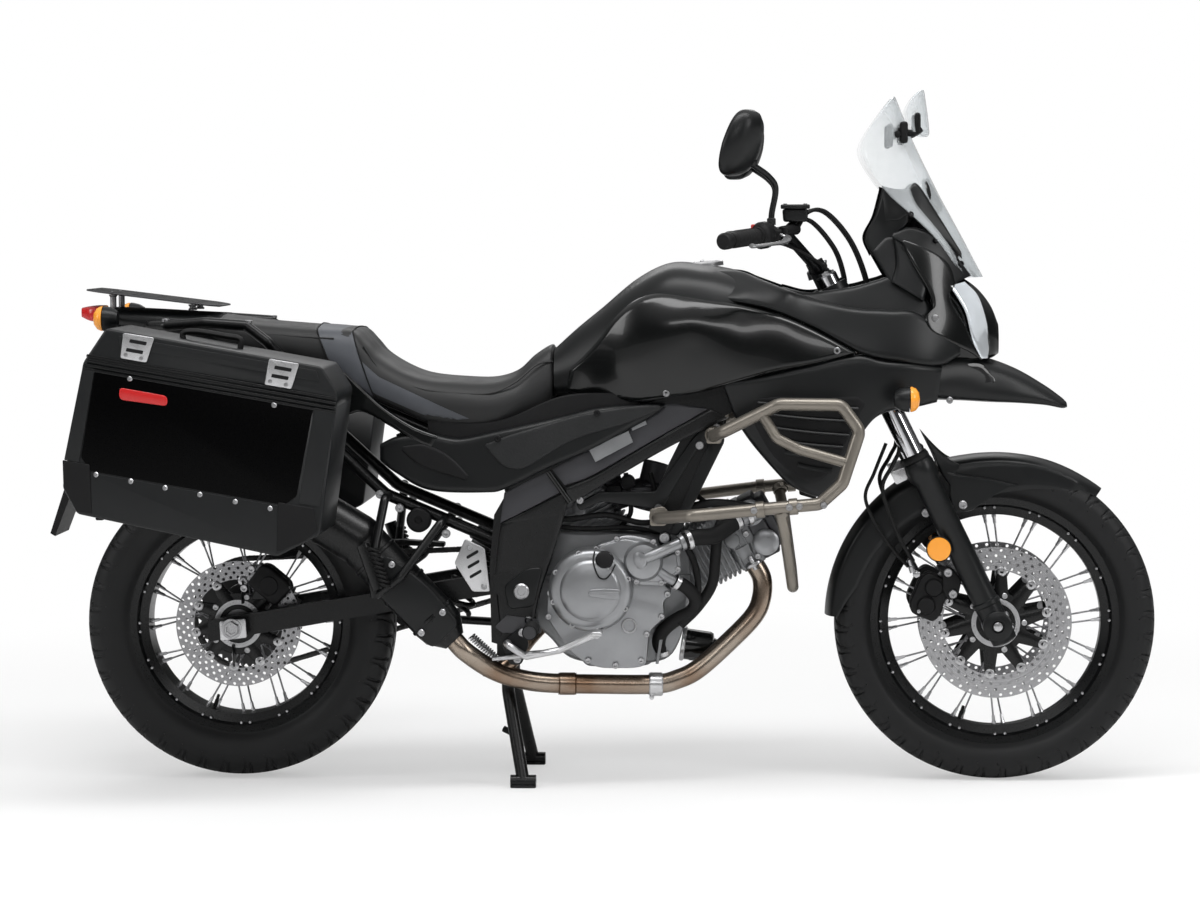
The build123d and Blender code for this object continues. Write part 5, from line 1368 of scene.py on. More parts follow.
@dataclass
class Wheel:
    """One wheel: its tread, rim, spoke nipples, valve, disc and tone ring."""

    name: str
    body: Body
    axle: tuple[float, float]
    tyre_r: float
    tyre_half: float
    seat_r: float
    rim_half: float
    hub_half: float
    blocks: int
    spokes: int = 32
    foot_r: float = 39.0

    def build(self) -> None:
        """Makes every piece of the wheel."""
        self.tyre()
        self.rim()
        self.hub()

    def tread_section(self, across: np.ndarray) -> tuple[np.ndarray, np.ndarray]:
        """The tyre's outer line from bead to bead.

        Args:
            across: from -1 at one bead to 1 at the other.

        Returns:
            Radius and y at each place.
        """
        height = self.tyre_r - self.seat_r - 14
        shares = [(0.3, 0.68, 0.93), (0.5, 0.93, 0.74), (0.68, 0.985, 0.5), (0.86, 0.88, 0.2)]
        half = [(place, wide * self.tyre_half, rise) for place, wide, rise in shares] + [(1.0, self.rim_half + 1, 0.0)]
        knots = [(-place, -y, rise) for place, y, rise in reversed(half)] + [(0, 0, 1.0)] + half
        line = smooth(knots, 400)
        return self.seat_r + 14 + height * np.interp(
            across, line[:, 0], line[:, 2]
        ), np.interp(across, line[:, 0], line[:, 1])

    def tyre(self) -> None:
        """Tyre: the section carried round the axle, cut by slanted grooves that mirror about the middle."""
        rows, columns = 78, 720
        across = np.linspace(-1, 1, rows)
        radius, y = self.tread_section(across)
        turn = angles(columns)
        s, t = np.meshgrid(across, turn)
        side = np.abs(s)
        phase = t / TURN * self.blocks + np.where(s > 0, 0.5, 0.0)
        slant = phase - 2.6 * np.clip(side - 0.05, 0, 0.5) + 2.2 * np.clip(side - 0.22, 0, 0.4) ** 1.3
        main = np.abs((slant % 1.0) - 0.5)
        groove = (main < 0.05) & (side > 0.06) & (side < 0.66)
        second = np.abs(((slant + 0.33 + 0.9 * side) % 1.0) - 0.5)
        groove |= (second < 0.04) & (side > 0.2) & (side < 0.6)
        groove |= (np.abs(side - 0.145) < 0.018) & (phase % 1.0 < 0.72)
        depth = np.where(groove, 4.6, 0.0)
        depth += np.where((side > 0.6) & (side < 0.62), 0.8, 0.0) + np.where((side > 0.9) & (side < 0.915), -1.0, 0.0)
        r = np.interp(s, across, radius) - depth
        x = self.axle[0] + r * np.cos(t)
        z = self.axle[1] + r * np.sin(t)
        outer = np.stack([x, np.interp(s, across, y), z], axis=-1)
        lips = [(self.seat_r + 3, self.rim_half - 2), (self.seat_r + 3, -self.rim_half + 2)]
        inner = np.stack(
            [
                np.stack(
                    [self.axle[0] + a * np.cos(turn), np.full(columns, b), self.axle[1] + a * np.sin(turn)], axis=-1
                )
                for a, b in lips
            ],
            axis=1
        )
        skin = grid(np.concatenate([outer, inner], axis=1), wrap_u=True, wrap_v=True)
        fit(f"{self.name}_tread", skin, TYRE_RUBBER, self.body, replaces=(f"{self.name}_tyre",), crease=32)

    def rim(self) -> None:
        """Rim: lips, walls and a dropped well carried round the axle, with a nipple for each spoke."""
        s, h = self.seat_r, self.rim_half
        half = [(s + 15, h), (s + 15, h - 3), (s + 3, h - 5), (s + 1, h - 13), (s - 12, h - 19), (s - 18, 0)]
        under = [(s - 24, 0), (s - 23, h - 17), (s - 6, h - 10), (s - 1, h - 1.5), (s + 13, h + 1)]
        outer = half + [(r, -y) for r, y in half[:-1][::-1]]
        inside = [(r, -y) for r, y in under[::-1]] + under[1:]
        centre = (self.axle[0], 0, self.axle[1])
        fit(
            f"{self.name}_rim_band", turned(outer + inside, centre, sides=144, loop=True), BLACK_PAINT, self.body,
            replaces=(f"{self.name}_rim",), crease=25
        )
        nipples, heads = [], []
        for side in (-1, 1):
            for k in range(self.spokes // 2):
                leads = 1 if k % 2 else -1
                foot = math.radians(720.0 / self.spokes * (k - k % 2 + 0.5) + 4 * leads + (5 if side > 0 else 0))
                head = foot + math.radians(30.0 * leads)
                start, tip = (
                    np.array([self.axle[0] + r * math.cos(a), side * y, self.axle[1] + r * math.sin(a)])
                    for r, a, y in ((self.foot_r, foot, self.hub_half - 23.5), (s - 24.2, head, 0.16 * h))
                )
                inward = unit(start - tip)
                nipples.append(turned([(4.6, -4), (4.6, 4), (3.6, 6), (3.2, 17), (2.3, 19)], tip, inward, 8))
                heads.append(
                    (
                        self.axle[0] + (s - 7) * math.cos(head), -(h - (2.0 if leads > 0 else 9.0)),
                        self.axle[1] + (s - 7) * math.sin(head)
                    )
                )
        fit(f"{self.name}_nipples", nipples, ZINC, self.body)
        dots = [turned([(3.4, -3), (3.4, 1.5), (2.4, 3), (0.3, 3.2)], place, TO_RIGHT, 8) for place in heads]
        pair(f"{self.name}_spoke_heads", dots, ZINC, self.body)
        c, d = math.cos(-1.9), math.sin(-1.9)
        foot = (self.axle[0] + (s - 16) * c, 0, self.axle[1] + (s - 16) * d)
        valve = turned([(4, 0), (4, 22), (3.2, 23), (3.2, 34), (1, 35)], foot, (-c, 0, -d), 12)
        fit(f"{self.name}_valve", valve, RUBBER, self.body)

    def hub(self) -> None:
        """Disc with its carrier, bobbins and bolts, and the tone ring beside the hub."""
        x, z = self.axle
        w = self.hub_half
        front = self.body is Body.FRONT_WHEEL
        sides, finish, node = (
            Sides.BOTH, FRONT_DISC, "front_discs"
        ) if front else (Sides.RIGHT, REAR_DISC, "rear_disc")
        outer, inner, holes = (155.0, 108.0, 44) if front else (130.0, 92.0, 40)
        disc = perforated((x, -w - 2.5, z), inner, outer, -2.5, 2.5, 4, holes, 3.3)
        fit(f"{self.name}_disc_rings", disc.on(sides), finish, self.body, replaces=(node,), crease=30)
        arms, bobbins = [], []
        for a in angles(10, 0.2):
            inner_p = (x + 44 * math.cos(a - 0.12), -w - 3, z + 44 * math.sin(a - 0.12))
            outer_p = (x + (inner - 2) * math.cos(a), -w - 3, z + (inner - 2) * math.sin(a))
            path = smooth(
                [inner_p, ((inner_p[0] + outer_p[0]) / 2, -w - 3.2, (inner_p[2] + outer_p[2]) / 2), outer_p], 10
            )
            arms.append(sweep(path, np.linspace(17, 10, 10), 8, flat=0.22))
            bobbins.append(
                turned([(10, -3), (10, 2.4), (8, 3.6), (4, 3.6), (3.6, 1.8), (0.3, 1.8)], outer_p, TO_RIGHT, 16)
            )
        arms.append(ring((x, 0, z), TO_RIGHT, 30, 64, w, w + 5, 1, 60))
        fit(f"{self.name}_disc_carrier", together(arms).on(sides), BLACK_PAINT, self.body)
        fit(f"{self.name}_disc_bobbins", together(bobbins).on(sides), ZINC, self.body)
        tone = ring((x, 0, z), TO_RIGHT, 40, 50, w + 5.5, w + 7.5, 0.5, 60)
        teeth = [
            rod(a, b, 1.7, 0.3, 6) for a, b in zip(around((x, -w - 6, z), 45, 42), around((x, -w - 8.6, z), 45, 42))
        ]
        fit(f"{self.name}_tone_ring", [tone] + teeth, ZINC, self.body)
        fit(f"{self.name}_disc_bolts", bolts(around((x, -w - 5, z), 58, 5), TO_RIGHT, 6, 3).on(sides), ZINC, self.body)


@dataclass
class Drive:
    """Chain links and the driven sprocket's teeth."""

    rear: tuple[float, float] = REAR_AXLE
    front: tuple[float, float] = (-105.0, 434.0)
    rear_r: float = 118.9
    front_r: float = 38.2
    y: float = 104.0
    pitch: float = 15.875

    def build(self) -> None:
        """Makes the chain and the sprocket."""
        self.chain()
        self.sprocket()

    def loop(self) -> np.ndarray:
        """The chain's pitch line: two arcs joined by the straight lines that touch both, as even points.

        Returns:
            Array (pins, 2) of x and z.
        """
        a, b = np.array(self.rear), np.array(self.front)
        span = b - a
        length = float(np.linalg.norm(span))
        base = math.atan2(span[1], span[0])
        lean = math.acos((self.rear_r - self.front_r) / length)
        rear = np.linspace(base + lean, base + TURN - lean, 80)
        front = np.linspace(base - lean, base + lean, 40)
        arc_a = a + self.rear_r * np.stack([np.cos(rear), np.sin(rear)], axis=1)
        arc_b = b + self.front_r * np.stack([np.cos(front), np.sin(front)], axis=1)
        whole = np.vstack([arc_a, arc_b])
        count = 2 * round(np.linalg.norm(np.diff(np.vstack([whole, whole[:1]]), axis=0), axis=1).sum() / self.pitch / 2)
        return self.even(whole, count)

    @staticmethod
    def even(outline: np.ndarray, count: int) -> np.ndarray:
        """Points at even distances along a closed line.

        Args:
            outline: array (n, 2).
            count: how many points to return.

        Returns:
            Array (count, 2).
        """
        closed = np.vstack([outline, outline[:1]])
        run = np.concatenate([[0], np.cumsum(np.linalg.norm(np.diff(closed, axis=0), axis=1))])
        want = np.linspace(0, run[-1], count, endpoint=False)
        return np.stack([np.interp(want, run, closed[:, i]) for i in (0, 1)], axis=1)

    def chain(self) -> None:
        """Side plates waisted between their pins, inner and outer in turn, with rollers."""
        pins = self.loop()
        following = np.roll(pins, -1, axis=0)
        angle = angles(16)
        waist = 6.6 - 1.5 * np.sin(angle) ** 8
        local = np.stack([np.cos(angle) * (self.pitch / 2 + 6.2), np.sin(angle) * waist], axis=1)
        links = []
        for i, (p, q) in enumerate(zip(pins, following)):
            ahead = (q - p) / np.linalg.norm(q - p)
            flat = (p + q) / 2 + local[:, :1] * ahead + local[:, 1:] * np.array([-ahead[1], ahead[0]])
            near = 9.2 if i % 2 else 6.6
            for low in (-near, near - 1.9):
                links.append(slab(flat, self.y + low, self.y + low + 1.9, 0.5))
            links.append(turned([(5, -5), (5, 5)], (p[0], self.y, p[1]), TO_LEFT, 8))
            if i % 2:
                links += [turned([(2.4, -9.9), (2.4, 9.9)], (x, self.y, z), TO_LEFT, 6) for x, z in (p, q)]
        fit("chain_links", links, CHAIN_STEEL, replaces=("drive_chain",), crease=40)

    def sprocket(self) -> None:
        """Teeth as a cosine wave round the sprocket, over a carrier of five arms and a ring."""
        teeth = 47
        angle = angles(teeth * 8)
        radius = self.rear_r - 9.5 + 3.6 * np.cos(angle * teeth)
        x, z = self.rear
        outline, inner = (np.stack([x + r * np.cos(angle), z + r * np.sin(angle)], axis=1) for r in (radius, 70))
        rings = [
            np.column_stack([o[:, 0], np.full(len(o), d), o[:, 1]])
            for o, d in ((inner, 101.2), (outline, 101.2), (outline, 106.8), (inner, 106.8))
        ]
        body = grid(np.stack(rings), wrap_u=True, wrap_v=True)
        arms = [rod(a, b, 3, 0.5, 10) for a, b in zip(around((x, 104, z), 40, 5), around((x, 104, z), 76, 5))]
        nuts = bolts(around((x, 106, z), 60, 5), TO_LEFT, 7, 6)
        carrier = ring((x, 0, z), TO_LEFT, 26, 70, 80, 101, 2, 60)
        fit("sprocket_teeth", [body, carrier, nuts] + arms, CHAIN_STEEL, Body.REAR_WHEEL, replaces=("rear_sprocket",))


# ---------------------------------------------------------------- engine and exhaust


@dataclass
class Powertrain:
    """The engine as its separate castings: case, covers, two cylinders, pump, plumbing and filter."""

    crank: tuple[float, float] = (60.0, 385.0)
    tilt: float = ENGINE_TILT
    bore_half: float = 72.0
    thick: float = 124.0

    def build(self) -> None:
        """Makes the engine from the case outwards."""
        self.case()
        self.clutch_cover()
        self.left_side()
        self.cylinders()
        self.pump()
        self.plumbing()
        self.small_parts()

    def case(self) -> None:
        """The crankcase: a stack of plates with ribs and a sump below."""
        outline = [
            (-150, 470), (-150, 338), (-100, 306), (-66, 262), (-30, 250), (100, 246), (150, 258), (172, 300),
            (186, 360), (192, 440), (188, 500), (150, 520), (-100, 520)
        ]
        core = slab(outline, -96, 96, 8, 24)
        seam = slab([(-150, 420), (190, 420), (192, 432), (-150, 432)], -101, 101, 2)
        sump = slab([(-40, 262), (-24, 240), (70, 236), (110, 244), (118, 268)], -78, 78, 5, 10)
        ribs = [
            slab([(x, 250), (x + 6, 250), (x + 20, 330), (x + 12, 330)], -118, 118, 1.5) for x in (-20, 16, 52, 88, 120)
        ]
        fit("crankcase", [core, seam, sump] + ribs, CASTING, replaces=("engine",))
        skirt = [
            (-56, 284), (-23, 257), (9, 246), (75, 246), (102, 251), (108, 323), (141, 350), (135, 383), (157, 399),
            (120, 440), (60, 470), (-60, 470), (-96, 420), (-100, 350)
        ]
        fit("primary_housing", slab(skirt, -150, -90, 7, 16), CASTING)
        lip = slab(rounded(skirt, 16), -155, -148, 2.5)
        fit("primary_housing_lip", lip, COVER_ALLOY)
        spots = [
            (-92, -155, 400), (-96, -155, 352), (-52, -155, 290), (-16, -155, 262), (40, -155, 252), (92, -155, 262),
            (104, -155, 316), (134, -155, 352), (146, -155, 398), (112, -155, 436), (58, -155, 462), (-20, -155, 466),
            (-62, -155, 462)
        ]
        fit("housing_bolts", bolts(spots, TO_RIGHT, 6.5, 7), ZINC)

    def clutch_cover(self) -> None:
        """The round clutch cover: a domed disc with a raised step, a boss and a filler cap."""
        c = (-9, -150, 408)
        dome = turned(
            [(86, 0), (86, 18), (83, 30), (78, 37), (70, 40), (62, 40.5), (58, 45), (52, 48), (20, 49.5), (0.5, 50)], c,
            TO_RIGHT, 96
        )
        step = turned([(58, 40), (58, 43), (54, 46), (50, 47)], c, TO_RIGHT, 96)
        fit("clutch_cover", [dome, step], COVER_ALLOY)
        plinth = slab([(-10, 397), (24, 392), (52, 392), (52, 412), (24, 414), (-8, 412), (-14, 405)], -203, -196, 2, 5)
        blade = slab([(-8, 405), (50, 399), (50, 407), (-8, 408)], -205.5, -200, 1.2)
        fit("cover_plinth", [plinth, blade], COVER_ALLOY)
        fill = turned(
            [(20, 0), (20, 10), (17, 14), (17, 22), (14, 24), (4, 24), (0.5, 24)], (19, -176, 467), (0, -1, 0.25), 32
        )
        fit("oil_filler", fill, MATT_BLACK)
        loop = smooth(
            [(0, -190, 488), (-2, -203, 468), (8, -208, 440), (22, -208, 434), (34, -206, 446), (42, -196, 462)], 40
        )
        fit("breather_wire", sweep(loop, 1.6, 8), RUBBER)
        fit("clutch_cover_bolts", bolts(around((-9, -180, 408), 80, 8, 0.3), TO_RIGHT, 6, 7), ZINC)
        window = (68, -150, 333)
        fit("sight_glass_rim", ring(window, TO_RIGHT, 11, 16, 0, 8, 1.5, 32), ZINC)
        fit("sight_glass", turned([(11.5, 0), (11.5, 4), (0.4, 5)], window, TO_RIGHT, 32), DISPLAY)

    def left_side(self) -> None:
        """The generator cover and the sprocket cover on the left."""
        c = (62, 90, 380)
        cover = turned(
            [(92, 0), (92, 30), (88, 44), (80, 52), (60, 58), (56, 66), (30, 72), (26, 76), (0.5, 76)], c, TO_LEFT, 96
        )
        base = slab(
            [(-40, 300), (10, 268), (110, 262), (160, 320), (166, 420), (110, 480), (20, 480), (-40, 440)], 88, 122, 6,
            26
        )
        fit("generator_cover", [cover, base], COVER_ALLOY)
        corner = ((-2, 60), (2, 60), (2, 30), (-2, 30))
        quads = [[(62 + w + r * math.cos(a), 380 + r * math.sin(a)) for w, r in corner] for a in angles(6, 0.4)]
        ribs = [slab(quad, 140, 163, 1) for quad in quads]
        fit("generator_ribs", ribs, COVER_ALLOY)
        guard = slab(
            [(-150, 395), (-128, 376), (-60, 376), (-44, 400), (-44, 470), (-70, 496), (-130, 492), (-152, 468)], 120,
            140, 5, 16
        )
        fit("sprocket_guard", guard, DARK_ALLOY)
        spots = around((62, 134, 380), 84, 9) + [(-146, 140, 440), (-100, 140, 488), (-56, 140, 384), (-56, 140, 470)]
        fit("left_cover_bolts", bolts(spots, TO_LEFT, 6.5, 7), ZINC)

    def cylinders(self) -> None:
        """Two cylinders square to each other: a liner block, cooling ribs, a head with ports, and a cam cover."""
        castings, covers, caps, fasten = [], [], [], []
        for turn, reach in ((self.tilt, 385), (self.tilt + 90, 345)):
            a = math.radians(turn)
            along, cross = (math.cos(a), 0, math.sin(a)), (-math.sin(a), 0, math.cos(a))
            origin = (self.crank[0], 0, self.crank[1])
            h, t = self.bore_half, self.thick / 2

            def block(d0: float, d1: float, half_y: float, half_t: float, bevel: float, corner: float = 12.0) -> Shell:
                """A block across the cylinder's axis, from d0 to d1 along it."""
                flat = [(-half_t, -half_y), (half_t, -half_y), (half_t, half_y), (-half_t, half_y)]
                return across(slab(flat, d0, d1, bevel, corner), origin, cross, along)

            castings.append(block(60, reach - 150, h, t, 2))
            castings += [block(d, d + 4.5, h + 9, t + 8, 1.2, 18) for d in np.arange(126, reach - 152, 11)]
            castings.append(block(reach - 150, reach - 96, h + 10, t + 5, 4))
            castings += [block(d, d + 4, h + 14, t + 9, 1.2, 18) for d in (reach - 146, reach - 132, reach - 118)]
            covers.append(block(reach - 98, reach - 62, h + 12, t + 4, 5, 20))
            covers.append(block(reach - 64, reach - 42, h + 4, t - 6, 7, 24))
            low = np.array(along) * (reach - 80)
            for k in (-34, 34):
                spot = np.array(origin) + low + np.array(cross) * k
                cap = turned(
                    [(27, 0), (27, 8), (22, 12), (10, 13), (0.5, 13)], (spot[0], -h - 11, spot[2]), TO_RIGHT, 36
                )
                caps += [cap, cap.mirrored()]
            for k in (-52, 0, 52):
                spot = np.array(origin) + np.array(along) * (reach - 108) + np.array(cross) * k
                fasten += [(spot[0], -h - 12, spot[2])]
            boss = np.array(origin) + np.array(along) * (reach - 140)
            castings.append(rod((boss[0], -h - 16, boss[2]), (boss[0], h + 16, boss[2]), 16, 3))
        fit("cylinders", castings, CASTING)
        fit("cam_covers", covers, DARK_ALLOY)
        fit("cam_caps", caps, COVER_ALLOY)
        pair("head_bolts", bolts(fasten, TO_RIGHT, 6.5, 6), ZINC)
        port = np.array([304.0, -60, 470.0])
        face = np.array([math.sin(math.radians(self.tilt)), 0, -math.cos(math.radians(self.tilt))])
        neck = turned([(30, -18), (28, 0), (27, 6)], port, face, 36)
        fit("exhaust_port", neck, CASTING)

    def pump(self) -> None:
        """The water pump's cover and its two unions, ahead of the clutch."""
        cover = [
            (-2, 498), (30, 506), (54, 520), (84, 518), (124, 508), (134, 478), (172, 492), (176, 442), (138, 414),
            (80, 416), (56, 440), (30, 470)
        ]
        fit(
            "pump_cover",
            [
                slab(cover, -166, -140, 6, 14),
                slab(
                    [
                        (-4, 466), (10, 498), (60, 512), (116, 500), (128, 470), (164, 484), (168, 446), (136, 424),
                        (84, 424), (50, 452)
                    ],
                    -170, -160, 3, 10
                )
            ],
            COVER_ALLOY
        )
        drum = turned([(40, 0), (40, 14), (34, 24), (20, 27), (0.5, 27)], (98, -160, 466), TO_RIGHT, 48)
        fit("pump_drum", drum, COVER_ALLOY)
        union = sweep(smooth([(92, -184, 470), (120, -186, 481), (150, -180, 494), (184, -168, 508)], 24), 11.5, 20)
        low = sweep(smooth([(130, -166, 446), (146, -168, 434), (162, -166, 424)], 16), 10, 18)
        ends = [
            ring((176, -171, 504.5), (0.9, 0.3, 0.38), 13, 17, -5, 5, 1.5, 28),
            turned([(14, -4), (17, -2), (17, 6), (10, 9), (0.5, 9)], (92, -184, 470), (-0.4, -0.9, -0.1), 28)
        ]
        fit("pump_unions", [union, low] + ends, COVER_ALLOY)
        spots = [
            (2, -166, 492), (44, -166, 512), (118, -166, 506), (168, -166, 484), (168, -166, 450), (134, -166, 422),
            (84, -166, 424)
        ]
        fit("pump_bolts", bolts(spots, TO_RIGHT, 6, 6), ZINC)

    def plumbing(self) -> None:
        """Coolant hoses and their clips, from the pump to the head and the radiator."""
        hoses = [
            hose([(180, -169, 506), (206, -164, 514), (240, -150, 516), (270, -134, 534), (292, -122, 547)], 17),
            hose(
                [
                    (160, -166, 426), (184, -158, 412), (202, -142, 388), (196, -132, 362), (160, -124, 340),
                    (134, -112, 316), (126, -96, 290), (134, -84, 268)
                ],
                14
            ),
            hose(
                [
                    (262, -132, 560), (248, -136, 520), (243, -136, 470), (236, -134, 415), (206, -130, 368),
                    (170, -128, 332)
                ],
                11
            ),
            hose([(182, -150, 500), (200, -148, 462), (208, -146, 420), (206, -142, 384)], 7),
            hose([(120, -110, 530), (170, -118, 560), (230, -126, 580), (300, -132, 575), (352, -120, 560)], 9),
        ]
        fit("coolant_hoses", hoses, RUBBER)
        clips = [
            ring(c, a, r, r + 2.5, -5, 5, 1, 28)
            for c, a, r in (
                ((190, -167, 509), (0.9, 0.3, 0.3), 17.2), ((286, -125, 544), (0.8, 0.4, 0.4), 17.2),
                ((165, -165, 423), (0.8, 0.3, -0.5), 14.2), ((309, -118, 552), (0.8, 0.3, 0.4), 17.5),
                ((134, -86, 272), (0.2, 0.4, -0.9), 14.2)
            )
        ]
        fit("hose_clips", clips, BRIGHT_ALLOY)
        outlet = sweep(smooth([(288, -124, 545), (312, -116, 553), (336, -104, 562)], 16), 15, 20)
        fit("head_outlet", outlet, COVER_ALLOY)

    def small_parts(self) -> None:
        """Filter, throttle bodies, wiring, sensor and coil."""
        can = turned(
            [(32, 0), (32, 52), (29, 58), (20, 61), (19, 66), (0.5, 66)], (176, -20, 280), (0.99, 0, -0.143), 48
        )
        ribs = [
            rod(
                (236, -20 + 27 * math.cos(a), 271 + 27 * math.sin(a)),
                (186, -20 + 31 * math.cos(a), 278 + 31 * math.sin(a)), 2, 0.5, 6
            )
            for a in angles(16)
        ]
        fit("filter_can", [can] + ribs, GLOSS_BLACK, replaces=("oil_filter",))
        seat = ring((170, -20, 281), (0.99, 0, -0.143), 20, 36, 0, 9, 2, 40)
        fit("filter_seat", seat, BRIGHT_ALLOY)
        bell = [(30, 0), (30, 40), (34, 44), (34, 56), (26, 60), (26, 100)]
        throttle = [turned(bell, (x, -28, 560), (lean, 0, 1), 36) for x, lean in ((96, 0.25), (40, -0.3))]
        throttle.append(rod((40, -70, 604), (112, -70, 604), 9))
        throttle += [rod((x, -74, 596), (x, -60, 596), 20, 4) for x in (62, 104)]
        fit("throttle_bodies", throttle, DARK_ALLOY)
        wires = [
            hose([(-120, -118, 560), (-60, -124, 548), (20, -120, 556), (90, -118, 540), (140, -116, 546)], 6),
            hose([(-110, -112, 536), (-30, -120, 528), (60, -118, 530), (130, -112, 520)], 5)
        ]
        wires += [
            hose([(60, -100, 640), (66, -108, 600), (70, -104, 560), (50, -100, 530)], 5),
            hose([(110, -100, 640), (120, -106, 600), (118, -100, 560)], 5),
            hose([(180, -90, 640), (200, -100, 600), (230, -104, 575)], 5)
        ]
        fit("wiring", wires, RUBBER)
        coil = [box_shell((20, -112, 580), (52, -84, 616), 4), rod((64, -116, 622), (64, -84, 622), 15, 3)]
        fit("sensor_and_coil", coil, MATT_BLACK)


@dataclass
class Exhaust:
    """Header joints, the clamp under the case, and the muffler's black shield."""

    def build(self) -> None:
        """Makes the header pipe with its joints, and the muffler's fittings."""
        face = (math.sin(math.radians(ENGINE_TILT)), 0, -math.cos(math.radians(ENGINE_TILT)))
        flange = slab([(-38, -17), (38, -17), (44, 0), (38, 17), (-38, 17), (-44, 0)], 0, 8, 2, 8)
        port = (318.5, -58, 455.5)
        fit("header_flange", across(flange, port, TO_LEFT, face), ZINC)
        studs = [(port[0], port[1] + k, port[2]) for k in (-34, 34)]
        fit(
            "header_studs",
            [rod(np.array(s) - np.array(face) * 14, np.array(s) + np.array(face) * 16, 5) for s in studs], ZINC
        )
        fit(
            "pipe_clamp",
            [
                ring((120, -113.5, 208), (-0.99, -0.09, 0.02), 20.4, 24, -14, 14, 2, 40),
                rod((112, -126, 182), (112, -98, 182), 5)
            ],
            BRIGHT_ALLOY
        )
        fit("pipe_joint", ring((-60, -131, 211), (-0.99, -0.1, 0.02), 20.2, 23, -18, 18, 3, 40), EXHAUST_STEEL)
        run = [
            (318.5, -58, 455.5), (337, -58, 420), (336, -61, 378), (318, -65, 340), (262, -76, 284), (206, -89, 236),
            (166, -100, 217), (120, -113, 208)
        ]
        run += [
            (10, -123, 209), (-100, -134, 213), (-160, -142, 223), (-212, -154, 243), (-262, -181, 281),
            (-288, -181, 308)
        ]
        fit("header_pipe", hose(run, 20, 160, 32), EXHAUST_STEEL, replaces=("exhaust_pipe",))
        link = hose([(-110, -60, 330), (-140, -100, 300), (-170, -130, 262), (-200, -146, 240), (-226, -158, 246)], 17)
        fit("rear_header", link, EXHAUST_STEEL)
        entry, knee, tip = np.array([-285.0, -181, 305]), np.array([-480.0, -172, 510]), np.array([-820.0, -166, 716])
        first = unit(knee - entry)
        rings = [ring(entry + first * d, first, 50.2, 52.5, -4, 4, 1.5, 60) for d in (66, 150, 234)]
        rings += [ring(knee + unit(tip - knee) * d, unit(tip - knee), 52.2, 54.0, -4, 4, 1.2, 60) for d in (300, 380)]
        fit("muffler_bands", rings, BLACK_PAINT)
        side = np.cross(first, np.array([0, 1.0, 0]))
        shield = across(
            slab([(-38, 20), (38, 20), (40, 150), (28, 232), (-30, 220), (-44, 120)], -7, 0, 3, 16),
            entry + np.array([0, -48.0, 0]), side, TO_RIGHT
        )
        fit("muffler_shield", shield, SATIN_BLACK)
        spots = [
            entry + first * d + side * k + np.array([0, -55.0, 0])
            for d, k in ((60, 30), (60, -30), (200, 20), (200, -22))
        ]
        fit("shield_bolts", bolts(spots, TO_RIGHT, 7, 4), ZINC)


# ---------------------------------------------------------------- screen, dials and lamps


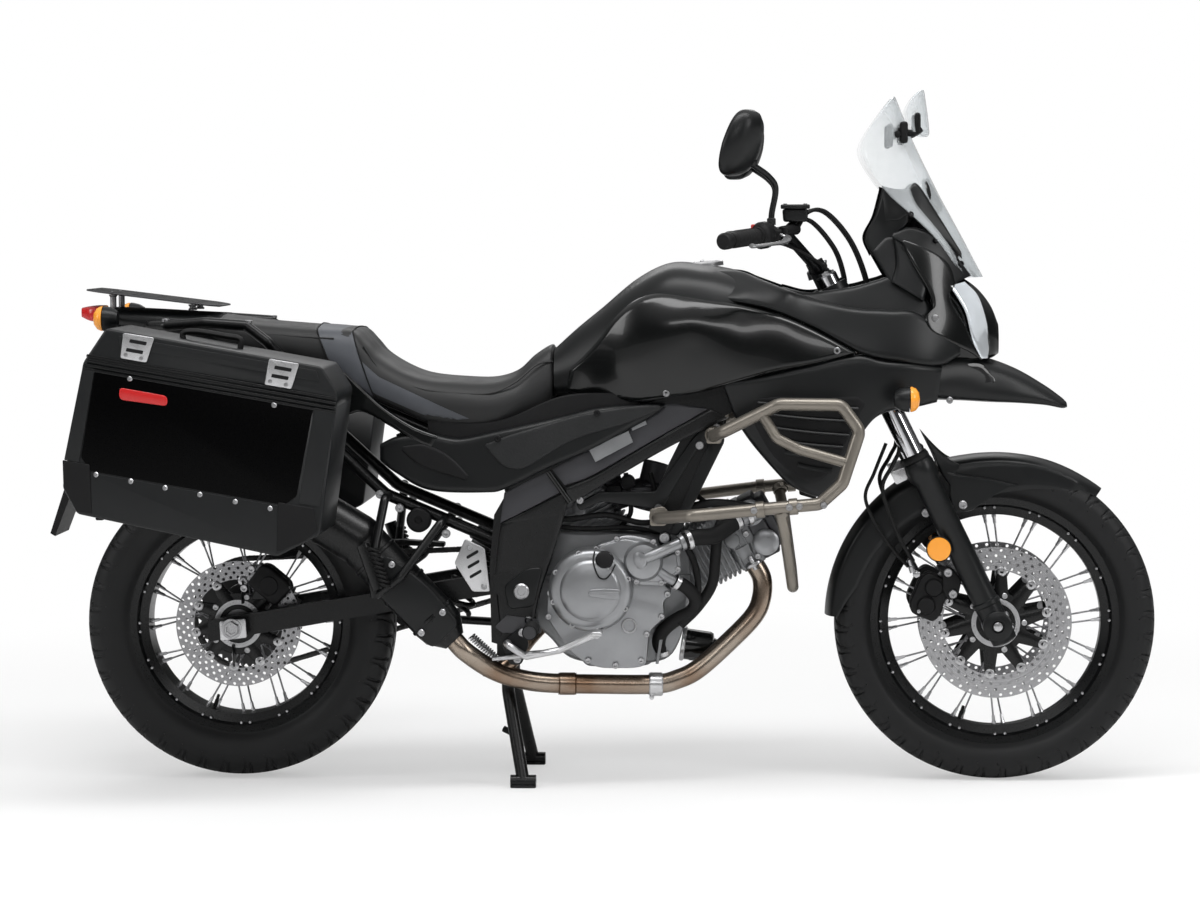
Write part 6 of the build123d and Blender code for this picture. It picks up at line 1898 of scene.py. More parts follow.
@dataclass
class Screens:
    """The clear screen with its dark root, the deflector on its two clamps, and the mask behind the screen."""

    levels: list = field(
        default_factory=lambda: [
            (1036, 791, 100, 752), (1075, 770, 120, 722), (1117, 748, 136, 690), (1165, 722, 148, 640),
            (1200, 703, 155, 600),
            (1242, 682, 158, 566), (1289, 659, 158, 541), (1322, 644, 154, 549), (1365, 627, 136, 577),
            (1392, 616, 104, 598), (1403, 611, 60, 607),
        ]
    )
    deflector_levels: list = field(
        default_factory=lambda: [
            (1323, 678, 40, 668), (1330, 681, 84, 650), (1345, 680, 92, 640), (1372, 677, 94, 634),
            (1398, 673, 86, 645), (1412, 671, 64, 658), (1417, 670, 40, 664)
        ]
    )

    def sheet(self, levels: list, thick: float, nu: int = 60, nv: int = 48) -> Shell:
        """A curved sheet: at each height x falls from the middle to the edge with the square of the share across.

        Args:
            levels: z, x at the middle, half width, x at the edge.
            thick: the sheet's thickness.
            nu: rows.
            nv: points across.

        Returns:
            The closed skin.
        """
        lines = smooth(levels, 240)
        z, mid, half, edge = np.stack(
            [np.interp(np.linspace(0, 1, nu), np.linspace(0, 1, len(lines)), lines[:, i]) for i in range(4)]
        )
        u = np.linspace(-1, 1, nv)[None, :]
        front = np.stack(
            [
                edge[:, None] + (mid - edge)[:, None] * (1 - u**2), half[:, None] * u,
                np.broadcast_to(z[:, None], (nu, nv))
            ],
            axis=-1
        )
        back = front - np.array([thick, 0, 0])
        return grid(np.concatenate([front, back[:, ::-1]], axis=1), wrap_v=True, caps=True)

    def build(self) -> None:
        """Makes the sheets, their clamps and the mask."""
        fit("screen_sheet", self.sheet(self.levels, 3.5), SCREEN, replaces=("windshield",))
        fit("deflector_sheet", self.sheet(self.deflector_levels, 3.5), SCREEN, replaces=("wind_deflector",))
        clamps = [
            box_shell((592, -90, 1300), (604, -60, 1348), 4),
            sweep(
                smooth([(600, -74, 1334), (622, -74, 1332), (646, -74, 1328), (662, -74, 1338)], 16), 7, 10, flat=1.6
            ),
            box_shell((618, -92, 1308), (634, -58, 1352), 4),
            box_shell((648, -86, 1326), (660, -62, 1370), 4),
            rod((612, -96, 1326), (612, -88, 1326), 7),
        ]
        pair("deflector_clamps", clamps, MATT_BLACK)
        side = Flank(
            [
                (590, 1150, 112), (590, 1215, 108), (632, 1166, 134), (640, 1225, 112), (692, 1140, 120),
                (700, 1190, 96), (736, 1097, 112), (610, 1060, 136)
            ]
        )
        mask_low = [(588, 1148), (612, 1150), (634, 1160), (672, 1134), (712, 1106), (742, 1074)]
        mask_high = [(581, 1222), (607, 1216), (632, 1216), (652, 1226), (690, 1170), (741, 1088)]
        pair("screen_mask", panel(mask_low, mask_high, side, 3, 6, -2, 46, 16), SATIN_BLACK)
        cheek_low = [(562, 1078), (547, 1118), (567, 1162), (582, 1218)]
        cheek_high = [(592, 1116), (607, 1124), (634, 1156), (608, 1204)]
        pair("dash_cheeks", panel(cheek_low, cheek_high, side, 3, 5, -4, 40, 14), SATIN_BLACK)
        root = [
            (1036, 786, 70, 770), (1100, 752, 84, 728), (1180, 710, 84, 684), (1226, 686, 66, 672), (1238, 680, 36, 674)
        ]
        fit("screen_root", self.sheet(root, 3, 30, 30), GLOSS_BLACK)
        rib = smooth([(628, -124, 1190), (668, -120, 1150), (704, -112, 1112), (734, -104, 1078)], 24)
        pair("mask_ribs", sweep(rib, 5, 8, flat=0.5), SATIN_BLACK)
        pair(
            "screen_screws", bolts([(637, -146, 1164), (690, -124, 1112), (740, -108, 1064)], (0.5, -1, 0.3), 6, 4),
            MATT_BLACK
        )


@dataclass
class Dials:
    """The instrument pod, with its glass facing the rider."""

    def build(self) -> None:
        """Makes the pod, its glass, the dial ring and the buttons."""
        pod = slab([(640, 1031.2), (700, 1031.2), (700, 1060), (668, 1150), (646, 1168), (610, 1127)], -84, 84, 10, 10)
        hood = slab([(606, 1122), (616, 1118), (652, 1166), (652, 1178), (640, 1176)], -92, 92, 4, 3)
        fit("dial_pod", [pod, hood], MATT_BLACK, replaces=("instruments",))
        face = np.array([-0.80, 0, 0.60])
        up = (0.6, 0, 0.8)
        centre = (629.0, 0.0, 1081.0)
        lens = slab([(-36, -66), (36, -66), (36, 66), (-36, 66)], 0, 3, 1.2, 14)
        fit("dial_glass", across(lens, centre, up, face), DISPLAY)
        dial = ring((628.0, 30.0, 1086.0), face, 26, 31, 0, 6, 1.5, 60)
        fit("dial_ring", dial, BRIGHT_ALLOY)
        fit(
            "dial_buttons", [turned([(5, 0), (5, 5), (3, 6), (0.3, 6)], (622, y, 1060), face, 16) for y in (-40, -20)],
            RUBBER
        )


@dataclass
class Lamps:
    """Turn signals, tail lamp and side reflectors."""

    def build(self) -> None:
        """Makes every small lamp."""
        shells, lenses, stalks = [], [], []
        for x, y, z, forward in ((632.0, 246.0, 797.0, 1.0), (-1001.0, 150.0, 960.0, -1.0)):
            profile = [(6, -28), (16, -26), (22, -16), (25, -4), (25.5, 3)]
            shells.append(turned(profile, (x - 4 * forward, -y, z), (forward, 0, 0), 32))
            lens = [(25, 0), (25, 4), (22, 11), (14, 17), (0.4, 19)]
            lenses.append(turned(lens, (x + forward, -y, z), (forward, 0, 0), 32))
            inner = y - 60 if forward > 0 else 64.0
            stalks.append(
                sweep(
                    smooth(
                        [
                            (x - 6 * forward, -inner, z - 1), (x - 6 * forward, -(y + inner) / 2, z - 1),
                            (x - 6 * forward, -(y - 14), z)
                        ],
                        12
                    ),
                    np.linspace(9, 6.5, 12), 12
                )
            )
        pair("signal_shells", shells + stalks, SATIN_BLACK, replaces=("turn_signals",))
        pair("signal_lenses", lenses, AMBER)
        tail = hull(
            [
                (-1030.4, [(0, 950), (52, 950), (60, 956), (60, 974), (50, 982), (0, 984)]),
                (-1050, [(0, 953), (46, 953), (54, 958), (54, 975), (46, 982), (0, 983)]),
                (-1068, [(0, 960), (34, 960), (40, 964), (40, 974), (34, 979), (0, 980)])
            ],
            16, 30, 0.3
        )
        fit("tail_lens", tail, RED, replaces=("tail_lamp",))
        dome = turned([(24, 0), (24, 5), (23, 7.5), (0.4, 8)], (696, -130, 487), TO_RIGHT, 40)
        back = [
            ring((696, -126, 487), TO_RIGHT, 10, 26, 0, 8, 1.2, 40),
            box_shell((694, -127.5, 480), (719, -123.5, 494), 1)
        ]
        pair("side_reflectors", dome, AMBER, Body.STEERING, replaces=("fork_reflectors",))
        pair("reflector_mounts", back, MATT_BLACK, Body.STEERING)


# ---------------------------------------------------------------- luggage


@dataclass
class Panniers:
    """Two side cases: framed shells cut by a slanted joint, with dark panels, latches, rivets and corner plates."""

    inner: float = 240.0
    face: float = 476.5
    wall: float = 2.5
    outline: list = field(
        default_factory=lambda: [
            (-933, 951), (-979, 884), (-1023, 641), (-995, 589), (-603, 506), (-519, 548), (-481, 824), (-513, 875)
        ]
    )
    split: tuple = ((-979.0, 886.0), (-483.0, 798.0))

    def half(self, name: str, above: bool, side: int, finish: Finish, body: Body, node: str) -> None:
        """One half of a case: a framed prism cut open along the joint, then given its wall.

        Args:
            name: the piece's name.
            above: the lid, or else the case below it.
            side: -1 on the right, 1 on the left.
            finish: its finish.
            body: what it rides on.
            node: the node that it stands for.
        """
        flat = rounded(self.outline, 7, 5)
        edge = np.linspace(0, math.pi / 2, 4)
        steps = [(5 * (1 - math.sin(a)), self.inner + 5 * (1 - math.cos(a))) for a in edge]
        steps += [(5 * (1 - math.sin(a)), self.face - 5 * (1 - math.cos(a))) for a in edge[::-1]]
        rings = [
            np.column_stack([r[:, 0], np.full(len(r), -d), r[:, 1]]) for r, d in ((inset(flat, i), d) for i, d in steps)
        ]
        whole = grid(np.stack(rings), wrap_v=True, caps=True)
        if side > 0:
            whole = whole.mirrored()
        made = fit(name, whole, finish, body, replaces=(node,), crease=40)
        (x0, z0), (x1, z1) = self.split
        slope = (z1 - z0) / (x1 - x0)
        lift = 0.15 if above else -0.15
        work = bmesh.new()
        work.from_mesh(made.data)
        cut = (x0 * MM, 0, (z0 + lift) * MM)
        everything = list(work.verts) + list(work.edges) + list(work.faces)
        bmesh.ops.bisect_plane(
            work, geom=everything, plane_co=cut, plane_no=(-slope, 0, 1), clear_inner=above, clear_outer=not above
        )
        bmesh.ops.recalc_face_normals(work, faces=work.faces)
        work.to_mesh(made.data)
        work.free()
        wall = made.modifiers.new("wall", "SOLIDIFY")
        wall.thickness, wall.offset, wall.use_even_offset = self.wall * MM, -1.0, True

    def build(self) -> None:
        """Makes both cases and everything on them."""
        for side, hand, lid in ((-1, "right", Body.RIGHT_LID), (1, "left", Body.LEFT_LID)):
            self.half(f"{hand}_case_shell", False, side, POWDER_BLACK, Body.CHASSIS, f"{hand}_pannier")
            self.half(f"{hand}_lid_shell", True, side, POWDER_BLACK, lid, f"{hand}_lid")
            place = Sides.RIGHT if side < 0 else Sides.LEFT
            self.details(hand, place, lid)

    def details(self, hand: str, place: Sides, lid: Body) -> None:
        """Panel, rivets, reflector, corner plates and latches of one case.

        Args:
            hand: right or left.
            place: the side that they go on.
            lid: the lid's body.
        """
        out = -self.face

        def plate(outline: Points, proud: float, bevel: float, corner: float = 0.0) -> Shell:
            """A plate that stands proud of the case's face."""
            return slab(outline, out - proud, out + 0.5, bevel, corner)

        main = plate([(-955, 871), (-530, 796), (-564, 624), (-588, 606), (-966, 673), (-985, 700)], 1.2, 0.5, 3)
        fit(f"{hand}_case_panel", main.on(place), CASE_PANEL)
        band = plate([(-967, 670), (-600, 605), (-604, 512), (-966, 588)], 1.8, 0.6, 2)
        posts = [
            plate([(-979, 876), (-956, 872), (-989, 690), (-1018, 695)], 1.8, 0.6, 2),
            plate([(-528, 796), (-486, 789), (-520, 603), (-560, 610)], 1.8, 0.6, 2)
        ]
        fit(f"{hand}_case_frame", together([band] + posts).on(place), POWDER_BLACK)
        ledges = [
            plate([(-976, 884.5 - k), (-485, 798 - k), (-486, 793 - k), (-977, 879.5 - k)], h, 1.4)
            for k, h in ((1.5, 3.4), (10, 2.4))
        ]
        fit(f"{hand}_case_ledge", together(ledges).on(place), BLACK_PAINT)
        plates = [
            plate([(-1021, 695), (-968, 686), (-965, 590), (-994, 593), (-1020, 642)], 3.3, 1.2, 3),
            plate([(-600, 612), (-530, 600), (-524, 556), (-548, 536), (-604, 514)], 3.3, 1.2, 3)
        ]
        fit(f"{hand}_case_corners", together(plates).on(place), MATT_BLACK)
        spots = [
            (-887, 853), (-606, 801), (-978, 674), (-956, 666), (-888, 653), (-821, 640), (-753, 627), (-684, 613),
            (-616, 600), (-592, 599)
        ]
        rivets = [
            turned([(5.4, -2), (5.4, 1.5), (3.6, 3.2), (1.6, 3.2), (1.4, 2.4), (0.3, 2.4)], (x, out, z), TO_RIGHT, 14)
            for x, z in spots
        ]
        fit(f"{hand}_case_rivets", together(rivets).on(place), ZINC)
        mark = plate([(-908, 836), (-814, 819), (-814, 799), (-908, 812)], 3.2, 1.6, 9)
        fit(f"{hand}_case_reflector", mark.on(place), RED)
        feet = [box_shell((x, -470, z - 6), (x + 16, -430, z + 4), 2) for x, z in ((-960, 582), (-640, 518))]
        fit(f"{hand}_case_feet", together(feet).on(place), RUBBER)
        shapes, holes, pins = [], [], []
        for quad, gaps in (
            (
                [(-898, 942), (-838, 932), (-854, 884), (-905, 893)],
                [
                    [(-885, 930), (-852, 924), (-854, 917), (-887, 923)],
                    [(-892, 913), (-859, 907), (-861, 900), (-894, 906)]
                ]
            ),
            (
                [(-614, 891), (-556, 881), (-572, 832), (-624, 841)],
                [
                    [(-603, 878), (-570, 872), (-572, 865), (-605, 871)],
                    [(-609, 862), (-576, 856), (-578, 849), (-611, 855)]
                ]
            ),
        ):
            shapes.append(plate(quad, 3.4, 1, 4))
            holes += [slab(gap, out - 3.5, out - 2.5, 0.1, 2) for gap in gaps]
            low = [(quad[3][0] + 11, quad[3][1] + 6), (quad[2][0] - 10, quad[2][1] + 8)]
            pins += [
                turned([(4.2, 0), (4.2, 0.2), (3.2, 0.3), (0.3, 0.3)], (x, out - 3.2, z), TO_RIGHT, 14) for x, z in low
            ]
        fit(f"{hand}_latches", together(shapes).on(place), BRIGHT_ALLOY, lid)
        fit(f"{hand}_latch_slots", together(holes).on(place), MATT_BLACK, lid)
        fit(f"{hand}_latch_pins", together(pins).on(place), ZINC, lid)
        (x0, z0), (x1, z1) = self.split
        rims = [
            plate([(-970, 892 + k), (-484, 806 + k), (-485, 801 + k), (-972, 887 + k)], h, 1.4)
            for k, h in ((0, 3.4), (9, 2.4))
        ]
        fit(f"{hand}_lid_ledge", together(rims).on(place), BLACK_PAINT, lid)
        strip = plate([(-908, 936), (-524, 868), (-516, 846), (-906, 915)], 1.6, 0.8, 2)
        fit(f"{hand}_lid_strip", strip.on(place), POWDER_BLACK, lid)
        mid = np.array([(x0 + x1) / 2, (z0 + z1) / 2])
        handle = smooth(
            [
                (-800, -365, 921), (-800, -365, 938), (-770, -365, 940), (-715, -365, 931), (-688, -365, 925),
                (-688, -365, 905)
            ],
            30
        )
        fit(f"{hand}_lid_handle", sweep(handle, 6, 12, flat=1.4).on(place), RUBBER, lid)
        along = np.array([x1 - x0, 0, z1 - z0]) / math.hypot(x1 - x0, z1 - z0)
        middle = np.array([mid[0], -self.inner + 3.4, mid[1] - 3.2])
        leaves = [rod(middle + along * (d - 28), middle + along * (d + 28), 3.0, 0.6, 14) for d in (-150, 150)]
        fit(f"{hand}_lid_hinges", together(leaves).on(place), ZINC)


@dataclass
class Racks:
    """The rack plate with its slots, the grab rail's ends, the rear mudguard's trim and the carriers' bolts."""

    def build(self) -> None:
        """Makes the rack and its fasteners."""
        slope = math.atan2(34, 272)
        along = np.array([-math.cos(slope), 0, math.sin(slope)])
        normal = np.array([along[2], 0, -along[0]])
        start = np.array([-776.0, 0, 983.0])
        length = 274.0
        xs = np.linspace(0, length, 100)
        width = 98 - 30 * np.clip(1 - xs / 40, 0, 1) ** 2 - 22 * np.clip((xs - 232) / 42, 0, 1) ** 2
        outline = np.vstack([np.column_stack([xs, -width]), np.column_stack([xs[::-1], width[::-1]])])
        plate = across(slab(outline, -1.9, 1.9, 0.8), start, along, normal)
        fit("rack_plate", plate, RUBBER, replaces=("luggage_rack",))
        line = start + np.outer(outline[:, 0], along) + np.outer(outline[:, 1], np.cross(along, normal))
        fit("rack_edge", sweep(corners(line, 200), 2.0, 8, closed=True), DARK_ALLOY)
        slot = slab([(-7, -17), (7, -17), (7, 17), (-7, 17)], -0.9, 0.9, 0.3, 7)
        places = [
            start + along * (50 + 42 * k) + np.array([0, y, 0]) + normal * 1.5 for k in range(5) for y in (-52, 0, 52)
        ]
        slots = [across(slot, place, along, normal) for place in places]
        fit("rack_slots", slots, MATT_BLACK)
        posts = []
        for x, z in ((-1000, 1008), (-835, 987)):
            for y in (-46, 46):
                posts.append(
                    turned(
                        [(9, 0), (9, 3), (6.5, 5), (6.5, z - 975 - 5), (9, z - 975 - 2), (9, z - 975)], (x, y, 974), UP,
                        24
                    )
                )
                posts.append(bolts([(x, y, z + 2.2)], (0.12, 0, 1), 6, 3))
        fit("rack_posts", posts, ZINC)
        pair("grab_rail_bolts", bolts([(-870, -172, 956), (-700, -176, 953)], UP, 8, 4), ZINC)
        mark = turned([(17, 0), (17, 4), (15, 6), (0.4, 6.4)], (-1098, 0, 640), (-0.95, 0, 0.3), 32)
        fit("mudguard_reflector", mark, RED)
        knobs = [(-305, -142, 520), (-400, -138, 572), (-440, -136, 600)]
        pair("carrier_bolts", bolts(knobs, TO_RIGHT, 9, 6), ZINC)
        knob = turned(
            [(25.2, 0), (25, 4), (25, 20), (21, 24), (8, 24), (7, 20), (0.4, 20)], (-360, -132, 548), TO_RIGHT, 36
        )
        fit("preload_knob", knob, MATT_BLACK)


@dataclass
class CrashBars:
    """Clamps, tabs and bolts of the crash bars."""

    def build(self) -> None:
        """Makes the bars' fittings."""
        tabs, bright = [], []
        for x, z in ((127, 556), (240, 722)):
            tabs.append(ring((x, -156, z), TO_RIGHT, 12.8, 17.5, -10, 10, 1.5, 28))
            bright.append(bolts([(x, -180, z)], TO_RIGHT, 8, 6))
        tabs.append(slab([(112, 540), (144, 540), (152, 566), (140, 580), (112, 574)], -196, -190, 1.5, 6))
        tabs.append(slab([(226, 706), (256, 706), (262, 734), (230, 738)], -196, -190, 1.5, 6))
        for x, z in ((334, 581), (400, 587)):
            tabs.append(ring((x, -290, z), (0.995, 0, 0.09), 12.8, 16.5, -9, 9, 1.2, 28))
        for x, z in ((322, 580), (392, 586), (412, 588), (460, 590)):
            bright.append(bolts([(x, -306, z + 1)], TO_RIGHT, 7, 5))
        tabs.append(ring((372, -289, 585), (0.3, 0.6, -0.7), 11.8, 16, 4, 18, 1.2, 28))
        pair("crash_bar_clamps", tabs, BAR_METAL)
        pair("crash_bar_bolts", bright, ZINC)


# ---------------------------------------------------------------- chassis


@dataclass
class Spars:
    """Skins over the frame's spars, hangers and pivot plates, with the heel guards, pegs and pedals."""

    def build(self) -> None:
        """Makes every skin and fitting."""
        upper = Flank(
            [(-84, 653, 165), (140, 782, 165), (233, 775, 168), (-3, 640, 174), (-52, 613, 176), (100, 720, 172)]
        )
        lower = Flank(
            [(-52, 613, 176), (233, 775, 169), (272, 758, 167), (154, 699, 172), (-43, 581, 172), (60, 650, 174)]
        )
        # The upper facets of the spars and of the pivot plates get the lighter grey, a painted highlight where light
        # falls on them. The lower facets keep the frame's own black.
        light = panel(
            [(-60, 620), (-3, 641), (110, 706), (228, 773)], [(-88, 654), (0, 703), (80, 748), (140, 784), (222, 777)],
            upper, 3, 4, 0, 60, 10
        )
        foot = Flank([(-183, 605, 166), (-96, 646, 166), (-66, 608, 173), (-192, 542, 173)])
        light += panel(
            [(-192, 543), (-130, 574), (-66, 608)], [(-184, 605), (-140, 628), (-98, 647)], foot, 3, 4, 0, 30, 10
        )
        pair("spar_faces_painted_highlight", light, SPAR_HIGHLIGHT_GREY)
        dark = panel(
            [(-46, 582), (50, 640), (154, 699), (270, 756)], [(-60, 616), (0, 640), (110, 705), (232, 774)], lower, 3,
            5, 0, 60, 10
        )
        leg = Flank(
            [
                (-192, 540, 173), (-66, 606, 173), (-45, 575, 172), (-83, 504, 170), (-105, 406, 169), (-128, 329, 168),
                (-203, 438, 169), (-193, 313, 168)
            ]
        )
        dark += panel(
            [(-191, 541), (-198, 490), (-203, 438), (-200, 380), (-193, 315)],
            [(-52, 592), (-72, 525), (-92, 460), (-112, 400), (-128, 330)], leg, 3, 6, 0, 60, 16
        )
        dark += panel(
            [(-186, 542), (-130, 548), (-60, 560)], [(-186, 545), (-130, 573), (-62, 607)], leg, 3, 3, 0.2, 30, 8
        )
        labels = [
            slab([(-12, 695), (69, 731), (78, 708), (2, 668)], -177.5, -170, 0.5),
            slab([(73, 741), (103, 753), (106, 744), (77, 731)], -176, -168, 0.5)
        ]
        fit("spar_plates", together(labels).on(Sides.RIGHT), CASTING)
        pair("spar_skins", dark, BLACK_PAINT)
        pair("spar_joints", sweep(np.linspace((-94, -170, 648), (-50, -173, 586), 8), 6, 12), GLOSS_BLACK)
        plate = slab([(-186, 416), (-138, 452), (-106, 454), (-124, 374), (-176, 368)], -173, -165, 3, 12)
        pair("pivot_covers", plate, SATIN_BLACK)
        hanger = [
            slab(
                [
                    (-30, 566), (10, 586), (118, 572), (128, 556), (150, 596), (206, 690), (238, 712), (256, 740),
                    (232, 752), (196, 712), (122, 606), (8, 606), (-40, 580)
                ],
                -152, -145, 2.5, 6
            )
        ]
        hanger.append(slab([(150, 520), (168, 516), (262, 706), (262, 742), (244, 736)], -151, -145, 2.5, 6))
        pair("engine_hangers", hanger, SATIN_BLACK)
        nuts = [
            (-150, -173, 405, 16), (-136, -166, 345, 9), (140, -151, 512, 11), (128, -152, 572, 9), (212, -152, 700, 9),
            (-30, -166, 590, 8), (246, -152, 736, 9)
        ]
        heads = [
            turned([(r, -2), (r, 4), (r * 0.85, 6), (r * 0.5, 6), (r * 0.45, 3), (0.3, 3)], (x, y, z), TO_RIGHT, 24)
            for x, y, z, r in nuts
        ]
        pair("frame_bolts", heads, ZINC)
        self.heel_guards()
        self.pedals()
        self.joints()

    def heel_guards(self) -> None:
        """The brushed plates behind the rider's heels, each with three slots."""
        plate = slab([(-264, 512), (-224, 492), (-214, 404), (-250, 404), (-286, 462)], -170, -165, 1.2, 5)
        pair("heel_plates", plate, BRIGHT_ALLOY, replaces=("heel_guards",))
        slots = [
            slab([(x, z), (x + 24, z + 14), (x + 26, z + 8), (x + 2, z - 6)], -171, -169.6, 0.5, 3)
            for x, z in ((-262, 476), (-260, 456), (-256, 436))
        ]
        pair("heel_plate_slots", slots, MATT_BLACK)
        pair("heel_plate_bolts", bolts([(-254, -170, 494), (-226, -170, 414)], TO_RIGHT, 6, 4), ZINC)

    def pedals(self) -> None:
        """Rubber on the pegs, the brake pedal with its pad, and the plates behind the pedals."""
        treads = [ring((-128, y, 331), TO_LEFT, 13.2, 15.4, -2.6, 2.6, 1, 28) for y in range(-186, -266, -9)]
        pair("peg_treads", treads, RUBBER)
        pad = [
            ring((-443 + 2.76 * k, -252, 500 - 9 * k), (0.33, 0, 0.94), 13.2, 15.2, -2.4, 2.4, 1, 24) for k in range(9)
        ]
        pair("passenger_peg_treads", pad, RUBBER)
        brake = smooth([(-208, -186, 268), (-150, -196, 276), (-129, -206, 282), (-64, -212, 292), (8, -216, 330)], 60)
        fit(
            "brake_pedal",
            sweep(brake, np.interp(np.linspace(0, 1, 60), [0, 0.3, 0.9, 1], [5, 8, 6, 7]), 12, flat=0.75), BRIGHT_ALLOY
        )
        fit("brake_pad", box_shell((-6, -252, 322), (18, -212, 332), 3), BRIGHT_ALLOY)
        plate = slab([(-190, 300), (-152, 334), (-134, 300), (-150, 256), (-174, 256)], -182, -174, 2, 8)
        pair("pedal_plate", plate, SATIN_BLACK)
        pair("pedal_bolts", bolts([(-178, -184, 300), (-158, -184, 268), (-148, -184, 322)], TO_RIGHT, 8, 5), ZINC)

    def joints(self) -> None:
        """Axle adjusters with their nuts, the damper's spring and the chain guard."""
        plates = slab([(-770, 341), (-716, 347), (-714, 308), (-768, 301)], -158, -152, 1.5, 4)
        end = (REAR_AXLE[0], -158, REAR_AXLE[1])
        nut = turned([(17, 0), (17, 8), (15, 10), (11, 10), (10, 4), (0.3, 4)], end, TO_RIGHT, 6)
        washer = ring(end, TO_RIGHT, 12, 21, -1, 2, 0.8, 36)
        pair("axle_plates", plates, BRIGHT_ALLOY)
        pair("axle_nuts", [nut, washer], ZINC)
        coil_path = self.helix((-232.0, 0.0, 500.0), (-300.0, 0.0, 350.0), 30, 7)
        fit("damper_spring", sweep(coil_path, 5.5, 10), BLACK_PAINT)
        guard = slab(
            [(-700, 462), (-560, 476), (-420, 486), (-330, 480), (-330, 470), (-420, 474), (-560, 462), (-696, 444)],
            84, 116, 3, 4
        )
        fit("chain_guard", guard, SATIN_BLACK)

    @staticmethod
    def helix(start: Vec, end: Vec, radius: float, turns: int) -> np.ndarray:
        """A helix: the point goes along the axis while it turns about it.

        Args:
            start: one end of the axis.
            end: the other end.
            radius: how far the coil is from the axis.
            turns: how many turns it makes.

        Returns:
            Array (24 for each turn, 3).
        """
        a, b = np.array(start), np.array(end)
        axis = unit(b - a)
        first = unit(np.cross(axis, [0, 1.0, 0]))
        second = np.cross(axis, first)
        t = np.linspace(0, 1, turns * 24)[:, None]
        angle = TURN * turns * t
        return a + (b - a) * t + radius * (np.cos(angle) * first + np.sin(angle) * second)


@dataclass
class Radiator:
    """The radiator's fins and its fan."""

    def build(self) -> None:
        """Makes the core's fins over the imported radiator, and the fan behind it."""
        down = unit(np.array([446 - 500, 0, 590 - 742.0]))
        ahead = np.array([-down[2], 0, down[0]])
        top = np.array([500.0, 0, 742.0])
        rows = [top + down * (10 + 3.5 * k) + ahead * 0.8 for k in range(40)]
        fins = [rod((x, -138, z), (x, 138, z), 1.1, 0.2, 6) for x, _, z in rows]
        fit("radiator_fins", fins, MATT_BLACK)
        middle = np.array([442.0, 0, 676.0])
        fan = ring(middle - ahead * 10, -ahead, 52, 66, 0, 26, 3, 60)
        blades = []
        hub = middle - ahead * 22
        for a in angles(7):
            out = math.cos(a) * np.array([0, 1.0, 0]) + math.sin(a) * down
            blades.append(
                sweep(np.stack([hub + out * r for r in np.linspace(12, 50, 8)]), np.linspace(6, 13, 8), 8, flat=0.3)
            )
        blades.append(turned([(16, -8), (16, 8), (12, 11), (0.4, 11)], hub, -ahead, 30))
        fit("radiator_fan", [fan] + blades, MATT_BLACK)


@dataclass
class Stands:
    """Spring, tang and feet of the centre stand."""

    def build(self) -> None:
        """Makes the spring, the tang and both feet."""
        spring = Spars.helix((-196.0, -60.0, 240.0), (-262.0, -60.0, 300.0), 7.5, 16)
        fit("centre_stand_spring", sweep(spring, 1.7, 6), ZINC)
        tang = smooth([(-160, 150, 40), (-190, 168, 60), (-215, 176, 72)], 16)
        fit("centre_stand_tang", sweep(tang, 7, 12), BLACK_PAINT, Body.CENTRE_STAND)
        feet = box_shell((-176, -164, 0.4), (-124, -136, 6), 2)
        pair("centre_stand_feet", feet, BLACK_PAINT, Body.CENTRE_STAND)


# ---------------------------------------------------------------- front end


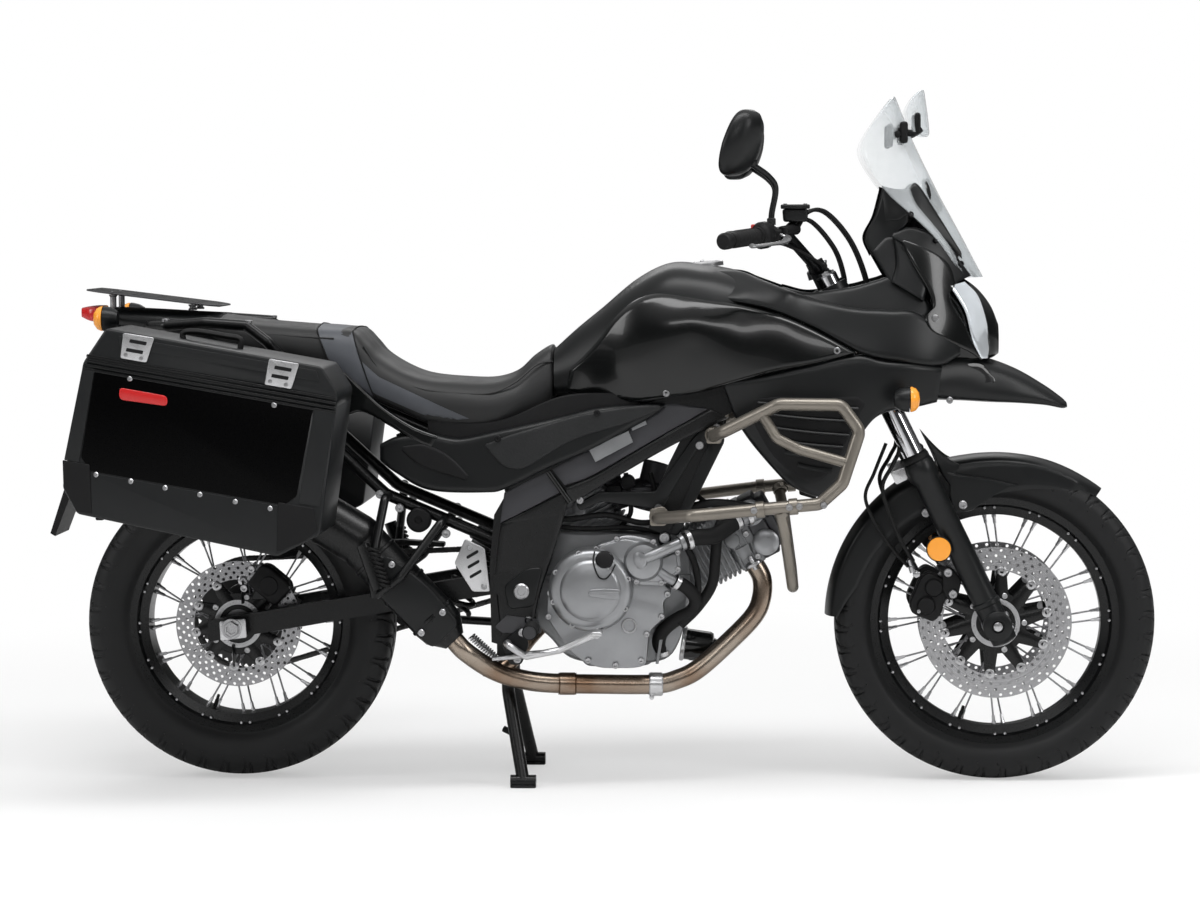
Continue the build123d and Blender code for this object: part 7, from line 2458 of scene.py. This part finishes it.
@dataclass
class FrontEnd:
    """Fork details, mudguard, brakes and brake pipes."""

    axle: tuple[float, float] = FRONT_AXLE
    rake: float = 26.0
    leg_half: float = 102.0

    def along(self, x: float, y: float, z: float) -> tuple[float, float, float]:
        """A point given in the fork's own frame."""
        c, s = math.cos(math.radians(self.rake)), math.sin(math.radians(self.rake))
        return (self.axle[0] + x * c - z * s, y, self.axle[1] + x * s + z * c)

    def up(self) -> tuple[float, float, float]:
        """The direction up the fork."""
        return (-math.sin(math.radians(self.rake)), 0, math.cos(math.radians(self.rake)))

    def build(self) -> None:
        """Makes every piece that steers with the wheel."""
        self.legs()
        self.mudguard()
        self.calipers()
        self.pipes()

    def legs(self) -> None:
        """Sliders with their collars and axle clamps, dust seals and top caps."""
        base = self.along(0, -self.leg_half, 0)
        slider = turned(
            [
                (18, -40), (26, -36), (27, -10), (27, 44), (29, 46), (29, 54), (26.2, 56), (26.2, 330), (31, 338),
                (31.5, 364), (29, 372), (22.4, 374)
            ],
            base, self.up(), 44
        )
        axle_cap = turned(
            [(30, -8), (30, 8), (26, 11), (13, 11), (12, 6), (0.4, 6)],
            (self.axle[0], -self.leg_half - 24, self.axle[1]), TO_RIGHT, 36
        )
        pair("fork_lowers", [slider, axle_cap], SATIN_BLACK, Body.STEERING, replaces=("fork_sliders",))
        seal = turned([(22, 372), (27, 373), (28, 380), (25, 386), (21.9, 388)], base, self.up(), 40)
        pair("dust_seals", seal, RUBBER, Body.STEERING)
        cap = turned([(21, 788), (21, 793), (14, 794), (14, 799), (12, 800), (0.4, 800)], base, self.up(), 6)
        pair("fork_caps", cap, ZINC, Body.STEERING)
        pinch = [self.along(24, -self.leg_half - 12, d) for d in (-14, 12)]
        pins = [
            turned(
                [(7, -3), (7, 5), (5, 6.5), (0.3, 6.5)], p,
                (math.cos(math.radians(self.rake)), -0.4, math.sin(math.radians(self.rake))), 6
            )
            for p in pinch
        ]
        pair("pinch_bolts", pins, ZINC, Body.STEERING)
        plug = turned(
            [(9, 0), (9, 3), (6, 4), (0.4, 4)], (self.axle[0], -self.leg_half - 34, self.axle[1]), TO_RIGHT, 24
        )
        pair("axle_plugs", plug, ZINC, Body.STEERING)
        clamp_bolts = [self.along(-24, -self.leg_half - 26, d) for d in (556, 572, 752, 764)]
        pair("clamp_bolts", bolts(clamp_bolts, TO_RIGHT, 6, 5), ZINC, Body.STEERING)

    def mudguard(self) -> None:
        """Front mudguard: a crowned arch carried round the axle, with sides that deepen towards the fork."""
        turn = np.radians(np.linspace(51, 178, 110))
        degrees = np.degrees(turn)
        side = np.interp(
            degrees, [51, 62, 80, 92, 104, 112, 120, 140, 165, 178], [2, 26, 52, 66, 96, 96, 64, 52, 40, 8]
        )
        width = np.interp(degrees, [51, 60, 80, 110, 178], [22, 50, 64, 66, 62])
        across_share = np.concatenate(
            [-np.ones(6) - np.linspace(1, 0, 6, endpoint=False), np.linspace(-1, 1, 25), 1 + np.linspace(0, 1, 7)[1:]]
        )
        s, t = np.meshgrid(across_share, turn)
        core = np.clip(s, -1, 1)
        drop = np.clip(np.abs(s) - 1, 0, 1)
        crown = self.crown(degrees)[:, None] - 11 * core**4 - 5 * (1 - np.cos(core * math.pi)) / 2
        r = crown - side[:, None] * drop
        y = width[:, None] * core * (1 - 0.06 * np.abs(core) ** 8) + np.sign(s) * 3.5 * np.sin(drop * math.pi / 2)
        r = np.maximum(r, 233)
        sheets = ((r, y), (r - 3.0, y * 0.96))
        outer, inner = (
            np.stack([self.axle[0] + d * np.cos(t), w, self.axle[1] + d * np.sin(t)], axis=-1) for d, w in sheets
        )
        fit(
            "mudguard_shell", grid(np.concatenate([outer, inner[:, ::-1]], axis=1), wrap_v=True, caps=True),
            SATIN_BLACK, Body.STEERING, replaces=("front_fender",), crease=50
        )
        wings = [(664, 721), (692, 690), (716, 668), (740, 655)]
        lower = [(668, 712), (688, 672), (702, 640), (722, 610)]
        flank = Flank(
            [
                (664, 721, 56), (690, 690, 62), (720, 660, 70), (740, 640, 71), (700, 640, 71), (722, 600, 72),
                (770, 590, 71), (750, 560, 71)
            ]
        )
        pair("mudguard_wings", panel(lower, wings, flank, 3, 4, 0, 24, 10), SATIN_BLACK, Body.STEERING)
        low = [(722, 606), (722, 556), (740, 556), (768, 562), (800, 588)]
        high = [(716, 640), (744, 634), (780, 630), (820, 622), (860, 612)]
        pair("mudguard_ears", panel(low, high, flank, 3, 4, 1.5, 26, 12), SATIN_BLACK, Body.STEERING)
        pair("mudguard_bolts", bolts([(747, -73, 572), (672, -73, 556)], TO_RIGHT, 9, 4), ZINC, Body.STEERING)

    @staticmethod
    def crown(degrees: np.ndarray) -> np.ndarray:
        """Radius of the mudguard's middle line at each angle about the axle."""
        return np.interp(
            degrees, [51, 58, 70, 82, 92, 100, 106, 112, 125, 178],
            [349, 348, 347.5, 346, 345.5, 346, 348, 349, 349, 349]
        )

    def calipers(self) -> None:
        """Brake calipers: a body with two domed pistons' covers, bolts and a pad pin."""
        front = (680.0, -65.0, 386.0)
        out, side = self.spokewise(front, self.axle)
        centre = np.array([front[0], 0, front[2]])
        shape = [(-30, -44), (22, -46), (32, -30), (34, 30), (22, 46), (-28, 46), (-36, 20), (-30, 0), (-36, -22)]
        bridge = [(20, -40), (34, -30), (34, 30), (20, 40)]
        blocks = [slab(shape, -30, -7.5, 6, 10), slab(shape, 7.5, 20, 5, 10), slab(bridge, -10, 10, 2, 6)]
        blocks = [across(block, front, out, TO_LEFT) for block in blocks]
        domes = [
            turned([(19, 0), (19, 5), (16, 9), (0.4, 9)], centre + side * k + (0, -93, 0), TO_RIGHT, 32)
            for k in (-20, 20)
        ]
        mounts = [
            slab([(690, 452), (724, 446), (744, 420), (736, 384), (716, 378), (704, 400), (706, 430)], -100, -86, 3, 8)
        ]
        pair("front_caliper_bodies", blocks + domes + mounts, MATT_BLACK, Body.STEERING, replaces=("front_calipers",))
        pins = bolts([(716, -100, 436), (726, -100, 392)], TO_RIGHT, 9, 6)
        banjo = turned([(8, 0), (8, 8), (5, 10), (0.3, 10)], (652, -86, 432), TO_RIGHT, 6)
        pad_pin = rod(*(centre + side * 36 + out * 10 + (0, y, 0) for y in (-104, -60)), 4)
        pair("front_caliper_bolts", [pins, banjo, pad_pin], ZINC, Body.STEERING)
        x, y, z = rear = (-676.0, -64.5, 408.0)
        out, _ = self.spokewise(rear, REAR_AXLE)
        shape, back = ([(e, -38), (24, -40), (32, -26), (32, 26), (24, 40), (e, 38)] for e in (-26, -30))
        bridge = [(19, -34), (32, -26), (32, 26), (19, 34)]
        blocks = [slab(shape, -38, -8.5, 6, 10), slab(back, 7.5, 19, 5, 10), slab(bridge, -10, 10, 2, 6)]
        shells = [across(block, rear, out, TO_LEFT) for block in blocks]
        shells.append(turned([(22, -4), (22, 2), (18, 6), (0.4, 6)], (x, y - 34, z), TO_RIGHT, 36))
        fit("rear_caliper_body", shells, MATT_BLACK, replaces=("rear_caliper",))
        carrier = slab([(-716, 376), (-640, 382), (-652, 430), (-700, 420)], y - 22, y - 9, 2, 8)
        fit("rear_caliper_carrier", carrier, BLACK_PAINT)
        spots = [(-712, y - 30, 442), (-640, y - 30, 404), (-728, y - 26, 402)]
        fit("rear_caliper_bolts", bolts(spots, TO_RIGHT, 8, 6), ZINC)

    @staticmethod
    def spokewise(place: Vec, axle: tuple[float, float]) -> tuple[np.ndarray, np.ndarray]:
        """The unit vectors away from an axle and square to that, in the wheel's plane."""
        away = math.atan2(place[2] - axle[1], place[0] - axle[0])
        return np.array([math.cos(away), 0, math.sin(away)]), np.array([-math.sin(away), 0, math.cos(away)])

    def pipes(self) -> None:
        """Brake hoses and the wheel-speed wire, clipped to the fork."""
        lines = [
            hose(
                [
                    (560, -70, 905), (590, -92, 800), (616, -104, 700), (604, -116, 660), (582, -118, 614),
                    (596, -112, 560), (616, -100, 510), (642, -92, 462), (654, -90, 440)
                ],
                4.2, 70, 10
            )
        ]
        lines.append(
            hose(
                [
                    (580, 60, 900), (596, 92, 800), (618, 104, 700), (606, 116, 660), (584, 118, 614), (600, 112, 560),
                    (620, 100, 510), (642, 92, 462), (654, 90, 440)
                ],
                4.2, 70, 10
            )
        )
        lines.append(
            hose(
                [(590, -96, 700), (566, -100, 640), (548, -98, 590), (572, -92, 530), (606, -84, 480), (636, -80, 446)],
                3.6, 60, 8
            )
        )
        fit("brake_hoses", lines, RUBBER, Body.STEERING)
        unions = [
            turned([(7, 0), (7, 12), (5, 14), (5, 26), (4, 27)], (646, y, 436), (-0.3, 0, 0.95), 14)
            for y in (-92, 92, -80)
        ]
        fit("hose_unions", unions, ZINC, Body.STEERING)
        bracket = slab([(598, 642), (626, 652), (634, 628), (610, 616)], -112, -108, 1, 4)
        pair("hose_bracket", bracket, BRIGHT_ALLOY, Body.STEERING)


@dataclass
class Cockpit:
    """Grips, switches, levers, reservoir, mirrors and cables on the handlebar."""

    end: tuple[float, float, float] = (277.0, -417.0, 1115.0)
    start: tuple[float, float, float] = (384.0, -190.0, 1130.0)

    def at(self, inward: float, *shift: float) -> np.ndarray:
        """A point beside the right-hand bar, measured inwards from its end."""
        a, b = np.array(self.end), np.array(self.start)
        return a + unit(b - a) * inward + (np.array(shift) if shift else 0.0)

    def build(self) -> None:
        """Makes everything on the bar, all steering."""
        self.grips()
        self.switches()
        self.levers()
        self.mirrors()
        self.cables()

    def grips(self) -> None:
        """Ribbed rubber grips with flanged ends and bar weights."""
        d = unit(np.array(self.start) - np.array(self.end))
        length, rows = 129.0, 130
        t = np.linspace(0, length, rows)
        radius = 16.0 + 0.55 * np.sign(np.sin(t * TURN / 6.0)) * (t > 16) * (t < 112) + 2.6 * (t > 119)
        path = np.array(self.end)[None] - d * 4 + t[:, None] * d
        pair("grip_rubbers", sweep(path, radius, 28), RUBBER, Body.STEERING, replaces=("grips",), crease=60)
        weight = turned(
            [(11, 0), (15.5, 1), (16.5, 6), (16.5, 22), (13, 27), (0.4, 28)], np.array(self.end) - d * 4, -d, 36
        )
        pair("bar_weights", weight, MATT_BLACK, Body.STEERING)

    def switches(self) -> None:
        """Switch housings with their buttons, the right one with a red switch."""
        a, b = self.at(128), self.at(170)
        shell = sweep(
            np.stack([a + (b - a) * k for k in np.linspace(0, 1, 12)]),
            np.array([17, 21, 23, 24, 24, 24, 24, 24, 24, 23, 20, 15]), 24, flat=1.12
        )
        clamp = sweep(np.stack([self.at(k) for k in np.linspace(176, 192, 6)]), np.array([15, 18, 18, 18, 18, 15]), 20)
        pair("switch_housings", [shell, clamp], MATT_BLACK, Body.STEERING, replaces=("hand_controls",))
        p = self.at(150, -16, -6, 14)
        red = box_shell((p[0] - 8, p[1] - 6, p[2] - 3), (p[0] + 8, p[1] + 6, p[2] + 8), 2)
        fit("stop_switch", red, RED_SWITCH, Body.STEERING)
        spots = [(self.at(140, -20, 2, 2), 6.0), (self.at(158, -20, 2, -4), 5.0), (self.at(150, -22, 2, -12), 5.0)]
        keys = [turned([(r, 0), (r, 5), (r * 0.8, 6.5), (0.3, 6.5)], c, (-0.85, 0, 0.35), 18) for c, r in spots]
        pair("switch_keys", keys, SATIN_BLACK, Body.STEERING)

    def levers(self) -> None:
        """Brake and clutch levers with their perches, and the brake reservoir."""
        line = smooth(
            [
                self.at(172, 28, 0, 0), self.at(160, 44, 0, -6), self.at(118, 52, 0, -12), self.at(60, 50, 0, -12),
                self.at(8, 44, 0, -12), self.at(0, 42, 0, -10)
            ],
            60
        )
        size = np.interp(np.linspace(0, 1, 60), [0, 0.15, 0.5, 0.9, 1], [8, 8.5, 6, 5.5, 7.5])
        pair("hand_levers", sweep(line, size, 14, flat=0.62), BRIGHT_ALLOY, Body.STEERING)
        perch = [box_shell(self.at(178, 2, 0, 0) + (0, -12, -12), self.at(178, 40, 0, 0) + (0, 10, 10), 5)]
        perch.append(turned([(8, -14), (8, 14), (5, 15), (0.3, 15)], self.at(170, 34, 0, -1), (0.1, 0, 1), 20))
        pair("lever_perches", perch, MATT_BLACK, Body.STEERING)
        master = rod(self.at(168, 28, 2, 6), self.at(214, 40, 10, 8), 11, 3)
        fit("master_cylinder", master, MATT_BLACK, Body.STEERING)
        x, y, z = 405.0, -214.0, 1164.0
        cup = slab([(x - 24, z - 14), (x + 24, z - 14), (x + 26, z + 12), (x - 26, z + 12)], y - 20, y + 20, 5, 6)
        lid = slab([(x - 29, z + 12), (x + 29, z + 12), (x + 29, z + 21), (x - 29, z + 21)], y - 24, y + 24, 3, 3)
        fit("reservoir_cup", [cup, lid], SATIN_BLACK, Body.STEERING)
        fit("reservoir_screws", bolts([(x - 20, y, z + 21), (x + 20, y, z + 21)], UP, 4, 2), ZINC, Body.STEERING)
        fit(
            "bar_clamp_caps", [box_shell((434, s * 34 - 14, 1040), (472, s * 34 + 14, 1068), 5) for s in (-1, 1)],
            SATIN_BLACK, Body.STEERING
        )
        fit(
            "bar_clamp_screws", bolts([(440 + k, s * 34, 1068) for s in (-1, 1) for k in (0, 26)], UP, 5, 4), ZINC,
            Body.STEERING
        )
        key = turned([(19, -10), (19, 6), (16, 9), (6, 9), (5, 6), (0.3, 6)], (450, 0, 1044), (-0.3, 0, 1), 30)
        fit("key_barrel", key, ZINC, Body.STEERING)

    def mirrors(self) -> None:
        """Mirrors: a rounded dark shell, its glass facing back, and a stem with a bend."""
        u = angles(72)
        half_w = 54 * np.sign(np.cos(u)) * np.abs(np.cos(u)) ** 0.62
        half_h = 63 * np.sign(np.sin(u)) * np.abs(np.sin(u)) ** 0.72
        taper = 1 - 0.22 * (half_h > 0) * (np.abs(half_h) / 63)
        centre = np.array([292.0, -352.0, 1305.0])

        def lofted(stations: list[tuple[float, float]]) -> Shell:
            """The outline carried forwards by each depth, at each scale.

            Args:
                stations: depth and scale of each ring.

            Returns:
                The skin, turned outwards.
            """
            rings = [
                np.column_stack(
                    [
                        centre[0] + depth + 0.3 * half_h * scale, centre[1] + half_w * taper * scale,
                        centre[2] + half_h * scale
                    ]
                )
                for depth, scale in stations
            ]
            return self.turned_out(grid(np.stack(rings), wrap_v=True, caps=True), centre)

        shell = lofted([(-1, 1.0), (1.5, 1.02), (8, 1.02), (20, 0.94), (32, 0.74), (38, 0.45), (40, 0.12)])
        pair("mirror_shells", shell, SATIN_BLACK, Body.STEERING, replaces=("mirrors",), crease=50)
        glass = lofted([(-0.2, 0.93), (-2.2, 0.93), (-2.6, 0.90)])
        pair("mirror_glass", glass, CHROME, Body.STEERING, crease=50)
        stem = smooth(
            [
                self.at(189, 0, 0, 13), self.at(189, 1, 0, 42), (366, -262, 1216), (352, -284, 1240), (322, -322, 1262),
                (312, -336, 1272)
            ],
            50
        )
        ball = turned(
            [(0.4, -13), (9, -11), (13, -4), (13, 4), (9, 11), (0.4, 13)], (316, -334, 1270), (-0.6, -0.5, 0.5), 24
        )
        nut = turned([(10, 0), (10, 12), (8, 14)], self.at(189, 0, 0, 18), UP, 6)
        pair("mirror_stems", [sweep(stem, 6, 14), ball, nut], SATIN_BLACK, Body.STEERING)

    @staticmethod
    def turned_out(shell: Shell, centre: np.ndarray, angle: float = 33.0) -> Shell:
        """A skin turned about an upright line through a centre, so that its back looks outwards.

        Args:
            shell: the skin.
            centre: a point of the line.
            angle: how far, in degrees.

        Returns:
            The turned skin.
        """
        c, s = math.cos(math.radians(angle)), math.sin(math.radians(angle))
        offset = shell.points - centre
        return Shell(
            centre + np.column_stack(
                [offset[:, 0] * c + offset[:, 1] * s, -offset[:, 0] * s + offset[:, 1] * c, offset[:, 2]]
            ),
            shell.faces
        )

    def cables(self) -> None:
        """Throttle, clutch and brake lines from the bar down to the head."""
        lines = [
            hose(
                [
                    self.at(168, 20, 4, -10), (404, -196, 1150), (440, -150, 1150), (486, -112, 1096), (506, -86, 1040),
                    (508, -78, 1000)
                ],
                4.0, 50, 10
            ),
            hose(
                [
                    self.at(214, 40, 10, 8), (432, -180, 1170), (470, -140, 1168), (520, -104, 1110), (552, -84, 1030),
                    (560, -74, 960), (560, -70, 905)
                ],
                4.2, 50, 10
            ),
            hose(
                [self.at(160, 10, 4, -18), (380, -190, 1106), (420, -150, 1088), (470, -110, 1054), (492, -92, 1010)],
                3.6, 50, 10
            ),
        ]
        lines += [shell.mirrored() for shell in lines[:2]]
        fit("control_cables", lines, RUBBER, Body.STEERING)
        ferrule = turned([(5.5, 0), (5.5, 16), (4.2, 18)], self.at(176, 24, 4, -10), (0.8, 0.5, 0.2), 12)
        fit("cable_ferrules", ferrule, ZINC, Body.STEERING)


def main() -> None:
    """Builds the motorcycle, sub-assembly by sub-assembly, and reports each one."""
    logging.basicConfig(level=logging.INFO, format="%(name)s %(message)s")
    front = Wheel(
        "front", Body.FRONT_WHEEL, FRONT_AXLE, tyre_r=329.3, tyre_half=55.0, seat_r=241.3, rim_half=32.0, hub_half=60.0,
        blocks=44
    )
    rear = Wheel(
        "rear", Body.REAR_WHEEL, REAR_AXLE, tyre_r=320.9, tyre_half=75.0, seat_r=215.9, rim_half=50.0, hub_half=62.0,
        blocks=40, foot_r=47.0
    )
    assemblies = [
        Studio(), FuelTank(), Fairing(), SidePanels(), Saddle(), front, rear, Drive(), Powertrain(), Exhaust()
    ]
    assemblies += [
        Screens(), Dials(), Lamps(), Panniers(), Racks(), CrashBars(), Spars(), Radiator(), Stands(), FrontEnd(),
        Cockpit()
    ]
    for assembly in assemblies:
        assembly.build()
        LOG.info("built %s", type(assembly).__name__)
    dress_nodes(
        {
            "main_frame": BLACK_PAINT, "subframe": BLACK_PAINT, "swingarm": BLACK_PAINT, "centre_stand": BLACK_PAINT,
            "side_stand": BLACK_PAINT,
            "triple_clamps": SATIN_BLACK, "fork_stanchions": CHROME, "handlebar": BLACK_PAINT, "crash_bars": BAR_METAL,
            "pannier_carriers": BLACK_PAINT,
            "rider_pegs": DARK_ALLOY, "passenger_pegs": BLACK_PAINT, "foot_levers": BRIGHT_ALLOY,
            "muffler": BLACK_PAINT,
            "radiator": MATT_BLACK, "grab_rail": BLACK_PAINT, "rear_fender": MATT_BLACK,
            "front_hub_and_spokes": SPOKE_STEEL, "rear_hub_and_spokes": SPOKE_STEEL,
        }
    )
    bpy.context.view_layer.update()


if __name__ == "__main__":
    main()
